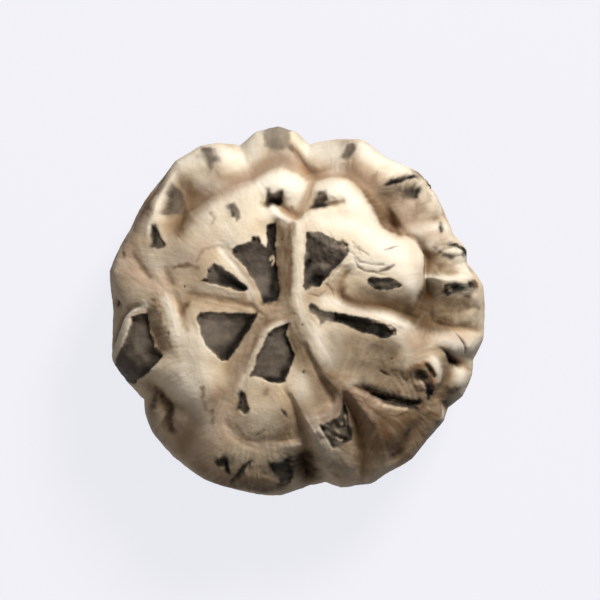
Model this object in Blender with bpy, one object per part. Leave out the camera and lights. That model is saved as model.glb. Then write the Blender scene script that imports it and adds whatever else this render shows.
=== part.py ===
"""A dried shiitake mushroom of the cracked, pale-capped kind, as one closed solid.

Metres, +Z up. The origin is the middle of the stem's cut end, which stands on the table.
Places on the cap are given as seen from straight above, in millimetres: x to the right and
y away from the viewer. A point drawn outside the cap's outline lies further down its side.
"""
import math

import bmesh
import bpy
import numpy as np
from mathutils import Vector
from mathutils.geometry import delaunay_2d_cdt

MM = 0.001

# Cap, from the crown down over the rolled rim
CAP_RADIUS = 0.0230
CAP_TOP_Z = 0.0210
WIDEST_Z = 0.0095
CROWN_ROUNDNESS = 2.8
SHOULDER_ROUNDNESS = 2.4
RIM_BOTTOM_RADIUS = 0.0196
RIM_BOTTOM_Z = 0.0016
RIM_BOTTOM_WAVE = 0.0007
LIP_RADIUS = 0.0172
LIP_Z = 0.0044

# Underside: the roof that carries the gills, and the stem
ROOF_EDGE_RADIUS = 0.0168
ROOF_EDGE_Z = 0.0080
ROOF_STEM_RADIUS = 0.0058
ROOF_STEM_Z = 0.0118
LONG_GILLS = 28
GILL_EDGE_THICKNESS = 0.00062
GILL_ROOT_THICKNESS = 0.00082
GILL_MERGED_THICKNESS = 0.0003
STEM_RADIUS = 0.0048
STEM_FLARE = 0.0006
STEM_OVAL = 0.05
STEM_BULGES = 0.03
STEM_TWIST = 400.0
STEM_EDGE_ROUNDING = 0.0004
STEM_TOP_SHARE = 0.97

# How far long and short gills hang below the roof: radius, long drop, short drop
GILL_DROPS = [
    (ROOF_EDGE_RADIUS, 0.0, 0.0), (0.0158, 0.0016, 0.0014), (0.0140, 0.0026, 0.0022),
    (0.0118, 0.0030, 0.0022), (0.0096, 0.0030, 0.0012), (0.0086, 0.0028, 0.0), (0.0066, 0.0020, 0.0),
    (ROOF_STEM_RADIUS, 0.0, 0.0),
]
# Heights of the stem's rings, in parts of the height where the roof meets it
STEM_RINGS = (0.96, 0.75, 0.5, 0.25)

# Fineness of the mesh
PROFILE_STEPS = 300
CROWN_SPACING = 0.00126
BORDER_SPACING = 0.00115
CREST_SPACING = 0.00125
RIM_COLUMNS = 112
RIM_RINGS = 4
STEM_COLUMNS = 32
# Closest that two points of the crown may lie, in parts of the spacing
BORDER_CLEARANCE = 0.35
GRID_CLEARANCE = 0.62
SHARP_EDGE_DEGREES = 50

# Folds: how high they stand against the drawn heights, how much the skin swells between them in
# 1 over mm, and how little of that is left at the cap's outline
FOLD_HEIGHT = 1.6
BASE_SWELL = 0.10
PUFF_REACH = 1.5
SWELL_FADE = 0.003
RELIEF_AT_OUTLINE = 0.12
RELIEF_FADE = 0.007
# The stretched skin is worked out on a square grid, coarsely and then finely: step and passes
GRID_REACH = 0.0385
GRID_PASSES = {0.0008: 300, 0.0004: 250}
GRID_SMOOTHING = 2
# From which part of the radius the outline is followed, and the relief leans outward instead of up
OUTLINE_START = 0.6
LEAN_START = 0.55
LEAN_END = 0.9
LEAN_SHARE = 0.7
PAST_WIDEST_FACTOR = 3.0

# Slope of the patches' side walls, seen from above, and how far above the widest line the patches
# begin to run out level with the flesh
WALL_WIDTH = 0.00045
PATCH_FADE = 0.0045

# Outline of the cap seen from above: direction in degrees from +X, and distance from the axis
OUTLINE = [
    (-172, 23.3), (-165, 23.8), (-160, 23.3), (-155, 22.65), (-150, 22.1), (-146, 22.9), (-140, 23.6),
    (-130, 23.9), (-119, 24.0), (-110, 23.5), (-95, 23.2), (-87, 22.15), (-80.6, 21.7), (-76, 22.7),
    (-67, 23.5), (-61, 23.2), (-52, 23.3), (-45, 22.8), (-36.6, 22.9), (-32.5, 22.5), (-27, 23.35),
    (-20, 23.4), (-15.5, 22.9), (-8, 23.6), (8, 23.4), (13, 22.6), (16, 22.0), (20, 22.4), (25.5, 21.65),
    (36, 22.3), (49, 22.85), (57, 22.05), (61, 21.9), (69, 22.7), (78, 21.6), (86, 20.9), (90, 22.2),
    (96, 23.0), (103, 22.7), (109, 21.9), (115, 23.1), (120, 23.7), (125, 23.7), (129, 23.95),
    (135, 23.5), (140, 23.35), (144, 23.35), (154, 23.0), (168, 23.8), (181, 23.0),
]

# Dark skin between the folds: how far it lies below the flesh, and its border
PATCHES = {
    "north west of the hub": (0.45, [
        (-8.0, 7.7), (-7.2, 8.1), (-5.8, 8.7), (-5.5, 9.4), (-4.6, 9.3), (-4.4, 8.4), (-3.8, 7.9),
        (-3.8, 10.7), (-2.6, 11.0), (-2.5, 6.0), (-2.0, 2.3), (-2.4, 1.2), (-4.1, 0.9), (-5.1, 3.4),
        (-6.6, 5.5), (-8.0, 7.0)]),
    "west wedge": (0.45, [
        (-5.9, 2.7), (-6.1, 3.1), (-8.0, 4.2), (-10.3, 6.0), (-11.1, 5.1), (-11.2, 4.2), (-12.1, 3.7),
        (-11.0, 3.4), (-8.0, 2.6), (-6.3, 2.3)]),
    "south west triangle": (0.5, [
        (-12.0, 0.0), (-8.4, -0.1), (-5.1, -0.2), (-5.6, -1.5), (-7.0, -3.8), (-8.5, -6.1), (-9.3, -6.2),
        (-11.2, -4.4), (-12.5, -0.9)]),
    "south of the hub": (0.5, [
        (-1.0, -1.4), (-1.2, -3.0), (-0.4, -5.4), (-1.0, -7.0), (-1.6, -8.7), (-2.4, -8.9), (-3.5, -8.8),
        (-4.4, -8.2), (-5.9, -8.1), (-5.0, -5.6), (-3.6, -2.7), (-2.9, -1.9)]),
    "north east of the hub": (0.45, [
        (1.1, 9.8), (2.7, 9.8), (4.7, 8.9), (6.1, 8.3), (6.6, 7.3), (5.2, 5.7), (4.0, 4.3), (2.8, 3.1),
        (1.9, 3.0), (1.1, 2.4), (0.7, 3.0), (0.9, 6.0)]),
    "east slot": (0.45, [
        (4.6, -0.2), (6.0, -0.5), (10.0, -1.3), (12.3, -2.2), (12.1, -2.9), (10.7, -3.4), (8.0, -2.5),
        (5.4, -1.5), (4.4, -1.3)]),
    "east slot, west end": (0.2, [
        (1.4, 0.7), (1.7, 1.0), (2.3, 0.9), (2.8, 0.3), (4.4, -0.1), (5.6, -0.5), (5.4, -1.4),
        (3.7, -1.3), (2.9, -1.8), (2.2, -0.6), (1.45, -0.3)]),
    "east oval": (0.3, [
        (8.5, 3.7), (9.0, 4.1), (11.3, 4.1), (12.9, 3.4), (12.3, 2.9), (11.2, 2.6), (9.7, 2.6),
        (8.5, 3.3)]),
    "west rim": (0.45, [
        (-20.2, -0.6), (-18.2, 0.0), (-18.3, -1.5), (-17.5, -4.2), (-16.2, -5.5), (-18.3, -8.0),
        (-20.3, -9.8), (-23.2, -9.0), (-22.4, -6.2), (-21.5, -4.3), (-20.6, -2.2)]),
    "south east square": (0.4, [
        (2.7, -14.1), (4.0, -13.6), (5.2, -12.7), (5.8, -10.6), (6.3, -12.4), (6.6, -14.5), (6.9, -16.0),
        (5.0, -17.0), (4.4, -16.8)]),
    "slot under the brow": (0.4, [
        (8.0, -9.6), (10.0, -10.1), (13.0, -10.8), (15.1, -10.9), (14.9, -12.2), (13.2, -12.0),
        (10.0, -10.9)]),
    "small, north": (0.3, [(-3.9, 12.9), (-3.8, 15.1), (-2.8, 14.6), (-1.6, 15.0), (-1.7, 13.0)]),
    "small, north east": (0.25, [(1.8, 12.7), (2.6, 14.9), (3.6, 15.0), (3.9, 13.7), (3.2, 13.0)]),
    "small, north west": (0.25, [(-8.5, 13.1), (-7.6, 13.3), (-6.8, 12.3), (-7.2, 11.2),
                                      (-8.0, 11.8)]),
    "west slit": (0.35, [(-17.4, 10.5), (-16.2, 8.8), (-16.1, 7.9), (-17.0, 7.5), (-18.0, 8.2)]),
    "north west rim": (0.25, [(-15.0, 15.6), (-14.2, 13.2), (-14.6, 12.1), (-16.5, 12.2),
                                   (-15.9, 13.8)]),
    "south slit": (0.35, [(-6.9, -9.7), (-6.2, -9.8), (-5.6, -12.0), (-6.2, -12.8), (-7.2, -12.0)]),
    "north rim": (0.15, [(-4.2, 22.4), (-4.1, 20.0), (-2.4, 19.8), (-0.5, 20.1), (-0.8, 22.3)]),
    "north north west rim": (0.15, [
        (-11.9, 20.1), (-9.9, 19.6), (-8.7, 17.7), (-9.6, 18.0), (-10.8, 17.0), (-11.7, 18.2)]),
    "north north east rim": (0.2, [(5.0, 18.6), (6.0, 18.3), (6.9, 18.4), (7.3, 20.3), (6.2, 20.0)]),
    "south south west rim": (0.35, [(-10.2, -18.5), (-8.7, -17.6), (-8.0, -20.1), (-8.8, -19.0),
                                         (-9.6, -19.2)]),
    "south rim": (0.35, [(-3.6, -18.6), (-1.0, -18.4), (-0.3, -21.8), (-2.2, -21.8), (-3.0, -20.0)]),
    "east rim": (0.3, [(18.0, 2.0), (18.5, 3.4), (20.8, 3.6), (22.2, 3.4), (21.4, 2.0),
                            (19.0, 1.9)]),
    "north east rim": (0.15, [(12.2, 14.4), (13.8, 15.2), (14.9, 14.5), (14.2, 13.6), (13.1, 13.7)]),
}

# Folds of the skin with sharp crests and sharp bottoms: corners with the height over the plain dome
SHARP_FOLDS = {
    "spine, left edge": [
        (-0.2, 11.2, 0.8), (-0.5, 9.5, 0.95), (-0.6, 6.0, 1.0), (-0.55, 3.0, 1.0), (-0.2, 0.8, 0.95),
        (0.1, -0.8, 0.95), (0.7, -2.6, 1.05), (1.5, -4.4, 1.15), (2.6, -6.2, 1.25), (3.6, -8.0, 1.3),
        (4.9, -9.5, 1.25)],
    "spine, right edge": [
        (0.6, 11.0, 0.85), (0.7, 9.5, 0.95), (0.8, 6.0, 1.0), (0.65, 3.0, 1.0), (1.2, 0.9, 0.95),
        (1.5, -0.7, 1.0), (2.3, -2.2, 1.1), (3.5, -4.0, 1.15), (4.3, -5.6, 1.2), (5.0, -7.6, 1.25),
        (5.7, -9.2, 1.2)],
    "north band, west foot": [
        (-2.6, 11.0, 0.25), (-2.6, 8.0, 0.15), (-2.55, 5.0, 0.15), (-2.3, 2.6, 0.3), (-2.6, 1.2, 0.4),
        (-4.1, 0.8, 0.45)],
    "hub plate": [(-3.4, 0.1, 0.62), (-1.2, 0.3, 0.72)],
    "hub plate, lower edge": [(-0.3, -0.4, 0.75), (-1.6, -0.95, 0.5), (-3.2, -1.4, 0.45),
                              (-4.0, -1.9, 0.45)],
    "south west arm, crest": [
        (-0.6, -0.9, 0.8), (-1.6, -1.25, 0.7), (-3.0, -1.75, 0.7), (-3.9, -2.4, 0.75), (-4.7, -3.8, 0.75),
        (-5.6, -5.8, 0.7), (-6.4, -8.0, 0.65), (-7.0, -9.6, 0.6), (-7.6, -11.6, 0.5), (-7.9, -13.4, 0.4)],
    "south west arm, foot": [
        (-5.3, -0.8, 0.3), (-6.0, -2.0, 0.1), (-7.4, -4.3, -0.05), (-8.7, -6.3, 0.0), (-9.3, -8.0, 0.1)],
    "north west arm": [
        (-3.8, -0.3, 0.62), (-4.8, 0.9, 0.72), (-5.7, 2.3, 0.75), (-6.7, 4.1, 0.68), (-8.0, 6.0, 0.6),
        (-9.4, 8.0, 0.5)],
    "west bar, crease": [(-4.4, -0.5, 0.42), (-5.8, 0.7, 0.36), (-8.0, 1.3, 0.3), (-11.0, 1.6, 0.26),
                         (-13.4, 1.9, 0.2)],
    "west bar, upper crest": [(-6.2, 1.7, 0.6), (-8.5, 2.1, 0.5), (-11.0, 2.6, 0.45), (-13.4, 3.0, 0.35)],
    "west bar, lower crest": [(-5.6, 0.1, 0.45), (-8.5, 0.5, 0.42), (-12.2, 0.6, 0.42),
                              (-13.4, -0.3, 0.5), (-13.0, -2.0, 0.65)],
    "south of the hub, east border": [
        (-0.9, -1.6, 0.5), (-1.1, -3.0, 0.35), (-0.3, -5.5, 0.3), (-0.9, -7.0, 0.4), (-1.6, -8.8, 0.45)],
    "foot of the spine": [
        (0.9, -4.2, 0.55), (1.8, -6.2, 0.25), (2.6, -7.8, 0.0), (3.5, -9.3, -0.25), (4.1, -10.4, -0.2),
        (4.2, -11.4, 0.3)],
    "inner lip, west edge": [(-17.8, 1.3, 0.4), (-16.9, 0.2, 0.7), (-16.3, -1.4, 0.8),
                             (-15.8, -3.2, 0.75), (-15.6, -5.0, 0.6), (-16.0, -6.2, 0.5)],
    "inner lip, east edge": [(-16.0, 2.0, 0.5), (-15.2, 0.7, 0.75), (-14.6, -0.6, 0.8),
                             (-14.3, -1.8, 0.8)],
    "behind the inner lip": [(-15.2, 2.0, 0.3), (-14.6, 0.6, 0.2), (-14.2, -0.8, 0.35),
                             (-13.7, -2.2, 0.6)],
    "west rim patch, east border": [(-18.2, 0.0, 0.1), (-18.2, -1.6, 0.05), (-17.6, -3.4, 0.0),
                                    (-16.8, -5.0, 0.05)],
    "outer lip": [(-18.3, 0.7, 0.45), (-19.6, 0.1, 0.5), (-20.9, -0.7, 0.55), (-21.4, -2.2, 0.5),
                  (-22.2, -4.2, 0.5), (-23.0, -5.8, 0.4)],
    "under the west lobe": [(-19.2, 0.5, 0.2), (-20.6, 0.2, 0.0), (-21.6, -0.7, -0.3),
                            (-22.2, -2.2, -0.5), (-22.9, -4.0, -0.5)],
    "west lobe, lower edge": [(-17.6, 1.9, 0.55), (-19.2, 0.9, 0.6), (-20.5, 0.6, 0.6), (-21.4, 1.4, 0.5),
                              (-22.4, 2.2, 0.3)],
    "west notch": [(-22.0, 1.0, -0.4), (-23.0, 0.9, -0.9), (-24.0, 0.6, -1.2)],
    "west crease": [(-20.1, 7.4, 0.3), (-19.6, 6.0, 0.15), (-18.9, 4.9, 0.15), (-18.0, 4.0, 0.35)],
    "west middle crease": [(-16.3, 5.6, 0.25), (-15.9, 4.6, 0.05), (-15.4, 3.5, 0.15)],
    "north west ridge": [(-15.0, 17.0, 0.7), (-15.7, 15.4, 0.9), (-16.5, 13.6, 1.0), (-17.2, 11.8, 1.0),
                         (-18.0, 9.8, 0.9), (-18.4, 8.2, 0.6), (-18.6, 6.6, 0.4)],
    "north west ridge, inner foot": [(-14.6, 15.8, -0.3), (-15.6, 13.4, -0.2), (-16.3, 12.2, -0.1)],
    "north west ridge, outer face": [(-16.6, 16.2, 0.2), (-17.7, 14.0, 0.1), (-19.0, 12.0, 0.1),
                                     (-20.0, 10.0, 0.2)],
    "north crease": [(2.2, 16.6, -1.6), (1.3, 17.9, -1.0), (0.4, 19.1, -0.6), (-0.5, 20.2, -0.3)],
    "north north east lobe, left edge": [(2.9, 17.8, 0.1), (1.8, 18.8, 0.4), (0.9, 20.2, 0.5),
                                         (0.5, 21.4, 0.4)],
    "between the north puffs": [(2.2, 16.5, -1.6), (1.7, 15.5, -0.9), (1.2, 14.2, -0.6),
                                (0.7, 13.0, -0.4), (0.0, 11.7, -0.3)],
    "under the north west puff": [(-4.1, 12.9, 0.3), (-3.3, 13.4, -0.1), (-2.3, 13.0, -0.4),
                                  (-1.4, 12.2, -0.5), (-0.4, 11.6, -0.4), (0.0, 11.6, -0.3)],
    "north knob": [(-4.2, 12.3, 0.7), (-3.1, 12.9, 0.85), (-2.3, 11.9, 0.85), (-1.2, 11.3, 0.85),
                   (-0.2, 11.1, 0.8)],
    "under the north east puff": [(0.0, 11.6, -0.3), (0.9, 12.1, 0.1), (1.9, 12.7, 0.1),
                                  (2.8, 13.05, 0.2), (4.2, 13.3, 0.5), (6.0, 13.5, 0.85)],
    "north east mass, upper edge": [(0.6, 11.4, 0.7), (1.8, 12.1, 0.8), (3.2, 12.5, 0.9),
                                    (5.0, 12.6, 1.0)],
    "plateau brink, east": [
        (7.9, 14.9, 0.4), (9.2, 13.3, 0.4), (10.0, 11.8, 0.35), (10.5, 10.6, 0.3), (11.4, 9.9, 0.3),
        (12.4, 9.6, 0.3), (13.6, 9.4, 0.35), (14.6, 8.4, 0.4), (15.4, 7.0, 0.4), (15.6, 5.6, 0.3),
        (15.6, 4.4, 0.2), (15.4, 3.2, 0.1), (14.8, 1.9, 0.0), (14.2, 0.6, -0.4)],
    "north east pocket": [(10.4, 12.9, -1.7), (11.3, 11.8, -2.2), (11.9, 10.9, -2.4), (12.4, 10.3, -2.2)],
    "pocket's east foot": [(11.3, 12.8, -1.2), (11.9, 11.9, -1.6), (12.4, 11.0, -1.7)],
    "pocket's west foot": [(9.6, 13.9, -0.9), (10.6, 11.9, -1.8), (11.0, 10.9, -2.1), (11.9, 10.2, -2.1)],
    "pocket's ridge": [(11.6, 13.0, -0.4), (12.3, 12.2, 0.0), (12.9, 11.5, 0.15), (13.1, 10.6, 0.1),
                       (13.4, 10.0, -0.2)],
    "ring valley, east": [
        (13.4, 9.8, -0.6), (14.4, 9.2, -0.9), (15.4, 8.3, -1.1), (16.2, 7.0, -1.3), (16.2, 5.6, -1.5),
        (16.1, 4.5, -1.2), (16.4, 3.0, -1.7), (16.3, 1.4, -2.1), (15.9, 0.0, -2.3), (15.2, -1.1, -2.0)],
    "ring valley, east, outer foot": [(17.2, 3.1, -1.5), (17.1, 1.5, -1.9), (16.9, 0.0, -2.2),
                                      (17.2, -1.0, -2.1)],
    "plateau's east foot": [(15.9, 3.0, -1.3), (15.5, 1.6, -1.6), (14.9, 0.3, -1.8)],
    "crease under the north east lobe": [(13.6, 10.2, -0.2), (15.0, 10.7, 0.1), (16.8, 11.2, 0.2),
                                         (18.6, 12.0, -0.1), (20.6, 13.2, -0.5)],
    "north east rim, crest over the streak": [(9.6, 17.2, 0.7), (12.0, 17.0, 0.8), (14.2, 17.0, 0.8),
                                              (15.6, 16.4, 0.7)],
    "east north east lobe, west shoulder": [(17.2, 7.6, 0.4), (17.6, 6.2, -0.1), (17.9, 5.0, -0.1)],
    "east saddle": [(15.8, 4.3, -0.5), (17.0, 4.2, 0.1), (18.6, 4.0, 0.6), (20.4, 4.2, 0.8),
                    (21.6, 4.4, 0.5)],
    "east lobe, west shoulder": [(18.0, 3.7, 0.2), (18.2, 2.4, -0.4), (18.6, 1.0, -0.7),
                                 (18.9, -0.1, -0.8), (19.8, -0.5, -0.4)],
    "under the east lobe": [(19.0, -0.3, -0.6), (20.6, 0.0, -0.1), (22.4, 0.2, -0.2), (24.0, 0.2, -0.4)],
    "above the east lobe": [(18.6, 4.6, -0.1), (20.4, 4.9, 0.1), (22.6, 5.2, -0.2)],
    "valley under the snout": [
        (4.6, 2.0, 0.6), (5.4, 1.5, 0.35), (7.0, 1.1, 0.1), (9.0, 0.8, -0.1), (11.0, 0.4, -0.5),
        (13.0, -0.4, -1.0), (14.4, -1.0, -1.6), (15.2, -1.1, -2.0), (16.6, -1.8, -1.9),
        (18.4, -1.9, -1.7), (20.0, -2.1, -1.2), (21.6, -2.2, -0.7), (23.6, -2.4, -0.6)],
    "round the snout's tip": [(6.4, 4.8, 0.8), (5.4, 3.6, 0.5), (5.2, 2.5, 0.3), (5.5, 1.7, 0.3)],
    "slot, upper lip": [(2.4, 1.3, 0.85), (5.0, 0.7, 0.75), (8.0, -0.1, 0.85), (10.5, -0.7, 0.9),
                        (12.7, -1.5, 0.85), (14.3, -2.1, 0.4), (15.4, -2.4, -0.3)],
    "slot, lower lip": [(2.9, -2.1, 0.95), (4.4, -1.6, 0.85), (6.4, -2.1, 0.85), (9.0, -3.1, 0.85),
                        (10.8, -3.7, 0.8), (12.6, -3.1, 0.8)],
    "south east rim, upper edge": [(15.4, -2.4, -0.3), (16.6, -2.6, 0.2), (18.4, -2.6, 0.4),
                                   (19.8, -2.9, 0.3)],
    "east cleft": [(16.8, -4.5, 0.3), (18.3, -5.0, -0.2), (19.2, -5.9, -0.9), (20.2, -6.8, -1.2),
                   (21.4, -7.2, -1.0), (23.4, -7.8, -0.8)],
    "curl beside the round pit": [(16.0, -5.6, 0.7), (17.0, -6.3, 0.9), (17.5, -7.5, 0.9),
                                  (17.2, -8.8, 0.6), (16.9, -9.8, 0.3)],
    "round pit, rim": [(13.7, -7.9, 0.7), (14.2, -6.9, 0.95), (15.2, -6.6, 0.95), (15.7, -7.3, 0.8)],
    "cheek, upper edge": [(17.0, -11.2, 0.0), (18.0, -12.2, 0.4), (18.1, -13.4, 0.2)],
    "brow": [(5.9, -9.2, 1.15), (6.9, -8.6, 1.05), (8.2, -9.0, 0.75), (10.0, -9.7, 0.5),
             (12.4, -10.3, 0.4), (14.8, -10.9, 0.25)],
    "under the brow": [(7.2, -9.4, 0.5), (9.0, -10.1, 0.0), (11.0, -10.8, -0.3), (13.0, -11.3, -0.35),
                       (14.9, -11.6, -0.3)],
    "brow, lower lip": [(6.6, -9.8, 1.0), (8.6, -10.7, 0.75), (10.6, -11.6, 0.6), (12.6, -12.3, 0.45),
                        (15.0, -12.5, 0.3)],
    "left of the south fold": [
        (-1.6, -9.6, 0.5), (-0.8, -10.8, 0.3), (0.0, -12.3, 0.0), (0.8, -13.8, -0.4), (1.6, -15.6, -1.0),
        (1.3, -17.0, -1.8), (1.0, -19.0, -2.2), (1.3, -21.5, -2.2), (1.6, -25.0, -1.2)],
    "south fold, left edge": [(-0.9, -9.9, 0.7), (-0.2, -11.2, 0.65), (0.5, -12.6, 0.65),
                              (1.1, -13.5, 0.7)],
    "south spur": [(1.1, -13.5, 0.7), (2.4, -13.1, 0.8), (3.8, -12.8, 0.8), (4.6, -11.9, 0.9),
                   (5.0, -10.9, 1.0), (5.5, -9.6, 1.2)],
    "south spur, tail": [(1.1, -13.5, 0.7), (2.0, -14.9, 0.55), (2.8, -16.6, 0.4), (3.6, -18.6, 0.2),
                         (4.6, -20.6, -0.1), (5.6, -23.5, -0.3)],
    "south spur, right foot": [
        (5.7, -10.2, 0.5), (6.4, -11.2, 0.0), (7.3, -12.9, -0.4), (7.8, -15.0, -0.7), (8.2, -17.4, -0.9),
        (8.1, -20.0, -0.8), (8.0, -23.0, -0.7)],
    "south east spur": [(6.4, -9.9, 1.0), (7.8, -11.4, 0.9), (8.9, -13.2, 0.75), (9.8, -15.0, 0.5),
                        (10.6, -16.8, 0.2), (11.4, -19.0, -0.1)],
    "south field, lower edge": [(-7.6, -14.6, 0.25), (-6.4, -15.6, 0.15), (-4.4, -16.0, 0.1),
                                (-1.8, -16.1, -0.1), (0.4, -15.6, -0.4)],
    "south arc": [(-8.6, -13.6, 0.4), (-8.0, -15.4, 0.4), (-6.8, -16.2, 0.4), (-4.6, -16.7, 0.4),
                  (-1.8, -16.8, 0.3), (0.3, -16.6, -0.1)],
    "south west ring": [(-17.7, -9.6, -0.1), (-17.0, -10.8, -0.4), (-16.0, -11.6, -0.6),
                        (-15.7, -12.8, -0.6), (-16.1, -14.0, -0.6), (-15.6, -15.2, -0.6)],
}

# Folds with round crests and round bottoms
SOFT_FOLDS = {
    "west lobe": [(-20.6, 3.2, 0.7), (-20.9, 5.4, 0.6), (-20.4, 7.4, 0.45)],
    "west field": [(-17.6, 6.4, 0.45), (-14.4, 6.6, 0.4), (-13.4, 4.2, 0.4)],
    "south west bulge": [(-13.4, -3.0, 0.8), (-13.8, -5.0, 1.1), (-13.4, -7.6, 1.35), (-12.4, -9.8, 1.3)],
    "south west bulge, west side": [(-15.2, -6.2, 1.0), (-15.4, -8.0, 0.9), (-14.9, -9.8, 0.7)],
    "south west bulge, east side": [(-10.7, -6.8, 0.8), (-9.9, -8.6, 0.6)],
    "south west terrace": [(-11.4, -11.8, 1.1), (-10.8, -13.6, 0.9), (-11.4, -15.4, 0.7)],
    "north west field": [(-12.4, 9.4, 0.5), (-10.4, 10.8, 0.6), (-8.4, 11.8, 0.7)],
    "plateau brink, north west": [(-14.6, 8.6, 0.25), (-13.4, 10.9, 0.3), (-11.6, 12.8, 0.4),
                                  (-9.6, 13.9, 0.5), (-7.6, 14.8, 0.6), (-5.9, 15.9, 0.6)],
    "ring valley, north west": [
        (-15.4, 9.6, -0.3), (-14.7, 11.4, -1.0), (-13.6, 13.4, -1.5), (-12.0, 14.4, -1.4),
        (-9.8, 15.2, -1.1),
        (-7.6, 16.2, -1.0), (-5.8, 17.1, -0.9), (-3.6, 18.1, -0.8), (-1.2, 18.2, -0.8), (0.8, 17.5, -1.1),
        (2.2, 16.6, -1.6)],
    "ring valley, north east": [(2.2, 16.6, -1.6), (3.6, 17.2, -1.2), (5.2, 17.3, -1.0),
                                (6.8, 16.7, -1.0),
                                (8.2, 15.6, -1.1), (9.4, 14.2, -1.3), (10.4, 12.9, -1.7)],
    "north west lobe": [(-14.2, 17.8, 0.7), (-12.2, 18.2, 0.7), (-9.4, 18.6, 0.7), (-7.4, 19.4, 0.6)],
    "beside the north rim lobe": [(-6.4, 17.6, -0.4), (-7.4, 20.0, 0.0), (-8.6, 23.0, -0.5)],
    "north rim lobe": [(-4.8, 20.6, 0.8), (-2.4, 21.4, 0.9), (-0.6, 21.2, 0.8)],
    "north notch": [(1.2, 21.2, -0.2), (1.6, 23.5, -0.9)],
    "north north east lobe": [(2.6, 19.0, 0.6), (4.2, 19.6, 0.9), (6.4, 20.6, 0.8), (8.8, 19.4, 0.9),
                              (10.6, 18.4, 0.9)],
    "north west puff": [(-4.8, 14.8, 0.8), (-3.4, 16.4, 1.0), (-1.6, 16.7, 1.1), (0.0, 15.6, 1.0),
                        (-0.6, 13.9, 0.95)],
    "north east puff": [(2.9, 15.6, 0.9), (4.6, 16.0, 1.1), (6.6, 14.8, 1.1), (7.6, 13.4, 0.9)],
    "north east mass": [(4.4, 11.0, 1.0), (7.4, 10.6, 1.1), (9.6, 9.4, 1.05), (12.0, 8.6, 0.9),
                        (13.6, 7.4, 0.8)],
    "east north east lobe, upper": [(14.4, 10.2, 0.4), (16.2, 10.3, 0.8), (18.2, 10.6, 0.9),
                                    (19.0, 9.4, 0.8)],
    "north east lobe": [(14.6, 12.6, 0.7), (16.2, 13.6, 1.0), (17.4, 12.8, 0.9)],
    "north east grey slope": [(10.0, 15.0, -0.4), (12.4, 14.2, -0.2), (14.0, 14.0, 0.3)],
    "east north east lobe": [(19.2, 5.8, 0.8), (20.4, 5.4, 0.8)],
    "east lobe": [(19.6, 1.2, 0.3), (21.2, 1.6, 0.6), (22.4, 1.4, 0.5)],
    "east lobe, lower": [(20.4, -0.9, 0.4), (22.2, -0.8, 0.5)],
    "snout": [(6.8, 3.0, 0.85), (8.4, 4.6, 0.95), (11.0, 4.9, 1.0), (13.2, 4.6, 1.0), (14.6, 4.0, 0.8)],
    "snout, lower side": [(7.4, 1.9, 0.5), (9.6, 1.9, 0.5), (12.0, 2.0, 0.3), (13.4, 1.3, 0.1)],
    "between hub and snout": [(2.2, 2.2, 0.85), (3.8, 2.0, 0.75), (4.4, 3.6, 0.8)],
    "south east mass": [(5.2, -3.2, 0.95), (8.0, -4.6, 0.75), (10.6, -5.6, 0.6), (13.0, -5.6, 0.55),
                        (14.6, -4.6, 0.5)],
    "south east mass, lower": [(6.2, -6.8, 0.9), (8.6, -7.4, 0.5), (11.0, -7.9, 0.25), (13.2, -8.8, 0.2)],
    "bright fold at the east rim": [(16.6, -3.4, 0.6), (18.0, -4.0, 0.8), (19.4, -4.1, 0.7),
                                    (20.4, -4.9, 0.5)],
    "east rim below the valley": [(21.4, -3.6, 0.7), (21.9, -4.8, 0.6)],
    "shade right of the curl": [(18.4, -6.2, -0.4), (18.6, -7.6, -0.7), (18.2, -9.4, -0.9),
                                (17.8, -10.6, -0.8)],
    "south east rim lobe": [(20.2, -8.0, 0.6), (20.9, -8.8, 0.5), (19.9, -9.2, 0.2)],
    "south east rim, notch": [(18.4, -11.2, -1.0), (20.4, -13.0, -1.2)],
    "south east cheek": [(14.6, -12.6, 0.55), (12.8, -14.0, 0.5), (11.3, -16.4, 0.4)],
    "south east valley": [(16.2, -12.4, -0.2), (15.0, -14.0, -0.6), (13.2, -16.2, -0.9),
                          (12.0, -18.4, -0.9)],
    "south east outer ridge": [(17.8, -13.0, 0.5), (15.9, -15.6, 0.45), (14.0, -17.6, 0.4)],
    "north east slope": [(8.2, 16.9, -0.7), (9.8, 15.6, -0.9), (11.2, 14.2, -0.9)],
    "south fold": [(0.2, -7.6, 0.6), (0.6, -9.6, 0.8), (1.4, -11.4, 0.85), (2.6, -11.8, 0.7)],
    "beside the square patch": [(6.2, -17.8, 0.3), (5.4, -18.4, 0.4), (6.2, -19.8, 0.2)],
    "south field": [(-4.4, -9.9, 0.65), (-4.2, -12.4, 0.8), (-2.6, -14.0, 0.5), (-6.4, -13.8, 0.5)],
    "south rim": [(-5.4, -18.6, 0.4), (-3.6, -21.4, 0.3), (-6.4, -21.6, 0.3)],
    "south south west rim": [(-10.4, -16.6, 0.3), (-11.6, -18.4, 0.3), (-9.4, -20.6, 0.3)],
    "south west valley": [(-14.6, -11.2, -0.1), (-13.0, -12.8, -0.6), (-13.0, -14.6, -0.7),
                          (-14.2, -16.8, -0.8), (-15.4, -19.5, -0.8)],
    "south west lump": [(-17.4, -12.6, 0.3), (-17.2, -13.4, 0.2)],
    "south west lump, east": [(-14.8, -13.4, 0.2), (-14.6, -14.4, 0.1)],
    "south west notch": [(-17.0, -8.8, 0.1), (-18.8, -10.2, -0.5), (-20.6, -11.8, -0.9)],
}

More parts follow.
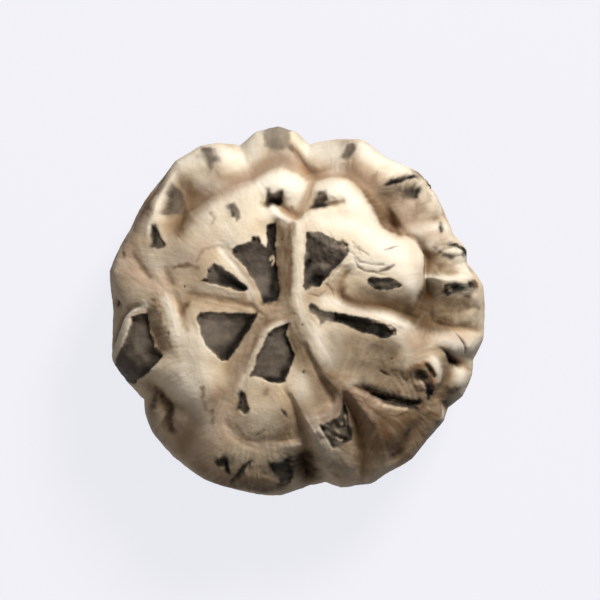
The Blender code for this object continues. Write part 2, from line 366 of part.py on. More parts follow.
# Puffed places: middle, half length and half width, turn in degrees, extra swell in 1 over mm
PUFFS = [
    (-2.4, 15.4, 4.4, 2.6, -8, 0.35), (5.4, 14.8, 4.2, 2.2, -24, 0.35), (8.6, 9.6, 6.0, 3.0, -25, 0.10),
    (10.6, 3.8, 5.2, 2.0, -4, 0.30), (8.8, -5.6, 5.4, 2.6, -24, 0.15), (-20.2, 4.6, 2.6, 3.6, 0, 0.2),
    (-12.6, -6.4, 2.6, 4.0, 14, 0.15), (-4.0, -12.2, 3.6, 3.2, 0, 0.12), (15.6, 12.4, 2.4, 2.0, -40, 0.3),
    (-2.4, 21.4, 3.6, 2.2, 0, 0.3), (6.4, 19.6, 4.0, 2.0, -14, 0.3), (20.2, 5.6, 2.0, 1.4, 0, 0.3),
]

ROUGHNESS = 0.00010
ROUGHNESS_SIZE = 0.0042
NOISE_CELLS = 64
NOISE_SEED = 6


def smooth_step(low, high, value):
    """0 below low, 1 above high, and an even curve between."""
    t = np.clip((value - low) / (high - low), 0.0, 1.0)
    return t * t * (3.0 - 2.0 * t)


def noise(points, size, seed):
    """Smooth random heights over the plane, about -1 to 1, with bumps about size across."""
    slopes = np.random.default_rng(seed).normal(size=(NOISE_CELLS, NOISE_CELLS, 2))
    slopes /= np.linalg.norm(slopes, axis=2, keepdims=True)
    grid = points / size
    cell = np.floor(grid).astype(int)
    inside = grid - cell
    ease = inside ** 3 * (inside * (inside * 6.0 - 15.0) + 10.0)
    corner = {}
    for i in (0, 1):
        for j in (0, 1):
            slope = slopes[(cell[:, 0] + i) % NOISE_CELLS, (cell[:, 1] + j) % NOISE_CELLS]
            corner[i, j] = ((inside - (i, j)) * slope).sum(axis=1)
    low = corner[0, 0] + (corner[1, 0] - corner[0, 0]) * ease[:, 0]
    high = corner[0, 1] + (corner[1, 1] - corner[0, 1]) * ease[:, 0]
    return 1.5 * (low + (high - low) * ease[:, 1])


class Profile:
    """The cap's outer line from the crown to the rim's bottom, by the way walked along it."""

    def __init__(self):
        turn = np.linspace(0.0, math.pi / 2, PROFILE_STEPS)
        radius = CAP_RADIUS * np.sin(turn) ** (2 / CROWN_ROUNDNESS)
        height = WIDEST_Z + (CAP_TOP_Z - WIDEST_Z) * np.cos(turn).clip(0) ** (2 / SHOULDER_ROUNDNESS)
        turn = turn[1:]
        under = RIM_BOTTOM_RADIUS + (CAP_RADIUS - RIM_BOTTOM_RADIUS) * np.cos(turn)
        fall = WIDEST_Z - (WIDEST_Z - RIM_BOTTOM_Z) * np.sin(turn)
        self.radius = np.concatenate([radius, under])
        self.height = np.concatenate([height, fall])
        steps = np.hypot(np.diff(self.radius), np.diff(self.height))
        self.walk = np.concatenate([[0.0], np.cumsum(steps)])
        self.widest = self.walk[len(radius) - 1]
        self.end = self.walk[-1]

    def at(self, walk):
        return np.interp(walk, self.walk, self.radius), np.interp(walk, self.walk, self.height)

    def outward(self, walk):
        """The direction out of the surface, as its part away from the axis and its part up."""
        step = 0.0002
        r0, z0 = self.at(walk - step)
        r1, z1 = self.at(walk + step)
        length = np.hypot(r1 - r0, z1 - z0) + 1e-12
        return (z0 - z1) / length, (r1 - r0) / length

    def walk_to(self, radius):
        """How far from the crown the cap reaches this radius, and further on past the widest line."""
        top = self.walk <= self.widest
        past = np.maximum(radius - CAP_RADIUS, 0.0)
        return np.interp(radius, self.radius[top], self.walk[top]) + PAST_WIDEST_FACTOR * past


PROFILE = Profile()


def outline_scale(turn):
    """How far the cap's outline stands out in a direction, against a plain circle."""
    degrees = [point[0] for point in OUTLINE]
    reach = [point[1] * MM / CAP_RADIUS for point in OUTLINE]
    return np.interp(np.degrees(turn), degrees, reach, period=360)


def to_map(plan):
    """Points seen from above, moved outward to where the cap's skin would lie if unrolled flat."""
    turn = np.arctan2(plan[:, 1], plan[:, 0])
    radius = np.hypot(plan[:, 0], plan[:, 1])
    weight = smooth_step(OUTLINE_START, 1.0, radius / CAP_RADIUS)
    walk = PROFILE.walk_to(radius / (1.0 + weight * (outline_scale(turn) - 1.0)))
    return np.stack([walk * np.cos(turn), walk * np.sin(turn)], axis=1)


def border_distance(points, border):
    """Distance from a closed border, below zero inside it."""
    best = np.full(len(points), np.inf)
    inside = np.zeros(len(points), bool)
    for start, end in zip(border, np.roll(border, -1, axis=0)):
        way = end - start
        part = np.clip(((points - start) @ way) / (way @ way), 0.0, 1.0)
        best = np.minimum(best, np.hypot(*(points - start - part[:, None] * way).T))
        if start[1] != end[1]:
            crosses = (start[1] > points[:, 1]) != (end[1] > points[:, 1])
            reach = start[0] + (points[:, 1] - start[1]) * way[0] / way[1]
            inside ^= crosses & (points[:, 0] < reach)
    return np.where(inside, -best, best)


def line_lengths(line):
    return np.concatenate([[0.0], np.cumsum(np.hypot(*np.diff(line, axis=0).T))])


def sample_grid(grid, step, points):
    """Values at points from a square grid centred on the axis, evenly mixed between its corners."""
    middle = (len(grid) - 1) / 2
    place = np.clip(points / step + middle, 0.0, len(grid) - 1.001)
    cell = place.astype(int)
    (u, v), (i, j) = (place - cell).T, cell.T
    near = grid[i, j] * (1 - v) + grid[i, j + 1] * v
    far = grid[i + 1, j] * (1 - v) + grid[i + 1, j + 1] * v
    return near * (1 - u) + far * u


def smooth_grid(grid, passes):
    for _ in range(passes):
        for axis in (0, 1):
            grid = 0.5 * grid + 0.25 * (np.roll(grid, 1, axis) + np.roll(grid, -1, axis))
    return grid


def swell_at(places):
    """How strongly the skin swells at points of the unrolled cap, in 1 over metres."""
    swell = np.full(len(places), BASE_SWELL)
    for x, y, length, width, turn, extra in PUFFS:
        middle = to_map(np.array([[x, y]]) * MM)[0]
        cos, sin = math.cos(math.radians(turn)), math.sin(math.radians(turn))
        away = places - middle
        across = (away @ (cos, sin) / (length * MM)) ** 2 + (away @ (-sin, cos) / (width * MM)) ** 2
        swell += extra * np.clip(PUFF_REACH - across, 0.0, 1.0)
    fade = smooth_step(PROFILE.widest - SWELL_FADE, PROFILE.widest, np.hypot(*places.T))
    return swell / MM * (1.0 - fade)


class StretchedSkin:
    """The skin held at the folds' heights and puffed up between them, over the unrolled cap."""

    def __init__(self):
        self.height = np.zeros((3, 3))
        self.step = GRID_REACH
        for step, passes in GRID_PASSES.items():
            self.height = self.relax(step, passes)
            self.step = step
        self.height = smooth_grid(self.height, GRID_SMOOTHING)

    def held_heights(self, step, count):
        """Mean height that the folds give to each cell of the grid, and which cells they cross."""
        total = np.zeros((2 * count + 1, 2 * count + 1))
        number = np.zeros_like(total)
        for corners in [*SHARP_FOLDS.values(), *SOFT_FOLDS.values()]:
            values = np.array(corners) * MM
            line = to_map(values[:, :2])
            lengths = line_lengths(line)
            stops = np.linspace(0.0, lengths[-1], int(lengths[-1] / (0.4 * step)) + 2)
            cells = [np.rint(np.interp(stops, lengths, line[:, side]) / step).astype(int) + count
                     for side in (0, 1)]
            np.add.at(total, tuple(cells), np.interp(stops, lengths, values[:, 2]))
            np.add.at(number, tuple(cells), 1.0)
        return total / np.maximum(number, 1.0), number > 0

    def relax(self, step, passes):
        count = int(GRID_REACH / step)
        axis = np.arange(-count, count + 1) * step
        places = np.stack(np.meshgrid(axis, axis, indexing="ij"), axis=2).reshape(-1, 2)
        height = sample_grid(self.height, self.step, places).reshape(len(axis), len(axis))
        outside = np.hypot(*places.T).reshape(height.shape) > PROFILE.end
        height[outside] = 0.0
        drawn_height, drawn = self.held_heights(step, count)
        height[drawn] = drawn_height[drawn]
        held = outside | drawn
        push = swell_at(places).reshape(height.shape) * step ** 2 / 4
        inner = (slice(1, -1), slice(1, -1))
        for _ in range(passes):
            mean = (height[:-2, 1:-1] + height[2:, 1:-1] + height[1:-1, :-2] + height[1:-1, 2:]) / 4
            height[inner] = np.where(held[inner], height[inner], mean + push[inner])
        return height

    def at(self, points):
        return sample_grid(self.height, self.step, points)


STRETCHED_SKIN = StretchedSkin()


def relief(points):
    """Height of the skin over the plain dome, for points of the unrolled cap."""
    walk = np.hypot(*points.T)
    height = FOLD_HEIGHT * STRETCHED_SKIN.at(points)
    lost = 1.0 - RELIEF_AT_OUTLINE
    height *= 1.0 - lost * smooth_step(PROFILE.widest - RELIEF_FADE, PROFILE.widest, walk)
    height += ROUGHNESS * noise(points, ROUGHNESS_SIZE, NOISE_SEED)
    fade = 1.0 - smooth_step(PROFILE.widest - PATCH_FADE, PROFILE.widest, walk)
    for depth, corners in PATCHES.values():
        gap = border_distance(points, patch_border(corners))
        height -= depth * MM * (1.0 - smooth_step(-WALL_WIDTH, 0.0, gap)) * fade
    return height


def patch_border(corners):
    return to_map(np.array(corners) * MM)


def cap_point(points):
    """Places in space of points of the unrolled cap, raised by the relief."""
    walk = np.hypot(*points.T)
    turn = np.arctan2(points[:, 1], points[:, 0])
    radius, height = PROFILE.at(walk)
    away, up = PROFILE.outward(walk)
    weight = smooth_step(OUTLINE_START, 1.0, radius / CAP_RADIUS)
    beyond = smooth_step(PROFILE.widest, PROFILE.end, walk)
    radius = radius * (1.0 + weight * (outline_scale(turn) - 1.0) * (1.0 - 0.5 * beyond))
    lean = smooth_step(LEAN_START, LEAN_END, radius / CAP_RADIUS)
    rise = relief(points) * (1.0 - beyond)
    radius = radius + rise * LEAN_SHARE * away * lean
    height = height + rise * (up * lean + 1.0 - lean) + RIM_BOTTOM_WAVE * rim_wave(turn) * beyond
    return np.stack([radius * np.cos(turn), radius * np.sin(turn), height], axis=1)


def rim_wave(turn):
    """The rim's bottom rises and falls, with three low places round the cap."""
    return np.cos(3 * turn + 0.5) + 0.35 * np.cos(7 * turn + 2.0)


def resample(line, spacing):
    """Evenly spaced points along an open line."""
    lengths = line_lengths(line)
    count = max(2, round(lengths[-1] / spacing))
    stops = np.arange(count + 1) * lengths[-1] / count
    return np.stack([np.interp(stops, lengths, line[:, 0]), np.interp(stops, lengths, line[:, 1])], axis=1)


def resample_closed(corners, spacing):
    return resample(np.vstack([corners, corners[:1]]), spacing)[:-1]


def shrink(corners, distance):
    """A closed line moved inward, each corner along the mean of its sides' inward directions."""
    ahead = np.roll(corners, -1, axis=0) - corners
    behind = corners - np.roll(corners, 1, axis=0)
    area = np.sum(corners[:, 0] * np.roll(corners[:, 1], -1) - corners[:, 1] * np.roll(corners[:, 0], -1))
    inward = np.stack([-(ahead + behind)[:, 1], (ahead + behind)[:, 0]], axis=1) * np.sign(area)
    return corners + distance * inward / np.linalg.norm(inward, axis=1, keepdims=True)


def crown_points():
    """Points of the unrolled cap: both edges of each patch's wall, the folds, then an even grid."""
    chosen = []
    for _, corners in PATCHES.values():
        border = patch_border(corners)
        chosen.append(resample_closed(border, BORDER_SPACING))
        chosen.append(resample_closed(shrink(border, WALL_WIDTH), BORDER_SPACING))
    border_count = sum(len(group) for group in chosen)
    for corners in SHARP_FOLDS.values():
        chosen.append(resample(to_map(np.array(corners)[:, :2] * MM), CREST_SPACING))
    rows = np.arange(-PROFILE.widest, PROFILE.widest, CROWN_SPACING * math.sqrt(0.75))
    for number, y in enumerate(rows):
        x = np.arange(-PROFILE.widest, PROFILE.widest, CROWN_SPACING) + 0.5 * CROWN_SPACING * (number % 2)
        chosen.append(np.stack([x, np.full(len(x), y)], axis=1))
    points = np.vstack(chosen)
    on_border = np.arange(len(points)) < border_count
    limit = np.where(on_border, BORDER_CLEARANCE * BORDER_SPACING, GRID_CLEARANCE * CROWN_SPACING)
    kept = []
    for number, point in enumerate(points):
        if np.hypot(*point) > PROFILE.widest - GRID_CLEARANCE * CROWN_SPACING:
            continue
        if kept and np.min(np.hypot(*(points[kept] - point).T)) < limit[number]:
            continue
        kept.append(number)
    return points[kept]


def zip_rings(first, first_turn, second, second_turn):
    """Triangles between two closed rings of vertex numbers, matched by their angles."""
    faces = []
    i = j = 0
    while i < len(first) or j < len(second):
        next_i = first_turn[(i + 1) % len(first)] + math.tau * ((i + 1) // len(first))
        next_j = second_turn[(j + 1) % len(second)] + math.tau * ((j + 1) // len(second))
        if j == len(second) or (i < len(first) and next_i <= next_j):
            faces.append((first[i % len(first)], first[(i + 1) % len(first)], second[j % len(second)]))
            i += 1
        else:
            faces.append((first[i % len(first)], second[(j + 1) % len(second)], second[j % len(second)]))
            j += 1
    return faces


class Skin:
    """Vertices and triangles of the solid, grown ring by ring from the crown to the stem's end."""

    def __init__(self):
        self.places = []
        self.faces = []
        self.ring = []
        self.ring_turn = []

    def add_vertices(self, places):
        first = len(self.places)
        self.places.extend(tuple(place) for place in places)
        return list(range(first, len(self.places)))

    def add_ring(self, turn, radius, height):
        """A further ring, joined to the one before it."""
        places = np.stack([radius * np.cos(turn), radius * np.sin(turn), height + 0.0 * turn], axis=1)
        ring = self.add_vertices(places)
        self.faces.extend(zip_rings(self.ring, self.ring_turn, ring, list(turn)))
        self.ring = ring
        self.ring_turn = list(turn)


def add_crown(skin):
    """The cap's top down to its widest line."""
    turn = np.arange(RIM_COLUMNS) * math.tau / RIM_COLUMNS
    edge = PROFILE.widest * np.stack([np.cos(turn), np.sin(turn)], axis=1)
    points = np.vstack([edge, crown_points()])
    numbers = skin.add_vertices(cap_point(points))
    result = delaunay_2d_cdt([Vector(point) for point in points], [], [], 0, 1e-9)
    faces, source = result[2], result[3]
    for face in faces:
        skin.faces.append(tuple(numbers[source[corner][0]] for corner in face))
    skin.ring = numbers[:RIM_COLUMNS]
    skin.ring_turn = list(turn)


def add_rim(skin):
    """From the widest line down round the rolled rim and up its inner side to the gills' roof."""
    turn = np.arange(RIM_COLUMNS) * math.tau / RIM_COLUMNS
    for walk in np.linspace(PROFILE.widest, PROFILE.end, RIM_RINGS + 1)[1:]:
        places = cap_point(walk * np.stack([np.cos(turn), np.sin(turn)], axis=1))
        skin.add_ring(turn, np.hypot(places[:, 0], places[:, 1]), places[:, 2])
    spread = outline_scale(turn) - 1.0
    wave = RIM_BOTTOM_WAVE * rim_wave(turn)
    between = 0.5 * (RIM_BOTTOM_RADIUS + LIP_RADIUS)
    skin.add_ring(turn, between * (1.0 + 0.4 * spread), 0.72 * RIM_BOTTOM_Z + 0.28 * LIP_Z + 0.9 * wave)
    skin.add_ring(turn, LIP_RADIUS * (1.0 + 0.3 * spread), LIP_Z + 0.5 * wave)


def roof_height(radius):
    """The roof over the gills climbs from the rim to the stem."""
    part = (radius - ROOF_EDGE_RADIUS) / (ROOF_STEM_RADIUS - ROOF_EDGE_RADIUS)
    return ROOF_EDGE_Z + (ROOF_STEM_Z - ROOF_EDGE_Z) * math.sin(0.5 * math.pi * part)


def add_gills(skin):
    """Long gills from rim to stem with a short one between each two, as blades under the roof."""
    pitch = math.tau / LONG_GILLS
    for radius, long_drop, short_drop in GILL_DROPS:
        roof = roof_height(radius)
        turn = []
        height = []
        for number in range(2 * LONG_GILLS):
            is_long = number % 2 == 0
            blade_drop = long_drop if is_long else short_drop
            merged = not is_long and blade_drop == 0.0
            root = GILL_MERGED_THICKNESS if merged else GILL_ROOT_THICKNESS
            edge = 0.5 * root if merged else GILL_EDGE_THICKNESS
            middle = 0.5 * number * pitch
            for offset, drop in ((-root, 0.0), (-edge, blade_drop), (edge, blade_drop), (root, 0.0)):
                turn.append(middle + 0.5 * offset / radius)
                height.append(roof - drop)
        skin.add_ring(np.array(turn), radius, np.array(height))


def stem_radius(turn, height):
    """The stem is a little oval, and widens to the cap and to its cut end."""
    oval = 1.0 + STEM_OVAL * np.cos(2 * turn + 0.7) + STEM_BULGES * np.cos(3 * turn + STEM_TWIST * height)
    middle = 0.45 * ROOF_STEM_Z
    flare = STEM_FLARE * ((height - middle) / middle) ** 2
    return STEM_RADIUS * oval + flare


def add_stem(skin):
    """The stem down to its flat cut end."""
    turn = np.arange(STEM_COLUMNS) * math.tau / STEM_COLUMNS
    for height in [part * ROOF_STEM_Z for part in STEM_RINGS] + [STEM_EDGE_ROUNDING]:
        radius = np.minimum(stem_radius(turn, height), STEM_TOP_SHARE * ROOF_STEM_RADIUS)
        skin.add_ring(turn, radius, height)
    skin.add_ring(turn, stem_radius(turn, 0.0) - STEM_EDGE_ROUNDING, 0.0)
    centre = skin.add_vertices([(0.0, 0.0, 0.0)])[0]
    for number, vertex in enumerate(skin.ring):
        skin.faces.append((vertex, skin.ring[(number + 1) % STEM_COLUMNS], centre))


def flesh_material():
    material = bpy.data.materials.new("dried flesh")
    material.use_nodes = True
    shader = material.node_tree.nodes["Principled BSDF"]
    shader.inputs["Base Color"].default_value = (0.62, 0.53, 0.40, 1.0)
    shader.inputs["Roughness"].default_value = 0.75
    shader.inputs["Metallic"].default_value = 0.0
    return material


def build_mushroom():
    skin = Skin()
    add_crown(skin)
    add_rim(skin)
    add_gills(skin)
    add_stem(skin)
    mesh = bpy.data.meshes.new("mushroom")
    mesh.from_pydata(skin.places, [], skin.faces)
    solid = bmesh.new()
    solid.from_mesh(mesh)
    bmesh.ops.recalc_face_normals(solid, faces=solid.faces)
    solid.to_mesh(mesh)
    solid.free()
    mesh.shade_smooth()
    mesh.set_sharp_from_angle(angle=math.radians(SHARP_EDGE_DEGREES))
    mesh.materials.append(flesh_material())
    mushroom = bpy.data.objects.new("mushroom", mesh)
    bpy.context.scene.collection.objects.link(mushroom)
    return mushroom


for old in list(bpy.data.objects):
    bpy.data.objects.remove(old)
build_mushroom()
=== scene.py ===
"""Looks of the dried shiitake mushroom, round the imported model. Metres, +Z up.

Places on the cap are given as seen from straight above, in millimetres: x to the right and
y away from the viewer. A point drawn outside the cap's outline lies further down its side.
"""
import math

import bpy
import numpy as np
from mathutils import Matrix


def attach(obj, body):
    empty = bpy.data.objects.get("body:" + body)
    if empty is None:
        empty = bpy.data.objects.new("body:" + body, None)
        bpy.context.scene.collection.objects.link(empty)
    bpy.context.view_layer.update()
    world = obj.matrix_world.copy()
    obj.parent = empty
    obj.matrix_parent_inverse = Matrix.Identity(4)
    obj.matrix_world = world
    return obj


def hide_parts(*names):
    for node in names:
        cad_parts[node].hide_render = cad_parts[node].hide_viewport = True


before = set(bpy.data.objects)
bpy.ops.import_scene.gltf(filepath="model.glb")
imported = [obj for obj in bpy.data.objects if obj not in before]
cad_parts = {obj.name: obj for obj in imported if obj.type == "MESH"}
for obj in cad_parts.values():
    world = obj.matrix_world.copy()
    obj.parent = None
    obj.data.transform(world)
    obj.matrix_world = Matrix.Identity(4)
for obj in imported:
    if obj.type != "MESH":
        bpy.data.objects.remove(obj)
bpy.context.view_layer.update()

MM = 0.001

# Cap, rim, roof over the gills and stem, as in the solid model
CAP_RADIUS = 0.0230
CAP_TOP_Z = 0.0210
WIDEST_Z = 0.0095
CROWN_ROUNDNESS = 2.8
SHOULDER_ROUNDNESS = 2.4
RIM_BOTTOM_RADIUS = 0.0196
RIM_BOTTOM_Z = 0.0016
RIM_BOTTOM_WAVE = 0.0007
LIP_RADIUS = 0.0172
LIP_Z = 0.0044
ROOF_EDGE_RADIUS = 0.0168
ROOF_EDGE_Z = 0.0080
ROOF_STEM_RADIUS = 0.0058
ROOF_STEM_Z = 0.0118
STEM_RADIUS = 0.0048
STEM_FLARE = 0.0006
STEM_OVAL = 0.05
STEM_OVAL_TURN = 0.7
STEM_BULGES = 0.03
STEM_TWIST = 400.0
STEM_WAIST = 0.45
STEM_EDGE_ROUNDING = 0.0004

# Gills: blades of three lengths under the roof, by the radius where each begins, their waves, and how
# much their starts and depths vary
GILL_COUNT = 288
GILL_STARTS = (0.0060, 0.0132, 0.0094, 0.0132)
GILL_DEPTH = 0.0031
GILL_THICKNESS = 0.00020
GILL_STEP = 0.00042
GILL_WAVE = 0.00022
GILL_WAVE_LENGTH = 0.0021
GILL_SPREAD = 0.0017
GILL_SWAY_AT_ROOF = 0.4
GILL_START_SHIFT = 0.0004
GILL_OVERLAP = 0.0002
GILL_DEPTH_LEAST = 0.88
GILL_SHORT_DEPTH = 0.85
GILL_RISE_INSIDE = 4.0
GILL_RISE_OUTSIDE = 3.2
GILL_SEED = 5
GILL_WAVE_SEED = 30

# Across a blade: down one face, along the lower edge and up the other face
GILL_SIDES = (-1.0, -0.8, -0.6, 0.0, 0.6, 0.8, 1.0)
GILL_DEPTHS = (-0.05, 0.45, 0.9, 1.0, 0.9, 0.45, -0.05)

# Flesh over the gills: its rings and columns, and how far it runs under the rim and into the stem
ROOF_RINGS = 24
ROOF_COLUMNS = 180
ROOF_OVERLAP = 0.0004
ROOF_STEM_SHARE = 0.8

# Stem: fibres that run up it, as their number round the stem and height, and its cut end
STEM_FIBRES = ((9, 0.00010), (14, 0.00007), (23, 0.00006), (37, 0.00004), (52, 0.00003))
STEM_FIBRE_SHIFT = 1.7
STEM_FIBRE_TWIST = 180.0
STEM_FIBRE_SINK = 0.0001
STEM_RINGS = 44
STEM_COLUMNS = 240
CUT_END_RINGS = 14
CUT_END_SPACING = 0.8
CUT_END_INNERMOST = 0.002
CUT_END_ROUGHNESS = 0.00005
CUT_END_FIBRE = 0.00006
CUT_END_GRAIN = 0.0006
CUT_END_SEED = 33

# Photo: the axis of the cap is at this pixel, and a millimetre is this many pixels
PHOTO_SIDE_PX = 600
AXIS_PX = (297, 311)
PX_PER_MM = 8.0
CAMERA_DISTANCE = 0.75
CAMERA_NEAR = 0.05
SENSOR_WIDTH_MM = 36.0

# Outline of the cap seen from above: direction in degrees from +X, and distance from the axis
OUTLINE = [
    (-172, 23.3), (-165, 23.8), (-160, 23.3), (-155, 22.65), (-150, 22.1), (-146, 22.9), (-140, 23.6),
    (-130, 23.9), (-119, 24.0), (-110, 23.5), (-95, 23.2), (-87, 22.15), (-80.6, 21.7), (-76, 22.7),
    (-67, 23.5), (-61, 23.2), (-52, 23.3), (-45, 22.8), (-36.6, 22.9), (-32.5, 22.5), (-27, 23.35),
    (-20, 23.4), (-15.5, 22.9), (-8, 23.6), (8, 23.4), (13, 22.6), (16, 22.0), (20, 22.4), (25.5, 21.65),
    (36, 22.3), (49, 22.85), (57, 22.05), (61, 21.9), (69, 22.7), (78, 21.6), (86, 20.9), (90, 22.2),
    (96, 23.0), (103, 22.7), (109, 21.9), (115, 23.1), (120, 23.7), (125, 23.7), (129, 23.95),
    (135, 23.5), (140, 23.35), (144, 23.35), (154, 23.0), (168, 23.8), (181, 23.0),
]

# Dark skin between the folds: depth below the flesh, roughness, softness of its edge, how fully its
# colour covers, and its border
PATCHES = {
    "north west of the hub": (0.45, 0.5, 0.2, 0.96, [
        (-8.0, 7.7), (-7.2, 8.1), (-5.8, 8.7), (-5.5, 9.4), (-4.6, 9.3), (-4.4, 8.4), (-3.8, 7.9),
        (-3.8, 10.7), (-2.6, 11.0), (-2.5, 6.0), (-2.0, 2.3), (-2.4, 1.2), (-4.1, 0.9), (-5.1, 3.4),
        (-6.6, 5.5), (-8.0, 7.0)]),
    "west wedge": (0.45, 0.4, 0.2, 0.96, [
        (-5.9, 2.7), (-6.1, 3.1), (-7.8, 4.5), (-10.2, 6.2), (-11.1, 5.1), (-11.2, 4.2), (-12.1, 3.7),
        (-11.0, 3.4), (-8.0, 2.6), (-6.3, 2.3)]),
    "south west triangle": (0.5, 0.3, 0.2, 0.96, [
        (-12.0, 0.0), (-8.4, -0.1), (-4.8, -0.2), (-5.3, -1.5), (-6.8, -3.8), (-8.5, -6.1), (-9.3, -6.2),
        (-11.2, -4.4), (-12.5, -0.9)]),
    "south of the hub": (0.5, 0.4, 0.2, 0.96, [
        (-1.0, -1.4), (-1.2, -3.0), (-0.2, -5.4), (-0.8, -7.1), (-1.4, -8.8), (-2.4, -9.0), (-3.5, -8.8),
        (-4.4, -8.2), (-5.9, -8.1), (-5.0, -5.6), (-3.6, -2.7), (-2.9, -1.9)]),
    "north east of the hub": (0.45, 1.6, 0.2, 0.96, [
        (1.1, 9.8), (2.7, 9.8), (4.7, 8.9), (6.1, 8.3), (6.6, 7.3), (5.2, 5.7), (4.0, 4.3), (2.8, 3.1),
        (1.9, 3.0), (1.1, 2.4), (0.7, 3.0), (0.9, 6.0)]),
    "east slot": (0.45, 0.5, 0.2, 0.96, [
        (4.6, -0.1), (6.0, -0.25), (10.0, -1.1), (12.3, -2.1), (12.2, -2.9), (10.8, -3.45), (8.0, -2.7),
        (5.4, -1.5), (4.4, -1.3)]),
    "east slot, west end": (0.2, 0.3, 0.25, 0.85, [
        (1.4, 0.7), (1.7, 1.0), (2.3, 0.9), (2.8, 0.3), (4.4, -0.1), (5.6, -0.5), (5.4, -1.4),
        (3.7, -1.3), (2.9, -1.8), (2.2, -0.6), (1.45, -0.3)]),
    "east oval": (0.3, 0.6, 0.12, 0.95, [
        (8.5, 3.9), (9.0, 4.2), (10.6, 4.15), (12.1, 4.0), (13.1, 3.2), (12.6, 2.8), (11.0, 2.55),
        (9.7, 2.6), (8.8, 3.2)]),
    "west rim": (0.45, 0.5, 0.2, 0.96, [
        (-20.2, -0.6), (-18.2, 0.0), (-18.3, -1.5), (-17.5, -4.2), (-16.2, -5.5), (-18.0, -7.5),
        (-20.1, -9.1), (-23.2, -8.6), (-22.2, -6.2), (-21.2, -4.3), (-20.4, -2.2)]),
    "south east square": (0.4, 1.4, 0.25, 0.85, [
        (2.7, -14.1), (4.0, -13.6), (5.2, -12.7), (5.8, -10.6), (6.3, -12.4), (6.6, -14.5), (6.9, -16.0),
        (5.0, -17.0), (4.4, -16.8)]),
    "slot under the brow": (0.4, 1.4, 0.25, 0.85, [
        (8.0, -9.6), (10.0, -10.1), (13.0, -10.8), (15.1, -10.9), (14.9, -12.2), (13.2, -12.0),
        (10.0, -10.9)]),
    "small, north": (0.3, 1.0, 0.35, 0.8, [
        (-3.9, 12.9), (-3.8, 15.1), (-2.8, 14.6), (-1.6, 15.0), (-1.7, 13.0)]),
    "small, north east": (0.25, 1.4, 0.35, 0.8, [
        (1.8, 12.7), (2.6, 14.9), (3.6, 15.0), (3.9, 13.7), (3.2, 13.0)]),
    "small, north west": (0.2, 0.4, 0.25, 0.72, [
        (-8.6, 13.2), (-7.7, 13.4), (-7.1, 12.6), (-6.9, 11.4), (-7.4, 10.9), (-8.1, 11.6)]),
    "west slit": (0.35, 0.5, 0.25, 0.95, [
        (-17.5, 10.5), (-16.9, 10.1), (-16.4, 9.1), (-16.0, 8.2), (-16.2, 7.7), (-16.9, 7.5),
        (-17.5, 7.9), (-17.8, 8.9)]),
    "north west rim": (0.2, 0.3, 0.4, 0.80, [
        (-15.3, 15.9), (-14.5, 15.2), (-14.1, 13.6), (-14.2, 12.1), (-16.7, 11.7), (-16.0, 13.6)]),
    "south slit": (0.35, 0.5, 0.25, 0.95, [
        (-7.0, -9.6), (-6.5, -9.9), (-6.1, -10.9), (-5.7, -12.0), (-5.9, -12.6), (-6.5, -12.8),
        (-7.1, -12.1), (-7.2, -10.9)]),
    "north rim": (0.15, 0.4, 0.6, 0.64, [
        (-4.2, 22.6), (-4.1, 19.9), (-2.4, 19.7), (-0.5, 19.9), (-0.7, 22.4)]),
    "north north west rim": (0.15, 0.4, 0.9, 0.85, [
        (-11.9, 20.1), (-9.9, 19.6), (-8.7, 17.7), (-9.6, 18.0), (-10.8, 17.0), (-11.7, 18.2)]),
    "north north east rim": (0.2, 0.8, 0.5, 0.9, [
        (5.0, 18.6), (6.0, 18.3), (6.9, 18.4), (7.3, 20.3), (6.2, 20.0)]),
    "south south west rim": (0.35, 0.8, 0.3, 0.9, [
        (-10.2, -18.5), (-8.7, -17.6), (-8.0, -20.1), (-8.8, -19.0), (-9.6, -19.2)]),
    "south rim": (0.35, 0.8, 0.4, 0.9, [
        (-3.6, -18.6), (-1.0, -18.4), (-0.3, -21.8), (-2.2, -21.8), (-3.0, -20.0)]),
    "east rim": (0.3, 1.8, 0.2, 0.95, [
        (18.2, 3.3), (19.2, 3.6), (19.9, 3.2), (19.7, 2.1), (18.8, 1.8), (18.3, 2.5)]),
    "east rim, outer": (0.3, 1.8, 0.3, 0.85, [
        (20.5, 3.7), (21.6, 3.9), (22.4, 3.4), (21.6, 2.6), (20.7, 2.7)]),
    "north east rim": (0.15, 1.4, 0.6, 0.9, [
        (12.2, 14.4), (13.8, 15.2), (14.9, 14.5), (14.2, 13.6), (13.1, 13.7)]),
}

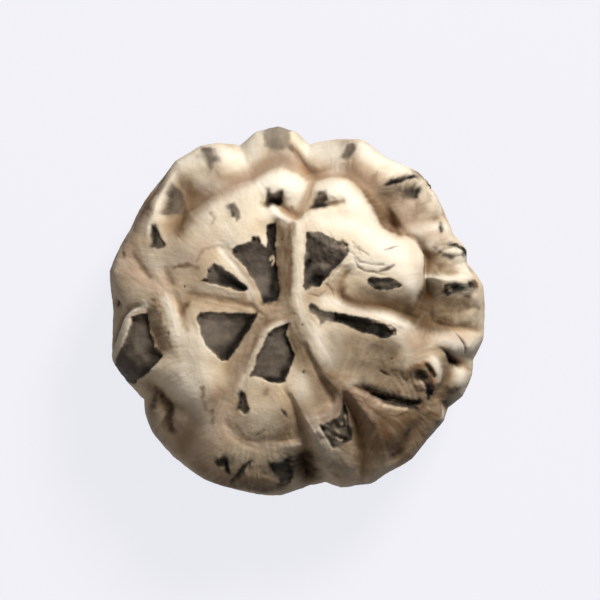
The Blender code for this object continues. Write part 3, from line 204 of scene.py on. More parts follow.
# Folds of the skin with sharp crests and sharp bottoms: corners with the height over the plain dome
SHARP_FOLDS = {
    "spine, left edge": [
        (-0.2, 11.2, 0.8), (-0.5, 9.5, 0.95), (-0.6, 6.0, 1.0), (-0.55, 3.0, 1.0), (-0.2, 0.8, 0.95),
        (0.1, -0.8, 0.95), (0.7, -2.6, 1.05), (1.5, -4.4, 1.15), (2.6, -6.2, 1.25), (3.6, -8.0, 1.3),
        (4.9, -9.5, 1.25)],
    "spine, right edge": [
        (0.6, 11.0, 0.85), (0.7, 9.5, 0.95), (0.8, 6.0, 1.0), (0.65, 3.0, 1.0), (1.2, 0.9, 0.95),
        (1.5, -0.7, 1.0), (2.3, -2.2, 1.1), (3.5, -4.0, 1.15), (4.3, -5.6, 1.2), (5.0, -7.6, 1.25),
        (5.7, -9.2, 1.2)],
    "north band, west foot": [
        (-2.6, 11.0, 0.25), (-2.6, 8.0, 0.15), (-2.55, 5.0, 0.15), (-2.3, 2.6, 0.3), (-2.6, 1.2, 0.4),
        (-4.1, 0.8, 0.45)],
    "hub plate": [(-3.4, 0.1, 0.62), (-1.2, 0.3, 0.72)],
    "hub plate, lower edge": [
        (-0.3, -0.4, 0.75), (-1.6, -0.95, 0.5), (-3.2, -1.4, 0.45), (-4.0, -1.9, 0.45)],
    "south west arm, crest": [
        (-0.6, -0.9, 0.8), (-1.6, -1.25, 0.7), (-3.0, -1.75, 0.7), (-3.9, -2.4, 0.75),
        (-4.7, -3.8, 0.75), (-5.6, -5.8, 0.7), (-6.4, -8.0, 0.65), (-7.0, -9.6, 0.6), (-7.6, -11.6, 0.5),
        (-7.9, -13.4, 0.4)],
    "south west arm, foot": [
        (-5.3, -0.8, 0.3), (-6.0, -2.0, 0.1), (-7.4, -4.3, -0.05), (-8.7, -6.3, 0.0), (-9.3, -8.0, 0.1)],
    "north west arm": [
        (-3.8, -0.3, 0.62), (-4.8, 0.9, 0.72), (-5.7, 2.3, 0.75), (-6.7, 4.1, 0.68), (-8.0, 6.0, 0.6),
        (-9.4, 8.0, 0.5)],
    "west bar, crease": [
        (-4.4, -0.5, 0.42), (-5.8, 0.7, 0.36), (-8.0, 1.3, 0.3), (-11.0, 1.6, 0.26), (-13.4, 1.9, 0.2)],
    "west bar, upper crest": [(-6.2, 1.7, 0.6), (-8.5, 2.1, 0.5), (-11.0, 2.6, 0.45), (-13.4, 3.0, 0.35)],
    "west bar, lower crest": [
        (-5.6, 0.1, 0.45), (-8.5, 0.5, 0.42), (-12.2, 0.6, 0.42), (-13.4, -0.3, 0.5),
        (-13.0, -2.0, 0.65)],
    "south of the hub, east border": [
        (-0.9, -1.6, 0.5), (-1.1, -3.0, 0.35), (-0.3, -5.5, 0.3), (-0.9, -7.0, 0.4), (-1.6, -8.8, 0.45)],
    "foot of the spine": [
        (0.9, -4.2, 0.75), (1.8, -6.2, 0.80), (2.6, -7.8, 0.78), (3.5, -9.3, 0.62), (4.1, -10.4, 0.40),
        (4.2, -11.4, 0.3)],
    "inner lip, west edge": [
        (-17.8, 1.3, 0.4), (-16.9, 0.2, 0.7), (-16.3, -1.4, 0.8), (-15.8, -3.2, 0.75),
        (-15.6, -5.0, 0.6), (-16.0, -6.2, 0.5)],
    "inner lip, east edge": [
        (-16.0, 2.0, 0.5), (-15.2, 0.7, 0.75), (-14.6, -0.6, 0.8), (-14.3, -1.8, 0.8)],
    "behind the inner lip": [
        (-15.2, 2.0, 0.3), (-14.6, 0.6, 0.2), (-14.2, -0.8, 0.35), (-13.7, -2.2, 0.6)],
    "west rim patch, east border": [
        (-18.2, 0.0, 0.1), (-18.2, -1.6, 0.05), (-17.6, -3.4, 0.0), (-16.8, -5.0, 0.05)],
    "outer lip": [
        (-18.3, 0.7, 0.45), (-19.6, 0.1, 0.5), (-20.9, -0.7, 0.55), (-21.4, -2.2, 0.5),
        (-22.2, -4.2, 0.5), (-23.0, -5.8, 0.4)],
    "under the west lobe": [
        (-19.2, 0.5, 0.2), (-20.6, 0.2, 0.0), (-21.6, -0.7, -0.3), (-22.2, -2.2, -0.5),
        (-22.9, -4.0, -0.5)],
    "west lobe, lower edge": [
        (-17.6, 1.9, 0.55), (-19.2, 0.9, 0.6), (-20.5, 0.6, 0.6), (-21.4, 1.4, 0.5), (-22.4, 2.2, 0.3)],
    "west notch": [(-22.0, 1.0, -0.4), (-23.0, 0.9, -0.9), (-24.0, 0.6, -1.2)],
    "west crease": [(-20.1, 7.4, 0.3), (-19.6, 6.0, 0.15), (-18.9, 4.9, 0.15), (-18.0, 4.0, 0.35)],
    "west middle crease": [(-16.3, 5.6, 0.25), (-15.9, 4.6, 0.05), (-15.4, 3.5, 0.15)],
    "north west ridge": [
        (-14.8, 16.9, 0.7), (-15.5, 15.4, 0.9), (-16.2, 13.8, 1.0), (-16.9, 12.0, 1.0),
        (-17.9, 9.8, 0.9), (-18.4, 8.2, 0.6), (-18.6, 6.6, 0.4)],
    "north west ridge, inner foot": [(-14.6, 15.8, -0.3), (-15.6, 13.4, -0.2), (-16.3, 12.2, -0.1)],
    "north west ridge, outer face": [
        (-16.6, 16.2, 0.35), (-17.8, 14.0, 0.45), (-19.0, 12.0, 0.5), (-20.0, 10.0, 0.5)],
    "north crease": [(2.2, 16.6, -1.6), (1.3, 17.9, -1.0), (0.4, 19.1, -0.6), (-0.5, 20.2, -0.3)],
    "north north east lobe, left edge": [
        (2.9, 17.8, 0.1), (1.8, 18.8, 0.4), (0.9, 20.2, 0.5), (0.5, 21.4, 0.4)],
    "between the north puffs": [
        (2.2, 16.5, -1.6), (1.7, 15.5, -0.9), (1.2, 14.2, -0.6), (0.7, 13.0, -0.4), (0.0, 11.7, -0.3)],
    "under the north west puff": [
        (-4.1, 12.9, 0.3), (-3.3, 13.4, -0.1), (-2.3, 13.0, -0.4), (-1.4, 12.2, -0.5),
        (-0.4, 11.6, -0.4), (0.0, 11.6, -0.3)],
    "north knob": [
        (-4.2, 12.3, 0.7), (-3.1, 12.9, 0.85), (-2.3, 11.9, 0.85), (-1.2, 11.3, 0.85),
        (-0.2, 11.1, 0.8)],
    "under the north east puff": [
        (0.0, 11.6, -0.3), (0.9, 12.1, 0.1), (1.9, 12.7, 0.1), (2.8, 13.05, 0.2), (4.2, 13.3, 0.5),
        (6.0, 13.5, 0.85)],
    "north east mass, upper edge": [
        (0.6, 11.4, 0.7), (1.8, 12.1, 0.8), (3.2, 12.5, 0.9), (5.0, 12.6, 1.0)],
    "plateau brink, east": [
        (7.9, 14.6, 0.4), (9.0, 13.1, 0.4), (9.8, 11.5, 0.35), (10.3, 10.3, 0.3), (11.3, 9.6, 0.3),
        (12.4, 9.3, 0.3), (13.6, 9.2, 0.35), (14.6, 8.4, 0.4), (15.4, 7.0, 0.4), (15.6, 5.6, 0.3),
        (15.6, 4.4, 0.2), (15.4, 3.2, 0.1), (14.8, 1.9, 0.0), (14.2, 0.6, -0.4)],
    "north east pocket": [(10.2, 12.9, -1.5), (11.1, 11.8, -1.8), (11.7, 10.9, -1.9), (12.2, 10.3, -1.8)],
    "pocket's east foot": [(11.3, 12.8, -1.3), (12.0, 11.9, -1.5), (12.5, 11.0, -1.6)],
    "pocket's west foot": [(9.2, 14.1, -1.0), (10.4, 11.9, -1.6), (10.8, 10.9, -1.8), (11.9, 10.0, -1.8)],
    "pocket's ridge": [
        (11.7, 13.0, -0.7), (12.3, 12.2, -0.7), (12.8, 11.3, -0.7), (13.0, 10.6, -0.8),
        (13.4, 10.0, -0.9)],
    "ring valley, east": [
        (13.4, 9.8, -0.6), (14.4, 9.2, -0.9), (15.4, 8.3, -1.1), (16.2, 7.0, -1.3), (16.2, 5.6, -1.5),
        (16.1, 4.5, -1.2), (16.4, 3.0, -1.7), (16.3, 1.4, -2.1), (15.9, 0.0, -2.3), (15.2, -1.1, -2.0)],
    "ring valley, east, outer foot": [
        (17.2, 3.1, -1.5), (17.1, 1.5, -1.9), (16.9, 0.0, -2.2), (17.2, -1.0, -2.1)],
    "plateau's east foot": [(15.9, 3.0, -1.3), (15.5, 1.6, -1.6), (14.9, 0.3, -1.8)],
    "crease under the north east lobe": [
        (13.6, 10.2, -0.2), (15.0, 10.7, 0.1), (16.8, 11.2, 0.2), (18.6, 12.0, -0.1),
        (20.6, 13.2, -0.5)],
    "north east rim, crest over the streak": [
        (9.6, 17.2, 0.7), (12.0, 17.0, 0.8), (14.2, 17.0, 0.8), (15.6, 16.4, 0.7)],
    "east north east lobe, west shoulder": [(17.2, 7.6, 0.4), (17.6, 6.2, -0.1), (17.9, 5.0, -0.1)],
    "east saddle": [
        (15.8, 4.3, -0.5), (17.0, 4.2, 0.1), (18.6, 4.0, 0.6), (20.4, 4.2, 0.8), (21.6, 4.4, 0.5)],
    "east lobe, west shoulder": [
        (18.0, 3.7, 0.2), (18.2, 2.4, -0.4), (18.6, 1.0, -0.7), (18.9, -0.1, -0.8), (19.8, -0.5, -0.4)],
    "under the east lobe": [(19.0, -0.3, -0.6), (20.6, 0.0, -0.1), (22.4, 0.2, -0.2), (24.0, 0.2, -0.4)],
    "above the east lobe": [(18.6, 4.6, -0.1), (20.4, 4.9, 0.1), (22.6, 5.2, -0.2)],
    "valley under the snout": [
        (4.6, 2.0, 0.6), (5.4, 1.5, 0.35), (7.0, 1.1, 0.1), (9.0, 0.8, -0.1), (11.0, 0.4, -0.5),
        (13.0, -0.4, -1.0), (14.4, -1.0, -1.6), (15.2, -1.1, -2.0), (16.6, -1.8, -1.9),
        (18.4, -1.9, -1.7), (20.0, -2.1, -1.2), (21.6, -2.2, -0.7), (23.6, -2.4, -0.6)],
    "round the snout's tip": [(6.2, 4.8, 0.7), (5.3, 3.7, 0.25), (5.0, 2.6, 0.0), (5.4, 1.6, -0.05)],
    "snout's tip": [
        (6.8, 4.1, 0.95), (6.1, 3.4, 0.9), (5.8, 2.6, 0.85), (6.2, 2.0, 0.75), (7.2, 1.7, 0.65)],
    "slot, upper lip": [
        (2.4, 1.3, 0.85), (5.0, 0.7, 0.75), (8.0, -0.1, 0.85), (10.5, -0.7, 0.9), (12.7, -1.5, 0.85),
        (14.3, -2.1, 0.4), (15.4, -2.4, -0.3)],
    "slot, lower lip": [
        (2.9, -2.1, 0.95), (4.4, -1.6, 0.85), (6.4, -2.1, 0.85), (9.0, -3.1, 0.85), (10.8, -3.7, 0.8),
        (12.6, -3.1, 0.8)],
    "south east rim, upper edge": [
        (15.4, -2.4, -0.3), (16.6, -2.6, 0.2), (18.4, -2.6, 0.4), (19.8, -2.9, 0.3)],
    "east cleft": [
        (16.8, -4.5, 0.3), (18.3, -5.0, -0.2), (19.2, -5.9, -0.9), (20.2, -6.8, -1.2),
        (21.4, -7.2, -1.0), (23.4, -7.8, -0.8)],
    "curl beside the round pit": [
        (16.0, -5.6, 0.7), (17.0, -6.3, 0.9), (17.5, -7.5, 0.9), (17.2, -8.8, 0.6), (16.9, -9.8, 0.3)],
    "round pit, rim": [(13.7, -7.9, 0.7), (14.2, -6.9, 0.95), (15.2, -6.6, 0.95), (15.7, -7.3, 0.8)],
    "cheek, upper edge": [(17.0, -11.2, 0.0), (18.0, -12.2, 0.4), (18.1, -13.4, 0.2)],
    "brow": [
        (5.9, -9.2, 1.15), (6.9, -8.6, 1.05), (8.2, -9.0, 0.75), (10.0, -9.7, 0.5), (12.4, -10.3, 0.4),
        (14.8, -10.9, 0.25)],
    "under the brow": [
        (7.2, -9.4, 0.5), (9.0, -10.1, 0.0), (11.0, -10.8, -0.3), (13.0, -11.3, -0.35),
        (14.9, -11.6, -0.3)],
    "brow, lower lip": [
        (6.6, -9.8, 1.0), (8.6, -10.7, 0.75), (10.6, -11.6, 0.6), (12.6, -12.3, 0.45),
        (15.0, -12.5, 0.3)],
    "left of the south fold": [
        (-1.6, -9.6, 0.5), (-0.8, -10.8, 0.3), (0.0, -12.3, 0.0), (0.8, -13.8, -0.4), (1.6, -15.6, -0.6),
        (1.3, -17.0, -1.2), (1.0, -19.0, -2.2), (1.3, -21.5, -2.2), (1.6, -25.0, -1.2)],
    "south fold, left edge": [
        (-0.9, -9.9, 0.7), (-0.2, -11.2, 0.65), (0.5, -12.6, 0.65), (1.1, -13.5, 0.7)],
    "south spur": [
        (1.1, -13.5, 0.7), (2.4, -13.1, 0.8), (3.8, -12.8, 0.8), (4.6, -11.9, 0.9), (5.0, -10.9, 1.0),
        (5.5, -9.6, 1.2)],
    "south spur, tail": [
        (1.1, -13.5, 0.7), (2.0, -14.9, 0.55), (2.8, -16.6, 0.4), (3.6, -18.6, 0.2), (4.6, -20.6, -0.1),
        (5.6, -23.5, -0.3)],
    "south spur, right foot": [
        (5.7, -10.2, 0.5), (6.4, -11.2, 0.0), (7.3, -12.9, -0.4), (7.8, -15.0, -0.7), (8.2, -17.4, -0.9),
        (8.1, -20.0, -0.8), (8.0, -23.0, -0.7)],
    "south east spur": [
        (6.4, -9.9, 1.0), (7.8, -11.4, 0.9), (8.9, -13.2, 0.75), (9.8, -15.0, 0.5), (10.6, -16.8, 0.2),
        (11.4, -19.0, -0.1)],
    "south field, lower edge": [
        (-7.6, -14.6, 0.25), (-6.4, -15.6, 0.15), (-4.4, -16.0, 0.1), (-1.8, -16.1, -0.1),
        (0.4, -15.6, -0.4)],
    "south arc": [
        (-8.6, -13.6, 0.3), (-8.0, -15.4, 0.22), (-6.8, -16.2, 0.16), (-4.6, -16.7, 0.12),
        (-1.8, -16.8, 0.08), (0.3, -16.6, -0.2)],
    "south west ring": [
        (-17.7, -9.6, -0.1), (-17.0, -10.8, -0.4), (-16.0, -11.6, -0.6), (-15.7, -12.8, -0.6),
        (-16.1, -14.0, -0.6), (-15.6, -15.2, -0.6)],
}

# Folds with round crests and round bottoms
SOFT_FOLDS = {
    "west lobe": [(-20.6, 3.2, 0.7), (-20.9, 5.4, 0.6), (-20.4, 7.4, 0.45)],
    "west field": [(-17.6, 6.4, 0.45), (-14.4, 6.6, 0.4), (-13.4, 4.2, 0.4)],
    "south west bulge": [
        (-13.4, -3.0, 0.8), (-13.6, -5.0, 0.95), (-13.0, -7.6, 0.9), (-12.0, -9.8, 0.72)],
    "south west bulge, west side": [(-15.2, -6.2, 0.72), (-15.4, -8.0, 0.68), (-14.9, -9.8, 0.62)],
    "south west bulge, east side": [(-10.7, -6.8, 0.65), (-9.9, -8.6, 0.5)],
    "south west terrace": [(-11.2, -11.8, 0.6), (-10.8, -13.6, 0.45), (-11.4, -15.4, 0.3)],
    "north west field": [(-12.4, 9.4, 0.5), (-10.4, 10.8, 0.6), (-8.4, 11.8, 0.7)],
    "plateau brink, north west": [
        (-14.6, 8.6, 0.25), (-13.4, 10.9, 0.3), (-11.6, 12.8, 0.4), (-9.6, 13.9, 0.5), (-7.6, 14.8, 0.6),
        (-5.9, 15.9, 0.6)],
    "ring valley, north west": [
        (-15.4, 9.6, -0.3), (-14.7, 11.4, -1.0), (-13.6, 13.4, -1.5), (-12.0, 14.4, -1.4),
        (-9.8, 15.2, -1.1), (-7.6, 16.2, -1.0), (-5.8, 17.1, -0.9), (-3.6, 18.1, -0.8),
        (-1.2, 18.2, -0.8), (0.8, 17.5, -1.1), (2.2, 16.6, -1.6)],
    "ring valley, north east": [
        (2.2, 16.6, -1.6), (3.6, 17.2, -1.2), (5.2, 17.3, -1.0), (6.8, 16.7, -1.0), (8.2, 15.6, -1.1),
        (9.4, 14.2, -1.3), (10.4, 12.9, -1.7)],
    "north west lobe": [(-14.2, 17.8, 0.7), (-12.2, 18.2, 0.7), (-9.4, 18.6, 0.7), (-7.4, 19.4, 0.6)],
    "beside the north rim lobe": [(-6.4, 17.6, -0.4), (-7.4, 20.0, 0.0), (-8.6, 23.0, -0.5)],
    "north rim lobe": [(-4.8, 20.6, 0.8), (-2.4, 21.4, 0.9), (-0.6, 21.2, 0.8)],
    "north notch": [(1.2, 21.2, -0.2), (1.6, 23.5, -0.9)],
    "north north east lobe": [
        (2.6, 19.0, 0.6), (4.2, 19.6, 0.9), (6.4, 20.6, 0.8), (8.8, 19.4, 0.9), (10.6, 18.4, 0.9)],
    "north west puff": [
        (-4.8, 14.8, 0.8), (-3.4, 16.4, 1.0), (-1.6, 16.7, 1.1), (0.0, 15.6, 1.0), (-0.6, 13.9, 0.95)],
    "north east puff": [(2.9, 15.6, 0.9), (4.6, 16.0, 1.1), (6.6, 14.8, 1.1), (7.6, 13.4, 0.9)],
    "north east mass": [
        (4.4, 11.0, 1.0), (7.4, 10.6, 1.1), (9.6, 9.4, 1.05), (12.0, 8.6, 0.9), (13.6, 7.4, 0.8)],
    "east north east lobe, upper": [
        (14.4, 10.2, 0.4), (16.2, 10.3, 0.8), (18.2, 10.6, 0.9), (19.0, 9.4, 0.8)],
    "north east lobe": [(14.6, 12.6, 0.7), (16.2, 13.6, 1.0), (17.4, 12.8, 0.9)],
    "north east grey slope": [(10.0, 15.0, -0.4), (12.4, 14.2, -0.2), (14.0, 14.0, 0.3)],
    "east north east lobe": [(19.2, 5.8, 0.8), (20.4, 5.4, 0.8)],
    "east lobe": [(19.6, 1.2, 0.3), (21.2, 1.6, 0.6), (22.4, 1.4, 0.5)],
    "east lobe, lower": [(20.4, -0.9, 0.4), (22.2, -0.8, 0.5)],
    "snout": [(6.8, 3.0, 0.95), (8.4, 4.6, 0.95), (11.0, 4.9, 1.0), (13.2, 4.6, 1.0), (14.6, 4.0, 0.8)],
    "snout, lower side": [(7.4, 1.9, 0.5), (9.6, 1.9, 0.5), (12.0, 2.0, 0.3), (13.4, 1.3, 0.1)],
    "between hub and snout": [(2.2, 2.2, 0.85), (3.8, 2.0, 0.75), (4.4, 3.6, 0.8)],
    "south east mass": [
        (5.2, -3.2, 0.95), (8.0, -4.6, 0.75), (10.6, -5.6, 0.6), (13.0, -5.6, 0.55), (14.6, -4.6, 0.5)],
    "south east mass, lower": [(6.2, -6.8, 0.9), (8.6, -7.4, 0.5), (11.0, -7.9, 0.25), (13.2, -8.8, 0.2)],
    "bright fold at the east rim": [
        (16.6, -3.4, 0.6), (18.0, -4.0, 0.8), (19.4, -4.1, 0.7), (20.4, -4.9, 0.5)],
    "east rim below the valley": [(21.4, -3.6, 0.7), (21.9, -4.8, 0.6)],
    "shade right of the curl": [
        (18.4, -6.2, -0.4), (18.6, -7.6, -0.7), (18.2, -9.4, -0.9), (17.8, -10.6, -0.8)],
    "south east rim lobe": [(20.2, -8.0, 0.6), (20.9, -8.8, 0.5), (19.9, -9.2, 0.2)],
    "south east rim, notch": [(18.4, -11.2, -1.0), (20.4, -13.0, -1.2)],
    "south east cheek": [(14.6, -12.6, 0.55), (12.8, -14.0, 0.5), (11.3, -16.4, 0.4)],
    "south east valley": [
        (16.2, -12.4, 0.0), (15.0, -14.0, -0.15), (13.2, -16.2, -0.4), (12.0, -18.4, -0.9)],
    "south east outer ridge": [(17.8, -13.0, 0.5), (15.9, -15.6, 0.45), (14.0, -17.6, 0.4)],
    "north east slope": [(8.2, 16.9, -0.7), (9.8, 15.6, -0.9), (11.2, 14.2, -0.9)],
    "south fold": [(0.2, -7.6, 0.6), (0.6, -9.6, 0.8), (1.4, -11.4, 0.85), (2.6, -11.8, 0.7)],
    "beside the square patch": [(6.2, -17.8, 0.3), (5.4, -18.4, 0.4), (6.2, -19.8, 0.2)],
    "south field": [(-4.4, -9.9, 0.65), (-4.2, -12.4, 0.8), (-2.6, -14.0, 0.5), (-6.4, -13.8, 0.5)],
    "south rim": [(-5.4, -18.6, 0.4), (-3.6, -21.4, 0.3), (-6.4, -21.6, 0.3)],
    "south south west rim": [(-10.4, -16.6, 0.3), (-11.6, -18.4, 0.3), (-9.4, -20.6, 0.3)],
    "south west valley": [
        (-14.6, -11.2, 0.25), (-13.0, -12.8, -0.15), (-13.0, -14.6, -0.45), (-14.2, -16.8, -0.65),
        (-15.4, -19.5, -0.8)],
    "south west lump": [(-17.4, -12.6, 0.3), (-17.2, -13.4, 0.2)],
    "south west lump, east": [(-14.8, -13.4, 0.2), (-14.6, -14.4, 0.1)],
    "south west notch": [(-17.0, -8.8, 0.1), (-18.8, -10.2, -0.5), (-20.6, -11.8, -0.9)],
}

# Puffed places: middle, half length and half width, turn in degrees, extra swell in 1 over mm
PUFFS = [
    (-2.4, 15.4, 4.4, 2.6, -8, 0.35), (5.4, 14.8, 4.2, 2.2, -24, 0.35), (8.6, 9.6, 6.0, 3.0, -25, 0.10),
    (10.6, 3.8, 5.2, 2.0, -4, 0.30), (8.8, -5.6, 5.4, 2.6, -24, 0.15), (-20.2, 4.6, 2.6, 3.6, 0, 0.2),
    (-12.6, -6.4, 2.6, 4.0, 14, 0.15), (-4.0, -12.2, 3.6, 3.2, 0, 0.12), (15.6, 12.4, 2.4, 2.0, -40, 0.3),
    (-2.4, 21.4, 3.6, 2.2, 0, 0.3), (6.4, 19.6, 4.0, 2.0, -14, 0.3), (20.2, 5.6, 2.0, 1.4, 0, 0.3),
]

# Thin cuts in the flesh, painted dark inside as shade: corners with the depth and half width there
CUTS = {
    "tear, long": [
        (6.7, 7.2, 0.10, 0.08), (7.6, 6.0, 0.22, 0.10), (9.2, 5.75, 0.12, 0.08), (10.6, 5.8, 0.2, 0.10)],
    "tear, upper": [(6.8, 8.6, 0.08, 0.07), (7.6, 7.4, 0.16, 0.09), (8.8, 6.7, 0.1, 0.08)],
    "tear, lower": [
        (6.9, 6.6, 0.10, 0.08), (7.4, 5.4, 0.22, 0.11), (8.4, 4.9, 0.16, 0.09), (9.6, 4.9, 0.24, 0.12),
        (11.2, 4.5, 0.1, 0.08)],
    "tear, by the hub": [(1.4, 2.2, 0.08, 0.08), (2.6, 1.7, 0.16, 0.09), (3.4, 2.4, 0.08, 0.07)],
    "tear, by the triangle": [(3.6, 3.4, 0.1, 0.08), (4.2, 2.6, 0.18, 0.09), (4.4, 1.8, 0.08, 0.07)],
    "snout, above": [(10.3, 5.0, 0.2, 0.10), (11.2, 5.2, 0.35, 0.20), (11.9, 5.6, 0.2, 0.12)],
    "north east mass": [(10.6, 7.5, 0.12, 0.08), (11.6, 7.8, 0.25, 0.10), (12.6, 8.1, 0.12, 0.08)],
    "east rim": [(19.9, -2.8, 0.2, 0.10), (20.5, -4.0, 0.35, 0.13), (20.9, -5.4, 0.2, 0.10)],
    "east cleft": [
        (17.4, -4.6, 0.1, 0.12), (18.6, -5.1, 0.3, 0.24), (19.5, -6.2, 0.4, 0.50),
        (20.4, -6.8, 0.3, 0.35), (21.0, -7.0, 0.2, 0.15)],
    "beside the round pit": [(15.7, -6.5, 0.3, 0.18), (16.1, -7.1, 0.5, 0.26), (16.6, -7.8, 0.3, 0.16)],
    "below the pit": [(15.9, -9.0, 0.3, 0.25), (16.4, -9.9, 0.5, 0.42), (16.2, -10.7, 0.3, 0.25)],
    "south east mass": [(10.2, -7.3, 0.15, 0.10), (10.8, -7.6, 0.25, 0.16), (11.4, -7.9, 0.15, 0.10)],
    "south field": [(-1.9, -12.2, 0.15, 0.10), (-1.5, -12.6, 0.3, 0.18), (-1.2, -13.1, 0.15, 0.10)],
    "south south west": [(-7.8, -20.5, 0.2, 0.14), (-6.5, -19.0, 0.35, 0.22), (-5.5, -18.3, 0.2, 0.14)],
    "south arc": [(-5.2, -15.5, 0.1, 0.08), (-4.6, -15.1, 0.15, 0.10), (-4.0, -14.7, 0.1, 0.06)],
    "north east rim, long": [(11.1, 15.7, 0.2, 0.20), (12.5, 15.95, 0.45, 0.26), (14.2, 16.3, 0.2, 0.14)],
    "north east rim, short": [(15.4, 15.5, 0.2, 0.12), (16.2, 14.8, 0.35, 0.24), (17.0, 15.0, 0.3, 0.2)],
    "north east patch": [(5.6, 8.7, 0.25, 0.12), (6.2, 8.1, 0.3, 0.16)],
    "lens, upper edge": [
        (18.2, 8.05, 0.15, 0.12), (19.2, 7.8, 0.25, 0.16), (20.1, 7.2, 0.3, 0.2), (20.6, 6.9, 0.2, 0.2)],
    "lens, lower edge": [(17.9, 6.9, 0.1, 0.10), (18.8, 6.6, 0.2, 0.16), (20.0, 6.6, 0.1, 0.10)],
    "square patch, left crack": [
        (2.9, -14.2, 0.2, 0.12), (3.7, -15.6, 0.3, 0.15), (4.5, -16.8, 0.2, 0.12)],
    "square patch, middle": [(4.4, -13.6, 0.15, 0.12), (5.0, -14.2, 0.25, 0.18), (5.7, -14.2, 0.2, 0.15)],
    "square patch, right": [(6.5, -14.4, 0.2, 0.14), (6.7, -15.6, 0.25, 0.16)],
    "square patch, lower": [(4.2, -15.0, 0.1, 0.10), (5.4, -15.8, 0.25, 0.18), (6.2, -16.2, 0.15, 0.14)],
    "square patch, top": [(5.6, -10.7, 0.1, 0.08), (5.9, -12.2, 0.3, 0.16), (6.0, -13.8, 0.2, 0.18)],
    "under the north east puff": [
        (1.9, 12.7, 0.15, 0.16), (3.3, 13.1, 0.2, 0.16), (4.6, 13.45, 0.1, 0.08)],
    "west end of the wedge": [(-12.1, 3.7, 0.05, 0.06), (-11.2, 3.75, 0.1, 0.12)],
}
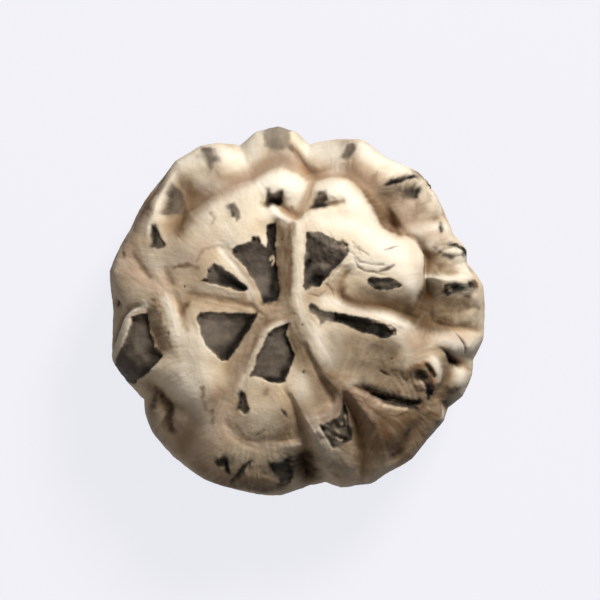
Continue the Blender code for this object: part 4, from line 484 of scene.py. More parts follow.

# Strokes drawn on the skin, for each colour: strength, half width, and the corners of the stroke.
# Ash, rust and flake are the skin's own colours; the others also paint light and shade, as said at each
STAINS_AND_PAINTED_LIGHT = {
    "ash": [
        (0.85, 0.45, [(1.6, 9.4), (3.0, 9.0), (4.6, 8.2), (6.0, 7.4)]),
        (0.80, 0.35, [(3.0, 7.9), (4.4, 7.3), (5.4, 6.6)]),
        (0.60, 0.40, [(1.2, 7.0), (1.8, 5.2), (1.2, 3.4)]),
        (0.60, 0.50, [(3.4, 5.6), (4.2, 5.8)]),
        (0.55, 0.90, [(-4.6, 3.8), (-3.9, 2.2), (-3.5, 1.6)]),
        (0.35, 0.80, [(-10.4, 4.8), (-9.0, 4.2)]),
        (0.30, 1.40, [(-10.6, -1.6), (-9.6, -3.4)]),
        (0.30, 1.20, [(-19.2, -3.4), (-19.4, -5.4)]),
        (0.40, 0.30, [(3.2, -14.3), (4.6, -13.8), (5.4, -12.6)]),
        (0.45, 0.30, [(4.2, -14.6), (4.9, -15.4), (5.8, -15.0)]),
        (0.40, 0.26, [(5.3, -14.6), (6.2, -14.0), (6.2, -12.8)]),
        (0.40, 0.26, [(3.9, -15.2), (4.6, -16.2), (5.8, -16.4)]),
        (0.90, 0.40, [(9.4, -1.4), (9.7, -2.4)]),
        (0.80, 0.16, [(10.8, -1.8), (11.8, -2.4), (11.9, -2.9)]),
        (0.75, 0.26, [(9.6, -10.6), (11.6, -11.3), (13.4, -11.5)]),
        (0.60, 0.24, [(9.2, 3.5), (10.8, 3.4), (12.0, 3.3)]),
        (0.80, 0.40, [(-3.2, 14.6), (-2.4, 14.5)]),
        (0.70, 0.40, [(2.8, 14.4), (3.4, 14.0)]),
    ],
    # Floor: painted shadow, black on the dark patches' floors along the walls that would shade them
    "floor": [
        (0.30, 2.20, [(-5.8, 7.0), (-4.8, 4.8)]),
        (0.25, 1.80, [(2.2, 7.6), (2.6, 5.4)]),
        (0.40, 0.80, [(-8.4, -5.0), (-9.6, -5.0)]),
        (1.00, 0.57, [(-2.9, 10.7), (-2.95, 8.0), (-2.95, 5.0), (-2.9, 2.6)]),
        (1.00, 0.81, [(-3.7, 1.3), (-3.0, 1.6), (-2.4, 2.1)]),
        (0.72, 0.68, [(-3.2, 10.6), (-3.3, 9.4)]),
        (0.82, 0.34, [(-5.5, 9.2), (-5.9, 8.8), (-7.4, 8.2)]),
        (0.52, 0.47, [(-4.3, 8.6), (-3.7, 7.6), (-3.4, 6.2)]),
        (1.00, 0.81, [(-9.0, 3.8), (-7.4, 3.3), (-6.3, 2.7)]),
        (0.57, 0.54, [(-9.8, 5.2), (-8.2, 3.9)]),
        (0.97, 0.57, [(-5.7, -0.9), (-6.9, -3.2), (-8.3, -5.4), (-8.8, -6.0)]),
        (0.72, 0.30, [(-11.8, -0.2), (-8.6, -0.3), (-5.6, -0.4)]),
        (0.72, 0.54, [(-6.4, -0.7), (-6.1, -1.3)]),
        (0.87, 0.41, [(-1.2, -1.7), (-1.3, -3.0), (-0.7, -5.2)]),
        (0.82, 0.30, [(-1.2, -1.6), (-2.2, -1.9), (-2.9, -2.2)]),
        (0.97, 0.51, [(-0.7, -5.6), (-1.2, -7.0), (-1.8, -8.4)]),
        (0.97, 0.43, [(-1.9, -8.5), (-3.0, -8.5), (-4.2, -8.0)]),
        (1.00, 1.01, [(1.9, 4.0), (2.6, 4.0), (2.9, 3.6)]),
        (0.92, 0.54, [(1.4, 5.7), (1.8, 6.2)]),
        (0.82, 0.61, [(3.2, 3.7), (4.2, 4.8), (5.2, 6.0)]),
        (0.62, 0.81, [(4.4, 6.4), (5.3, 6.6)]),
        (0.67, 0.41, [(1.05, 9.4), (1.0, 8.2)]),
        (0.72, 0.54, [(2.3, 8.4), (3.4, 7.4), (4.2, 7.2)]),
        (1.00, 1.30, [(6.0, -1.1), (8.0, -1.8), (9.0, -2.2)]),
        (1.00, 1.25, [(10.4, -2.6), (11.6, -2.7)]),
        (0.92, 0.41, [(1.5, 0.7), (2.2, 0.8), (2.9, 0.2), (4.4, -0.3)]),
        (0.67, 0.41, [(4.6, -0.6), (4.8, -1.3)]),
        (0.95, 0.60, [(5.6, -0.7), (8.6, -1.3), (11.9, -2.2)]),
        (0.87, 0.61, [(8.7, 3.7), (9.4, 3.6)]),
        (0.87, 0.38, [(9.3, 2.85), (10.6, 2.75), (11.8, 2.85)]),
        (0.72, 0.34, [(8.9, 4.0), (10.4, 4.0), (11.6, 3.9)]),
        (0.82, 0.81, [(-18.1, -4.5), (-17.0, -5.4), (-16.5, -5.8)]),
        (0.62, 0.68, [(-17.4, -6.4), (-18.4, -7.6)]),
        (0.72, 0.47, [(-19.8, -0.5), (-18.6, -0.3), (-18.5, -1.0)]),
        (0.67, 0.68, [(-18.4, -1.4), (-18.2, -3.0)]),
        (0.92, 0.41, [(6.3, -13.4), (6.6, -15.2), (6.6, -15.9)]),
        (0.87, 0.41, [(2.9, -14.2), (3.7, -15.5), (4.5, -16.6)]),
        (0.82, 0.54, [(4.5, -15.0), (5.4, -15.8), (6.1, -16.2)]),
        (0.87, 0.38, [(5.7, -10.9), (6.0, -12.4), (5.9, -13.8)]),
        (0.72, 0.47, [(4.3, -13.7), (5.0, -13.2), (5.5, -14.0)]),
    ],
    # Black: black marks of the skin, and painted cast shadow in gaps, slots, pits and valleys
    "black": [
        (0.30, 1.20, [(14.0, -0.6), (16.0, -1.0)]),
        (0.55, 0.60, [(20.0, 2.4), (20.9, 2.2)]),
        (0.28, 1.00, [(5.0, -13.8), (6.2, -14.4), (6.0, -15.8), (4.9, -15.6)]),
        (0.60, 0.40, [(-3.9, 1.0), (-3.0, 1.2), (-2.4, 1.6)]),
        (0.35, 0.50, [(10.6, -10.0), (12.6, -10.4)]),
        (0.35, 0.80, [(8.0, -9.0), (9.2, -9.8)]),
        (0.75, 0.70, [(16.2, 15.6), (16.8, 14.8)]),
        (0.85, 0.62, [(14.5, -7.7), (15.3, -7.9)]),
        (0.60, 0.26, [(15.8, -6.7), (16.2, -7.2), (16.6, -7.8)]),
        (0.80, 0.36, [(15.3, -8.4), (16.0, -9.2), (16.5, -9.8)]),
        (0.95, 0.50, [(16.2, -9.9), (16.6, -10.2)]),
        (0.60, 0.60, [(12.2, -18.0), (13.0, -17.4)]),
        (0.55, 0.60, [(13.4, -15.6), (13.9, -14.8)]),
        (0.90, 0.38, [(9.6, -10.2), (11.4, -10.7), (13.2, -11.0), (15.0, -11.2)]),
        (0.80, 0.34, [(10.6, -11.0), (12.4, -11.6), (14.6, -12.0)]),
        (0.60, 0.60, [(8.4, -9.5), (10.0, -9.8), (11.8, -10.1)]),
        (0.90, 0.48, [(-3.6, 13.2), (-3.0, 13.5), (-2.1, 13.4)]),
        (0.60, 0.40, [(-2.0, 13.6), (-2.0, 14.6)]),
        (0.50, 0.35, [(-3.7, 14.0), (-3.5, 14.8)]),
        (0.90, 0.36, [(2.0, 12.8), (2.8, 13.1), (3.6, 13.1)]),
        (0.80, 0.50, [(3.1, 13.5), (3.4, 13.8)]),
        (0.55, 0.35, [(2.2, 13.4), (2.6, 14.5)]),
        (0.70, 0.40, [(-8.2, 12.9), (-7.9, 12.0)]),
        (0.80, 0.42, [(-17.2, 10.2), (-17.2, 9.0), (-17.4, 8.0)]),
        (0.50, 0.40, [(-15.4, 14.6), (-15.9, 13.4)]),
        (0.85, 0.32, [(-6.9, -10.0), (-7.0, -11.8)]),
        (0.90, 0.45, [(-9.8, -18.4), (-8.8, -17.9), (-8.3, -19.4)]),
        (0.95, 0.80, [(-1.0, -18.6), (-0.8, -20.4)]),
        (0.80, 0.70, [(-3.2, -18.9), (-2.7, -19.6)]),
        (0.80, 0.50, [(-0.8, -20.6), (-1.0, -21.9), (-2.2, -21.8)]),
        (0.70, 1.40, [(0.9, -19.2), (1.2, -20.2), (1.8, -21.6)]),
        (0.90, 0.40, [(11.3, 15.75), (12.6, 16.0), (14.0, 16.3)]),
        (0.60, 0.60, [(12.4, 14.9), (14.0, 14.7), (14.7, 14.4)]),
        (0.85, 0.40, [(14.4, 13.9), (14.5, 14.4)]),
        (0.85, 0.30, [(15.8, 15.2), (16.4, 14.8), (17.0, 15.0)]),
        (0.95, 0.55, [(18.5, 2.3), (19.2, 3.0), (19.8, 2.8)]),
        (0.70, 0.45, [(19.8, 2.9), (20.8, 3.2), (21.8, 3.1)]),
        (0.70, 0.45, [(18.8, 3.3), (19.7, 3.2)]),
        (0.75, 0.40, [(20.8, 3.4), (21.2, 3.1)]),
        (0.90, 0.34, [(18.5, 8.1), (19.4, 7.8), (20.3, 7.2), (20.9, 6.8)]),
        (0.60, 0.30, [(17.0, 7.9), (17.6, 7.3)]),
        (0.70, 0.40, [(17.4, 9.6), (17.5, 10.4)]),
        (0.90, 0.45, [(18.8, -5.4), (19.6, -6.4), (20.4, -6.8)]),
        (0.60, 0.45, [(19.0, -9.8), (20.2, -9.6)]),
        (0.70, 0.60, [(18.6, -11.4), (18.9, -11.9)]),
        (0.60, 0.50, [(17.2, -13.8), (17.8, -13.9)]),
        (0.50, 0.40, [(-17.5, -9.7), (-17.8, -11.4)]),
        (0.40, 1.10, [(-6.0, -21.2), (-3.6, -22.2)]),
        (0.50, 1.30, [(-1.8, -19.2), (-1.2, -20.6)]),
        (0.75, 0.42, [(-5.8, -18.7), (-6.8, -19.6), (-7.9, -20.8)]),
        (0.75, 0.45, [(17.6, 7.3), (18.1, 6.9), (18.9, 6.7)]),
        (0.85, 0.50, [(20.0, 6.9), (21.0, 6.7)]),
        (0.60, 0.60, [(-16.8, -10.7), (-15.9, -11.5), (-15.7, -12.8), (-16.1, -14.0), (-15.6, -15.1)]),
        (0.90, 0.30, [(-22.4, 1.1), (-22.7, 0.7)]),
    ],
    # Brown: the skin's brown marks, and painted shade in valleys, pockets and on slopes turned from the
    # light
    "brown": [
        (0.60, 0.80, [(17.2, 6.6), (17.3, 5.0)]),
        (0.35, 1.00, [(15.6, -2.0), (15.9, -3.6)]),
        (0.75, 0.80, [(-17.9, 13.6), (-17.7, 12.0)]),
        (0.50, 0.90, [(-16.4, 16.2), (-16.3, 15.0)]),
        (0.40, 1.00, [(-13.4, 15.8), (-13.2, 14.2)]),
        (0.40, 0.90, [(-14.6, 11.4), (-13.2, 11.0)]),
        (0.35, 0.90, [(3.2, -11.6), (3.3, -13.0), (4.6, -12.2)]),
        (0.35, 0.50, [(4.9, -16.8), (6.3, -16.7)]),
        (0.55, 0.24, [
            (8.3, 14.8), (9.5, 13.2), (10.3, 11.6), (10.8, 10.5), (11.6, 9.9), (12.6, 9.6),
            (13.9, 9.5)]),
        (0.40, 0.26, [(15.9, 6.6), (15.95, 4.6), (15.7, 3.0), (15.1, 1.4)]),
        (0.50, 0.70, [(17.4, 8.1), (18.9, 8.1)]),
        (0.45, 0.90, [(18.0, 5.2), (18.8, 5.0)]),
        (0.40, 1.40, [(12.6, 13.6), (14.4, 13.0)]),
        (0.70, 1.00, [(-16.6, 16.0), (-17.7, 14.0), (-18.6, 12.0)]),
        (0.90, 1.20, [(13.6, -0.3), (14.8, -0.8), (16.4, -1.2)]),
        (0.45, 1.20, [(18.6, 1.6), (20.4, 1.5)]),
        (0.50, 1.00, [(16.8, -10.8), (18.0, -11.6)]),
        (0.60, 0.80, [(-3.6, -1.2), (-4.6, -2.4)]),
        (0.30, 0.50, [(5.2, 17.2), (7.4, 16.2), (8.8, 14.8)]),
        (0.60, 0.60, [(8.8, 14.6), (9.8, 13.2), (10.6, 11.8)]),
        (0.25, 0.40, [(12.6, 9.9), (13.8, 9.9), (15.0, 8.9), (15.9, 7.2), (16.3, 5.6)]),
        (0.45, 1.00, [(-1.7, 9.8), (-1.7, 2.6)]),
        (0.25, 3.00, [(7.2, -4.8), (10.6, -6.2), (13.2, -6.2)]),
        (0.70, 2.40, [(10.6, -13.8), (15.8, -13.4)]),
        (0.40, 0.30, [(5.3, 3.6), (5.1, 2.6), (5.6, 1.8)]),
        (0.50, 2.20, [(-14.0, 12.8), (-12.6, 14.2)]),
        (0.40, 1.80, [(-15.4, 9.8), (-15.2, 7.4)]),
        (0.60, 0.35, [(5.7, 2.9), (6.0, 2.0), (7.2, 1.35), (9.6, 0.9), (12.4, 0.2), (14.6, -0.9)]),
        (0.35, 1.00, [(8.4, 1.9), (11.0, 1.6), (13.4, 1.0)]),
        (0.60, 1.30, [(-1.5, 9.6), (-1.4, 6.0), (-1.4, 2.4)]),
        (0.65, 0.36, [(-0.95, 10.4), (-0.9, 6.0), (-0.85, 2.2)]),
        (0.30, 1.15, [(-1.6, 11.0), (-1.5, 6.0), (-1.5, 2.2), (-1.9, 1.2)]),
        (0.60, 0.16, [(-0.85, 10.6), (-0.8, 8.4), (-0.75, 5.4)]),
        (0.70, 0.45, [(-0.4, 10.8), (-0.5, 9.6)]),
        (0.35, 1.00, [(-3.2, 0.3), (-1.4, 0.2)]),
        (0.50, 0.40, [(-0.6, -0.7), (-3.2, -1.45), (-4.4, -2.2)]),
        (0.50, 1.00, [(-4.6, -1.6), (-6.0, -4.2), (-7.4, -7.2), (-8.4, -10.0)]),
        (0.60, 0.35, [(-4.8, -3.2), (-5.6, -5.0), (-6.4, -7.2)]),
        (0.45, 1.30, [(-0.2, -2.0), (0.3, -4.0), (0.7, -5.8)]),
        (0.35, 0.90, [(1.3, -5.4), (2.1, -7.6), (3.0, -9.6)]),
        (0.60, 1.30, [(3.4, -7.2), (4.4, -9.2), (5.2, -10.6)]),
        (0.40, 1.10, [(6.4, -10.6), (8.6, -11.0)]),
        (0.50, 0.30, [(-5.9, 0.7), (-8.0, 1.3), (-12.0, 1.6)]),
        (0.45, 1.00, [(-12.6, 2.2), (-14.6, 2.0)]),
        (0.80, 0.30, [(-13.3, 1.0), (-14.0, 0.6), (-14.2, -0.2)]),
        (0.45, 0.35, [(-14.4, 0.4), (-14.1, -0.9), (-13.5, -2.3)]),
        (0.45, 0.90, [(-17.4, 0.2), (-17.0, -2.4), (-16.6, -4.6)]),
        (0.60, 0.25, [(-16.7, -0.4), (-15.9, -2.8), (-15.6, -4.2)]),
        (0.25, 0.60, [(-20.6, 0.1), (-21.9, -1.0), (-22.6, -3.6)]),
        (0.50, 0.35, [(-19.0, 0.8), (-20.6, 0.3)]),
        (0.25, 2.20, [(-19.6, 5.0), (-17.0, 4.4), (-16.0, 4.6)]),
        (0.60, 0.30, [(-20.0, 7.2), (-19.4, 5.8), (-18.2, 4.2)]),
        (0.55, 0.30, [(-16.2, 5.2), (-15.7, 4.0), (-15.2, 3.4)]),
        (0.55, 0.25, [(-15.0, 5.4), (-13.2, 5.6)]),
        (0.80, 0.25, [(-21.1, 7.8), (-20.9, 6.8)]),
        (0.30, 1.10, [(-16.9, 16.4), (-18.2, 14.0), (-19.2, 12.0), (-19.6, 10.0), (-20.6, 8.6)]),
        (0.70, 0.50, [(-14.0, 12.0), (-14.3, 10.9)]),
        (0.45, 1.30, [(-13.4, 15.8), (-12.9, 14.4), (-11.4, 14.6)]),
        (0.80, 0.80, [(-13.6, 12.6), (-14.2, 11.2), (-14.6, 10.0)]),
        (0.25, 1.30, [(-10.4, 15.0), (-7.8, 16.0), (-5.6, 16.8), (-3.6, 18.1), (-1.2, 18.2)]),
        (0.40, 0.60, [(-0.4, 20.0), (0.8, 18.6), (2.2, 16.8)]),
        (0.20, 0.90, [(2.8, 17.0), (5.2, 17.3), (7.0, 16.9), (8.8, 15.4)]),
        (0.30, 0.50, [(1.7, 15.6), (1.0, 13.8), (0.3, 12.3)]),
        (0.60, 0.30, [(-0.6, 12.6), (-0.1, 11.9)]),
        (0.60, 0.30, [(4.4, 13.4), (5.6, 13.5)]),
        (0.60, 0.90, [(9.6, 13.4), (10.6, 12.2), (11.3, 11.0), (12.2, 10.2)]),
        (0.65, 0.90, [(11.3, 12.2), (12.0, 11.3), (12.3, 10.4)]),
        (0.65, 1.40, [(-9.6, -21.2), (-6.0, -21.8), (-2.0, -22.2)]),
        (0.70, 0.80, [(-17.6, -10.0), (-17.9, -11.6)]),
        (0.75, 0.80, [(-16.7, -10.4), (-15.7, -11.8), (-15.9, -13.2), (-16.4, -14.6)]),
        (0.55, 0.22, [(-15.2, 5.2), (-13.6, 5.9), (-12.2, 5.3)]),
        (0.45, 0.20, [(-12.3, 6.2), (-11.4, 7.6), (-9.8, 8.1)]),
        (0.75, 0.80, [(14.4, 16.9), (15.8, 16.0), (16.8, 14.8)]),
        (0.85, 0.50, [
            (13.8, -8.2), (13.9, -7.2), (14.8, -6.8), (15.6, -7.4), (16.2, -8.4), (16.8, -9.6)]),
        (0.40, 1.20, [(14.2, -7.6), (15.6, -8.6)]),
        (0.35, 0.45, [(18.6, -5.4), (19.8, -6.2), (20.8, -6.9)]),
        (0.50, 1.60, [(11.6, -16.4), (13.6, -16.8)]),
        (0.25, 1.10, [(9.0, 14.6), (10.4, 13.4), (11.4, 12.6)]),
        (0.40, 1.60, [(10.8, 14.8), (13.2, 14.6)]),
        (0.70, 0.80, [(14.6, 16.4), (16.2, 15.4), (17.2, 14.6)]),
        (0.35, 1.60, [(-2.4, 22.0), (-2.3, 20.4)]),
        (0.45, 1.30, [(-10.6, 19.4), (-10.4, 17.6)]),
        (0.50, 1.10, [(6.2, 20.2), (6.6, 18.2), (6.9, 17.4)]),
        (0.25, 1.00, [(13.8, 10.2), (15.2, 10.9), (16.9, 11.3)]),
        (0.40, 0.60, [(14.6, 11.8), (15.4, 12.6), (15.8, 13.8)]),
        (0.30, 0.60, [(16.0, 7.6), (16.6, 7.0)]),
        (0.40, 0.90, [(16.8, 6.8), (16.9, 5.2), (17.6, 5.8)]),
        (0.85, 1.25, [(16.1, 2.2), (16.1, 1.0), (16.0, -0.4), (16.8, -1.3), (19.0, -1.3)]),
        (0.60, 0.70, [(19.6, -1.6), (21.6, -1.6)]),
        (0.70, 0.90, [(6.4, 1.2), (9.0, 0.7), (11.4, 0.7), (13.2, 0.5), (14.6, -0.2)]),
        (0.45, 0.50, [(5.2, 2.4), (5.5, 1.7), (7.0, 1.1)]),
        (0.45, 1.00, [(19.4, 1.0), (20.8, 0.8)]),
        (0.50, 0.50, [(21.8, 0.9), (22.6, 0.4)]),
        (0.50, 1.10, [(18.4, -6.4), (18.6, -8.0), (18.2, -10.4)]),
        (0.60, 0.80, [(19.4, -10.2), (18.2, -10.8)]),
        (0.55, 2.60, [(13.6, -13.6), (12.0, -16.4), (14.8, -14.8)]),
        (0.45, 3.00, [(6.6, -17.6), (9.6, -17.4), (12.4, -15.6)]),
        (0.40, 1.60, [(9.4, -12.6), (12.6, -13.2)]),
        (0.35, 1.80, [(7.0, -5.6), (9.0, -7.6), (12.4, -8.6)]),
        (0.45, 0.70, [(10.0, -9.0), (13.0, -9.8), (15.2, -10.2)]),
        (0.60, 1.00, [(14.6, -9.4), (15.8, -11.0)]),
        (0.40, 1.30, [(19.0, -8.0), (19.8, -9.8), (18.4, -11.2)]),
        (0.55, 1.00, [(6.8, -12.2), (7.6, -14.4), (8.3, -17.0)]),
        (0.20, 2.00, [(3.4, -18.6), (5.6, -20.6)]),
        (0.40, 1.40, [(15.6, -11.9), (16.8, -13.2)]),
        (0.50, 0.90, [(6.6, -11.6), (7.4, -13.8), (7.9, -16.6), (8.2, -19.4)]),
        (0.50, 1.20, [(7.6, -18.6), (9.0, -20.2)]),
        (0.70, 0.70, [(13.6, -16.2), (13.0, -17.4)]),
        (0.25, 1.10, [(0.0, -14.6), (0.8, -15.6)]),
        (0.60, 1.10, [(-1.0, -13.2), (-0.6, -14.6), (-1.8, -15.4)]),
        (0.90, 1.50, [(0.9, -18.8), (1.3, -19.8), (2.0, -21.4)]),
        (0.20, 0.80, [(-7.0, -15.2), (-4.6, -15.8), (-1.8, -15.9)]),
        (0.50, 2.00, [(-5.0, -21.2), (-8.6, -20.8), (-12.0, -19.4)]),
        (0.30, 1.50, [(-13.6, -12.6), (-12.9, -14.0), (-14.0, -16.0), (-15.2, -17.8)]),
        (0.60, 0.30, [(-11.6, -9.4), (-11.3, -11.8)]),
        (0.65, 0.28, [(-10.5, -12.2), (-10.3, -13.6)]),
        (0.25, 1.20, [(-9.2, -9.0), (-10.0, -10.6)]),
        (0.45, 1.60, [(-18.2, -9.4), (-18.0, -14.0), (-16.8, -16.2)]),
        (0.35, 0.60, [(-15.0, -11.8), (-14.2, -12.2)]),
        (0.60, 0.20, [(-10.6, 12.0), (-10.1, 11.4), (-10.3, 10.7)]),
        (0.50, 0.30, [(11.5, -5.8), (12.2, -5.3)]),
        (0.35, 1.40, [(10.6, -4.4), (11.6, -5.6)]),
        (0.60, 0.30, [(14.0, -7.0), (14.8, -6.6), (15.4, -6.8)]),
        (0.50, 0.60, [(8.2, -9.2), (9.6, -9.4)]),
        (0.50, 0.40, [(17.3, 11.4), (16.8, 11.2)]),
        (0.60, 0.40, [(-3.7, -9.7), (-3.9, -10.1)]),
    ],
    # Tan: the flesh's tan, and painted shade on fold flanks and slopes turned from the light
    "tan": [
        (0.60, 1.20, [(-17.8, 13.8), (-17.7, 11.4)]),
        (0.50, 1.00, [(3.2, -10.6), (3.3, -12.6), (4.6, -12.2)]),
        (0.50, 1.20, [(15.8, -4.2), (17.0, -4.7)]),
        (0.35, 2.00, [(-5.4, -10.4), (-3.6, -10.8)]),
        (0.70, 1.30, [(4.4, -7.0), (5.2, -8.6), (5.8, -9.6)]),
        (0.55, 1.40, [(1.9, 1.6), (3.2, 1.5), (6.0, 1.2), (8.6, 0.9)]),
        (0.45, 2.20, [(0.6, -10.8), (1.8, -12.0)]),
        (0.30, 1.60, [(13.4, 11.4), (15.6, 12.4)]),
        (0.40, 2.00, [(-9.6, -1.0), (-11.4, 1.0), (-8.6, 1.4)]),
        (0.60, 1.60, [(-18.2, 14.4), (-18.8, 12.6)]),
        (0.30, 1.40, [(16.8, 6.6), (18.2, 5.8)]),
        (0.55, 1.60, [(-6.6, 1.6), (-5.6, 3.4), (-6.8, 5.6)]),
        (0.55, 1.30, [(5.0, 2.6), (6.4, 1.8), (8.0, 1.3)]),
        (0.60, 1.40, [(5.4, -8.4), (6.4, -10.4), (7.0, -12.4)]),
        (0.45, 1.80, [(1.6, -8.4), (2.6, -10.8)]),
        (0.40, 2.00, [(-2.4, -9.8), (-1.4, -11.0)]),
        (0.40, 1.60, [(-9.8, -8.6), (-10.4, -10.4)]),
        (0.45, 3.40, [(4.8, -4.0), (8.4, -5.6), (12.4, -6.8), (14.6, -5.0)]),
        (0.40, 1.80, [(5.6, -2.6), (9.6, -4.0), (13.6, -4.0)]),
        (0.75, 3.00, [(7.0, -11.6), (10.6, -12.8), (14.0, -13.4), (17.0, -12.6)]),
        (0.70, 3.20, [(8.6, -16.4), (11.6, -16.2), (14.4, -16.4)]),
        (0.22, 3.00, [(2.0, -17.4), (5.6, -19.4), (8.6, -20.6)]),
        (0.20, 2.20, [(16.6, -2.6), (20.4, -3.4), (21.0, -7.6), (19.4, -10.6)]),
        (0.30, 2.60, [(12.0, 14.6), (14.6, 12.4), (16.4, 11.2)]),
        (0.35, 2.20, [(16.6, 8.6), (17.4, 6.0), (18.6, 5.2)]),
        (0.60, 2.00, [(17.6, 1.6), (19.6, 0.8), (22.2, -0.4)]),
        (0.55, 2.40, [(8.6, 2.0), (11.6, 1.6), (13.4, 1.4)]),
        (0.25, 1.80, [(5.2, 17.4), (8.4, 16.6), (10.0, 15.2)]),
        (0.50, 1.60, [(3.4, 18.9), (5.0, 19.4), (5.4, 20.8)]),
        (0.30, 2.00, [(-9.8, 15.6), (-6.6, 17.0), (-3.4, 18.2)]),
        (0.50, 2.20, [(-13.6, 17.0), (-15.4, 15.4), (-13.8, 12.8)]),
        (0.45, 2.40, [(-18.6, 13.6), (-19.6, 10.4), (-19.8, 8.0)]),
        (0.40, 2.40, [(-14.2, 11.6), (-15.0, 8.6), (-14.6, 7.0)]),
        (0.55, 3.00, [(-19.2, 4.4), (-16.4, 4.0), (-14.0, 4.6)]),
        (0.45, 2.60, [(-11.4, 5.4), (-12.6, 8.0)]),
        (0.60, 1.60, [(-12.4, 1.4), (-9.4, 1.2), (-6.6, 0.8), (-4.2, 0.6)]),
        (0.55, 1.60, [(-16.8, 0.6), (-16.6, -2.0), (-16.4, -4.2)]),
        (0.50, 1.40, [(-13.6, 0.6), (-13.4, -1.6)]),
        (0.45, 2.00, [(-2.6, 0.4), (-0.8, 0.2)]),
        (0.50, 1.80, [(0.0, -3.0), (0.8, -5.6), (1.4, -8.0)]),
        (0.50, 2.20, [(-5.6, -3.8), (-7.2, -7.4), (-8.4, -10.6)]),
        (0.35, 2.60, [(-10.8, -9.0), (-9.4, -12.4), (-8.8, -15.4)]),
        (0.30, 3.20, [(-16.6, -13.6), (-13.6, -15.4), (-12.4, -18.6)]),
        (0.60, 2.80, [(-8.4, -19.4), (-4.6, -20.4), (-1.0, -20.6)]),
        (0.45, 1.80, [(-3.0, -15.0), (-0.8, -13.8), (-0.2, -12.0)]),
        (0.35, 2.00, [(2.6, 2.6), (4.0, 3.0)]),
    ],
    # Rose: the flesh's pinkish tan, and painted shade in the ring valleys and on slopes
    "rose": [
        (0.45, 1.60, [(-3.0, 18.6), (1.0, 18.6), (3.2, 17.8)]),
        (0.40, 1.60, [(9.6, 16.2), (12.0, 14.0), (14.0, 11.4)]),
        (0.40, 1.00, [(9.6, 13.2), (10.4, 11.8), (11.4, 10.8), (12.8, 10.3)]),
        (0.55, 1.50, [(-13.4, 14.8), (-11.6, 14.4), (-9.0, 15.2), (-5.6, 16.8)]),
        (0.50, 2.00, [(-18.8, 12.4), (-19.8, 10.0), (-20.6, 7.0), (-19.6, 4.4), (-17.4, 3.2)]),
        (0.60, 0.90, [
            (1.2, -13.4), (3.4, -13.0), (5.0, -11.4), (5.6, -9.8), (7.4, -10.4), (10.8, -12.2)]),
        (0.25, 0.90, [(1.4, -13.8), (2.2, -15.8), (3.0, -18.0)]),
        (0.45, 0.50, [(6.6, -10.1), (8.0, -11.7), (9.1, -13.5), (10.2, -16.0)]),
        (0.45, 1.40, [(8.6, -13.0), (9.8, -14.8), (10.8, -16.8)]),
        (0.35, 2.00, [(-9.4, -10.6), (-9.2, -13.8), (-11.4, -16.6)]),
        (0.40, 1.20, [(-8.0, -15.4), (-5.0, -16.8), (-1.0, -16.8)]),
        (0.45, 1.60, [(-13.4, -12.0), (-14.6, -15.4)]),
        (0.40, 1.60, [(4.8, 17.6), (7.6, 17.2)]),
        (0.35, 1.60, [(14.6, 10.0), (17.0, 9.4)]),
        (0.35, 1.60, [(18.6, -2.6), (20.8, -4.6)]),
        (0.40, 1.20, [(15.4, -2.2), (14.4, -4.4)]),
        (0.35, 1.00, [(-1.4, 0.4), (-3.4, 0.2)]),
        (0.35, 1.00, [(-5.0, -3.4), (-6.8, -6.8)]),
        (0.35, 1.60, [(-12.6, 6.8), (-10.4, 8.4)]),
    ],
    "flake": [
        (0.45, 0.15, [(4.3, -14.2), (4.8, -14.6), (5.2, -14.9)]),
        (0.60, 0.15, [(5.0, -13.3), (5.4, -13.9)]),
        (0.50, 0.15, [(4.9, -15.6), (5.6, -16.0)]),
        (0.40, 0.13, [(3.6, -14.7), (4.0, -15.2)]),
        (0.40, 0.12, [(5.9, -12.8), (6.1, -13.8)]),
        (0.70, 0.14, [(-3.3, 6.4), (-2.9, 6.7), (-2.7, 6.2), (-3.1, 5.8)]),
        (0.80, 0.12, [(10.7, -1.75), (11.9, -2.3), (12.0, -2.8)]),
        (0.60, 0.12, [(9.3, -1.35), (10.6, -1.6)]),
        (0.60, 0.16, [(10.6, -11.6), (12.0, -11.9), (13.6, -12.0)]),
        (0.50, 0.14, [(11.2, -10.9), (12.6, -11.3)]),
        (0.40, 0.14, [(18.8, 2.9), (19.1, 2.6)]),
        (0.60, 0.18, [(4.8, 8.5), (6.0, 7.8)]),
        (0.55, 0.14, [(15.0, -8.5), (15.7, -9.4)]),
        (0.60, 0.20, [(15.0, 15.3), (15.3, 15.0)]),
    ],
    # Pale: painted highlight on crests and painted light on slopes in shade, over paler flesh
    "pale": [
        (0.50, 0.90, [(15.2, 8.9), (16.0, 8.2), (17.2, 8.2)]),
        (0.45, 0.80, [(17.2, 3.7), (17.4, 2.4)]),
        (0.50, 0.80, [(14.0, 2.8), (14.4, 1.8)]),
        (0.45, 0.80, [(19.8, 5.4), (20.8, 5.0)]),
        (0.50, 0.90, [(19.0, -4.6), (20.4, -4.9), (21.8, -4.9)]),
        (0.50, 1.10, [(-11.8, 15.8), (-10.2, 15.9)]),
        (0.50, 1.60, [(-16.6, -8.2), (-14.6, -9.2), (-13.0, -10.8)]),
        (0.40, 1.30, [(-12.4, -12.4), (-11.4, -14.2)]),
        (0.40, 1.20, [(1.9, -15.2), (2.4, -16.9), (4.0, -18.2)]),
        (0.60, 0.32, [(11.4, 16.7), (13.0, 17.0), (14.2, 17.1)]),
        (0.45, 1.60, [(-13.2, 17.6), (-8.4, 19.6)]),
        (0.40, 1.60, [(2.4, 20.0), (8.6, 19.6), (12.6, 17.8)]),
        (0.40, 1.20, [(-5.4, 19.4), (-6.4, 21.0)]),
        (0.50, 1.10, [(2.2, -2.6), (3.8, -5.0), (4.4, -6.2)]),
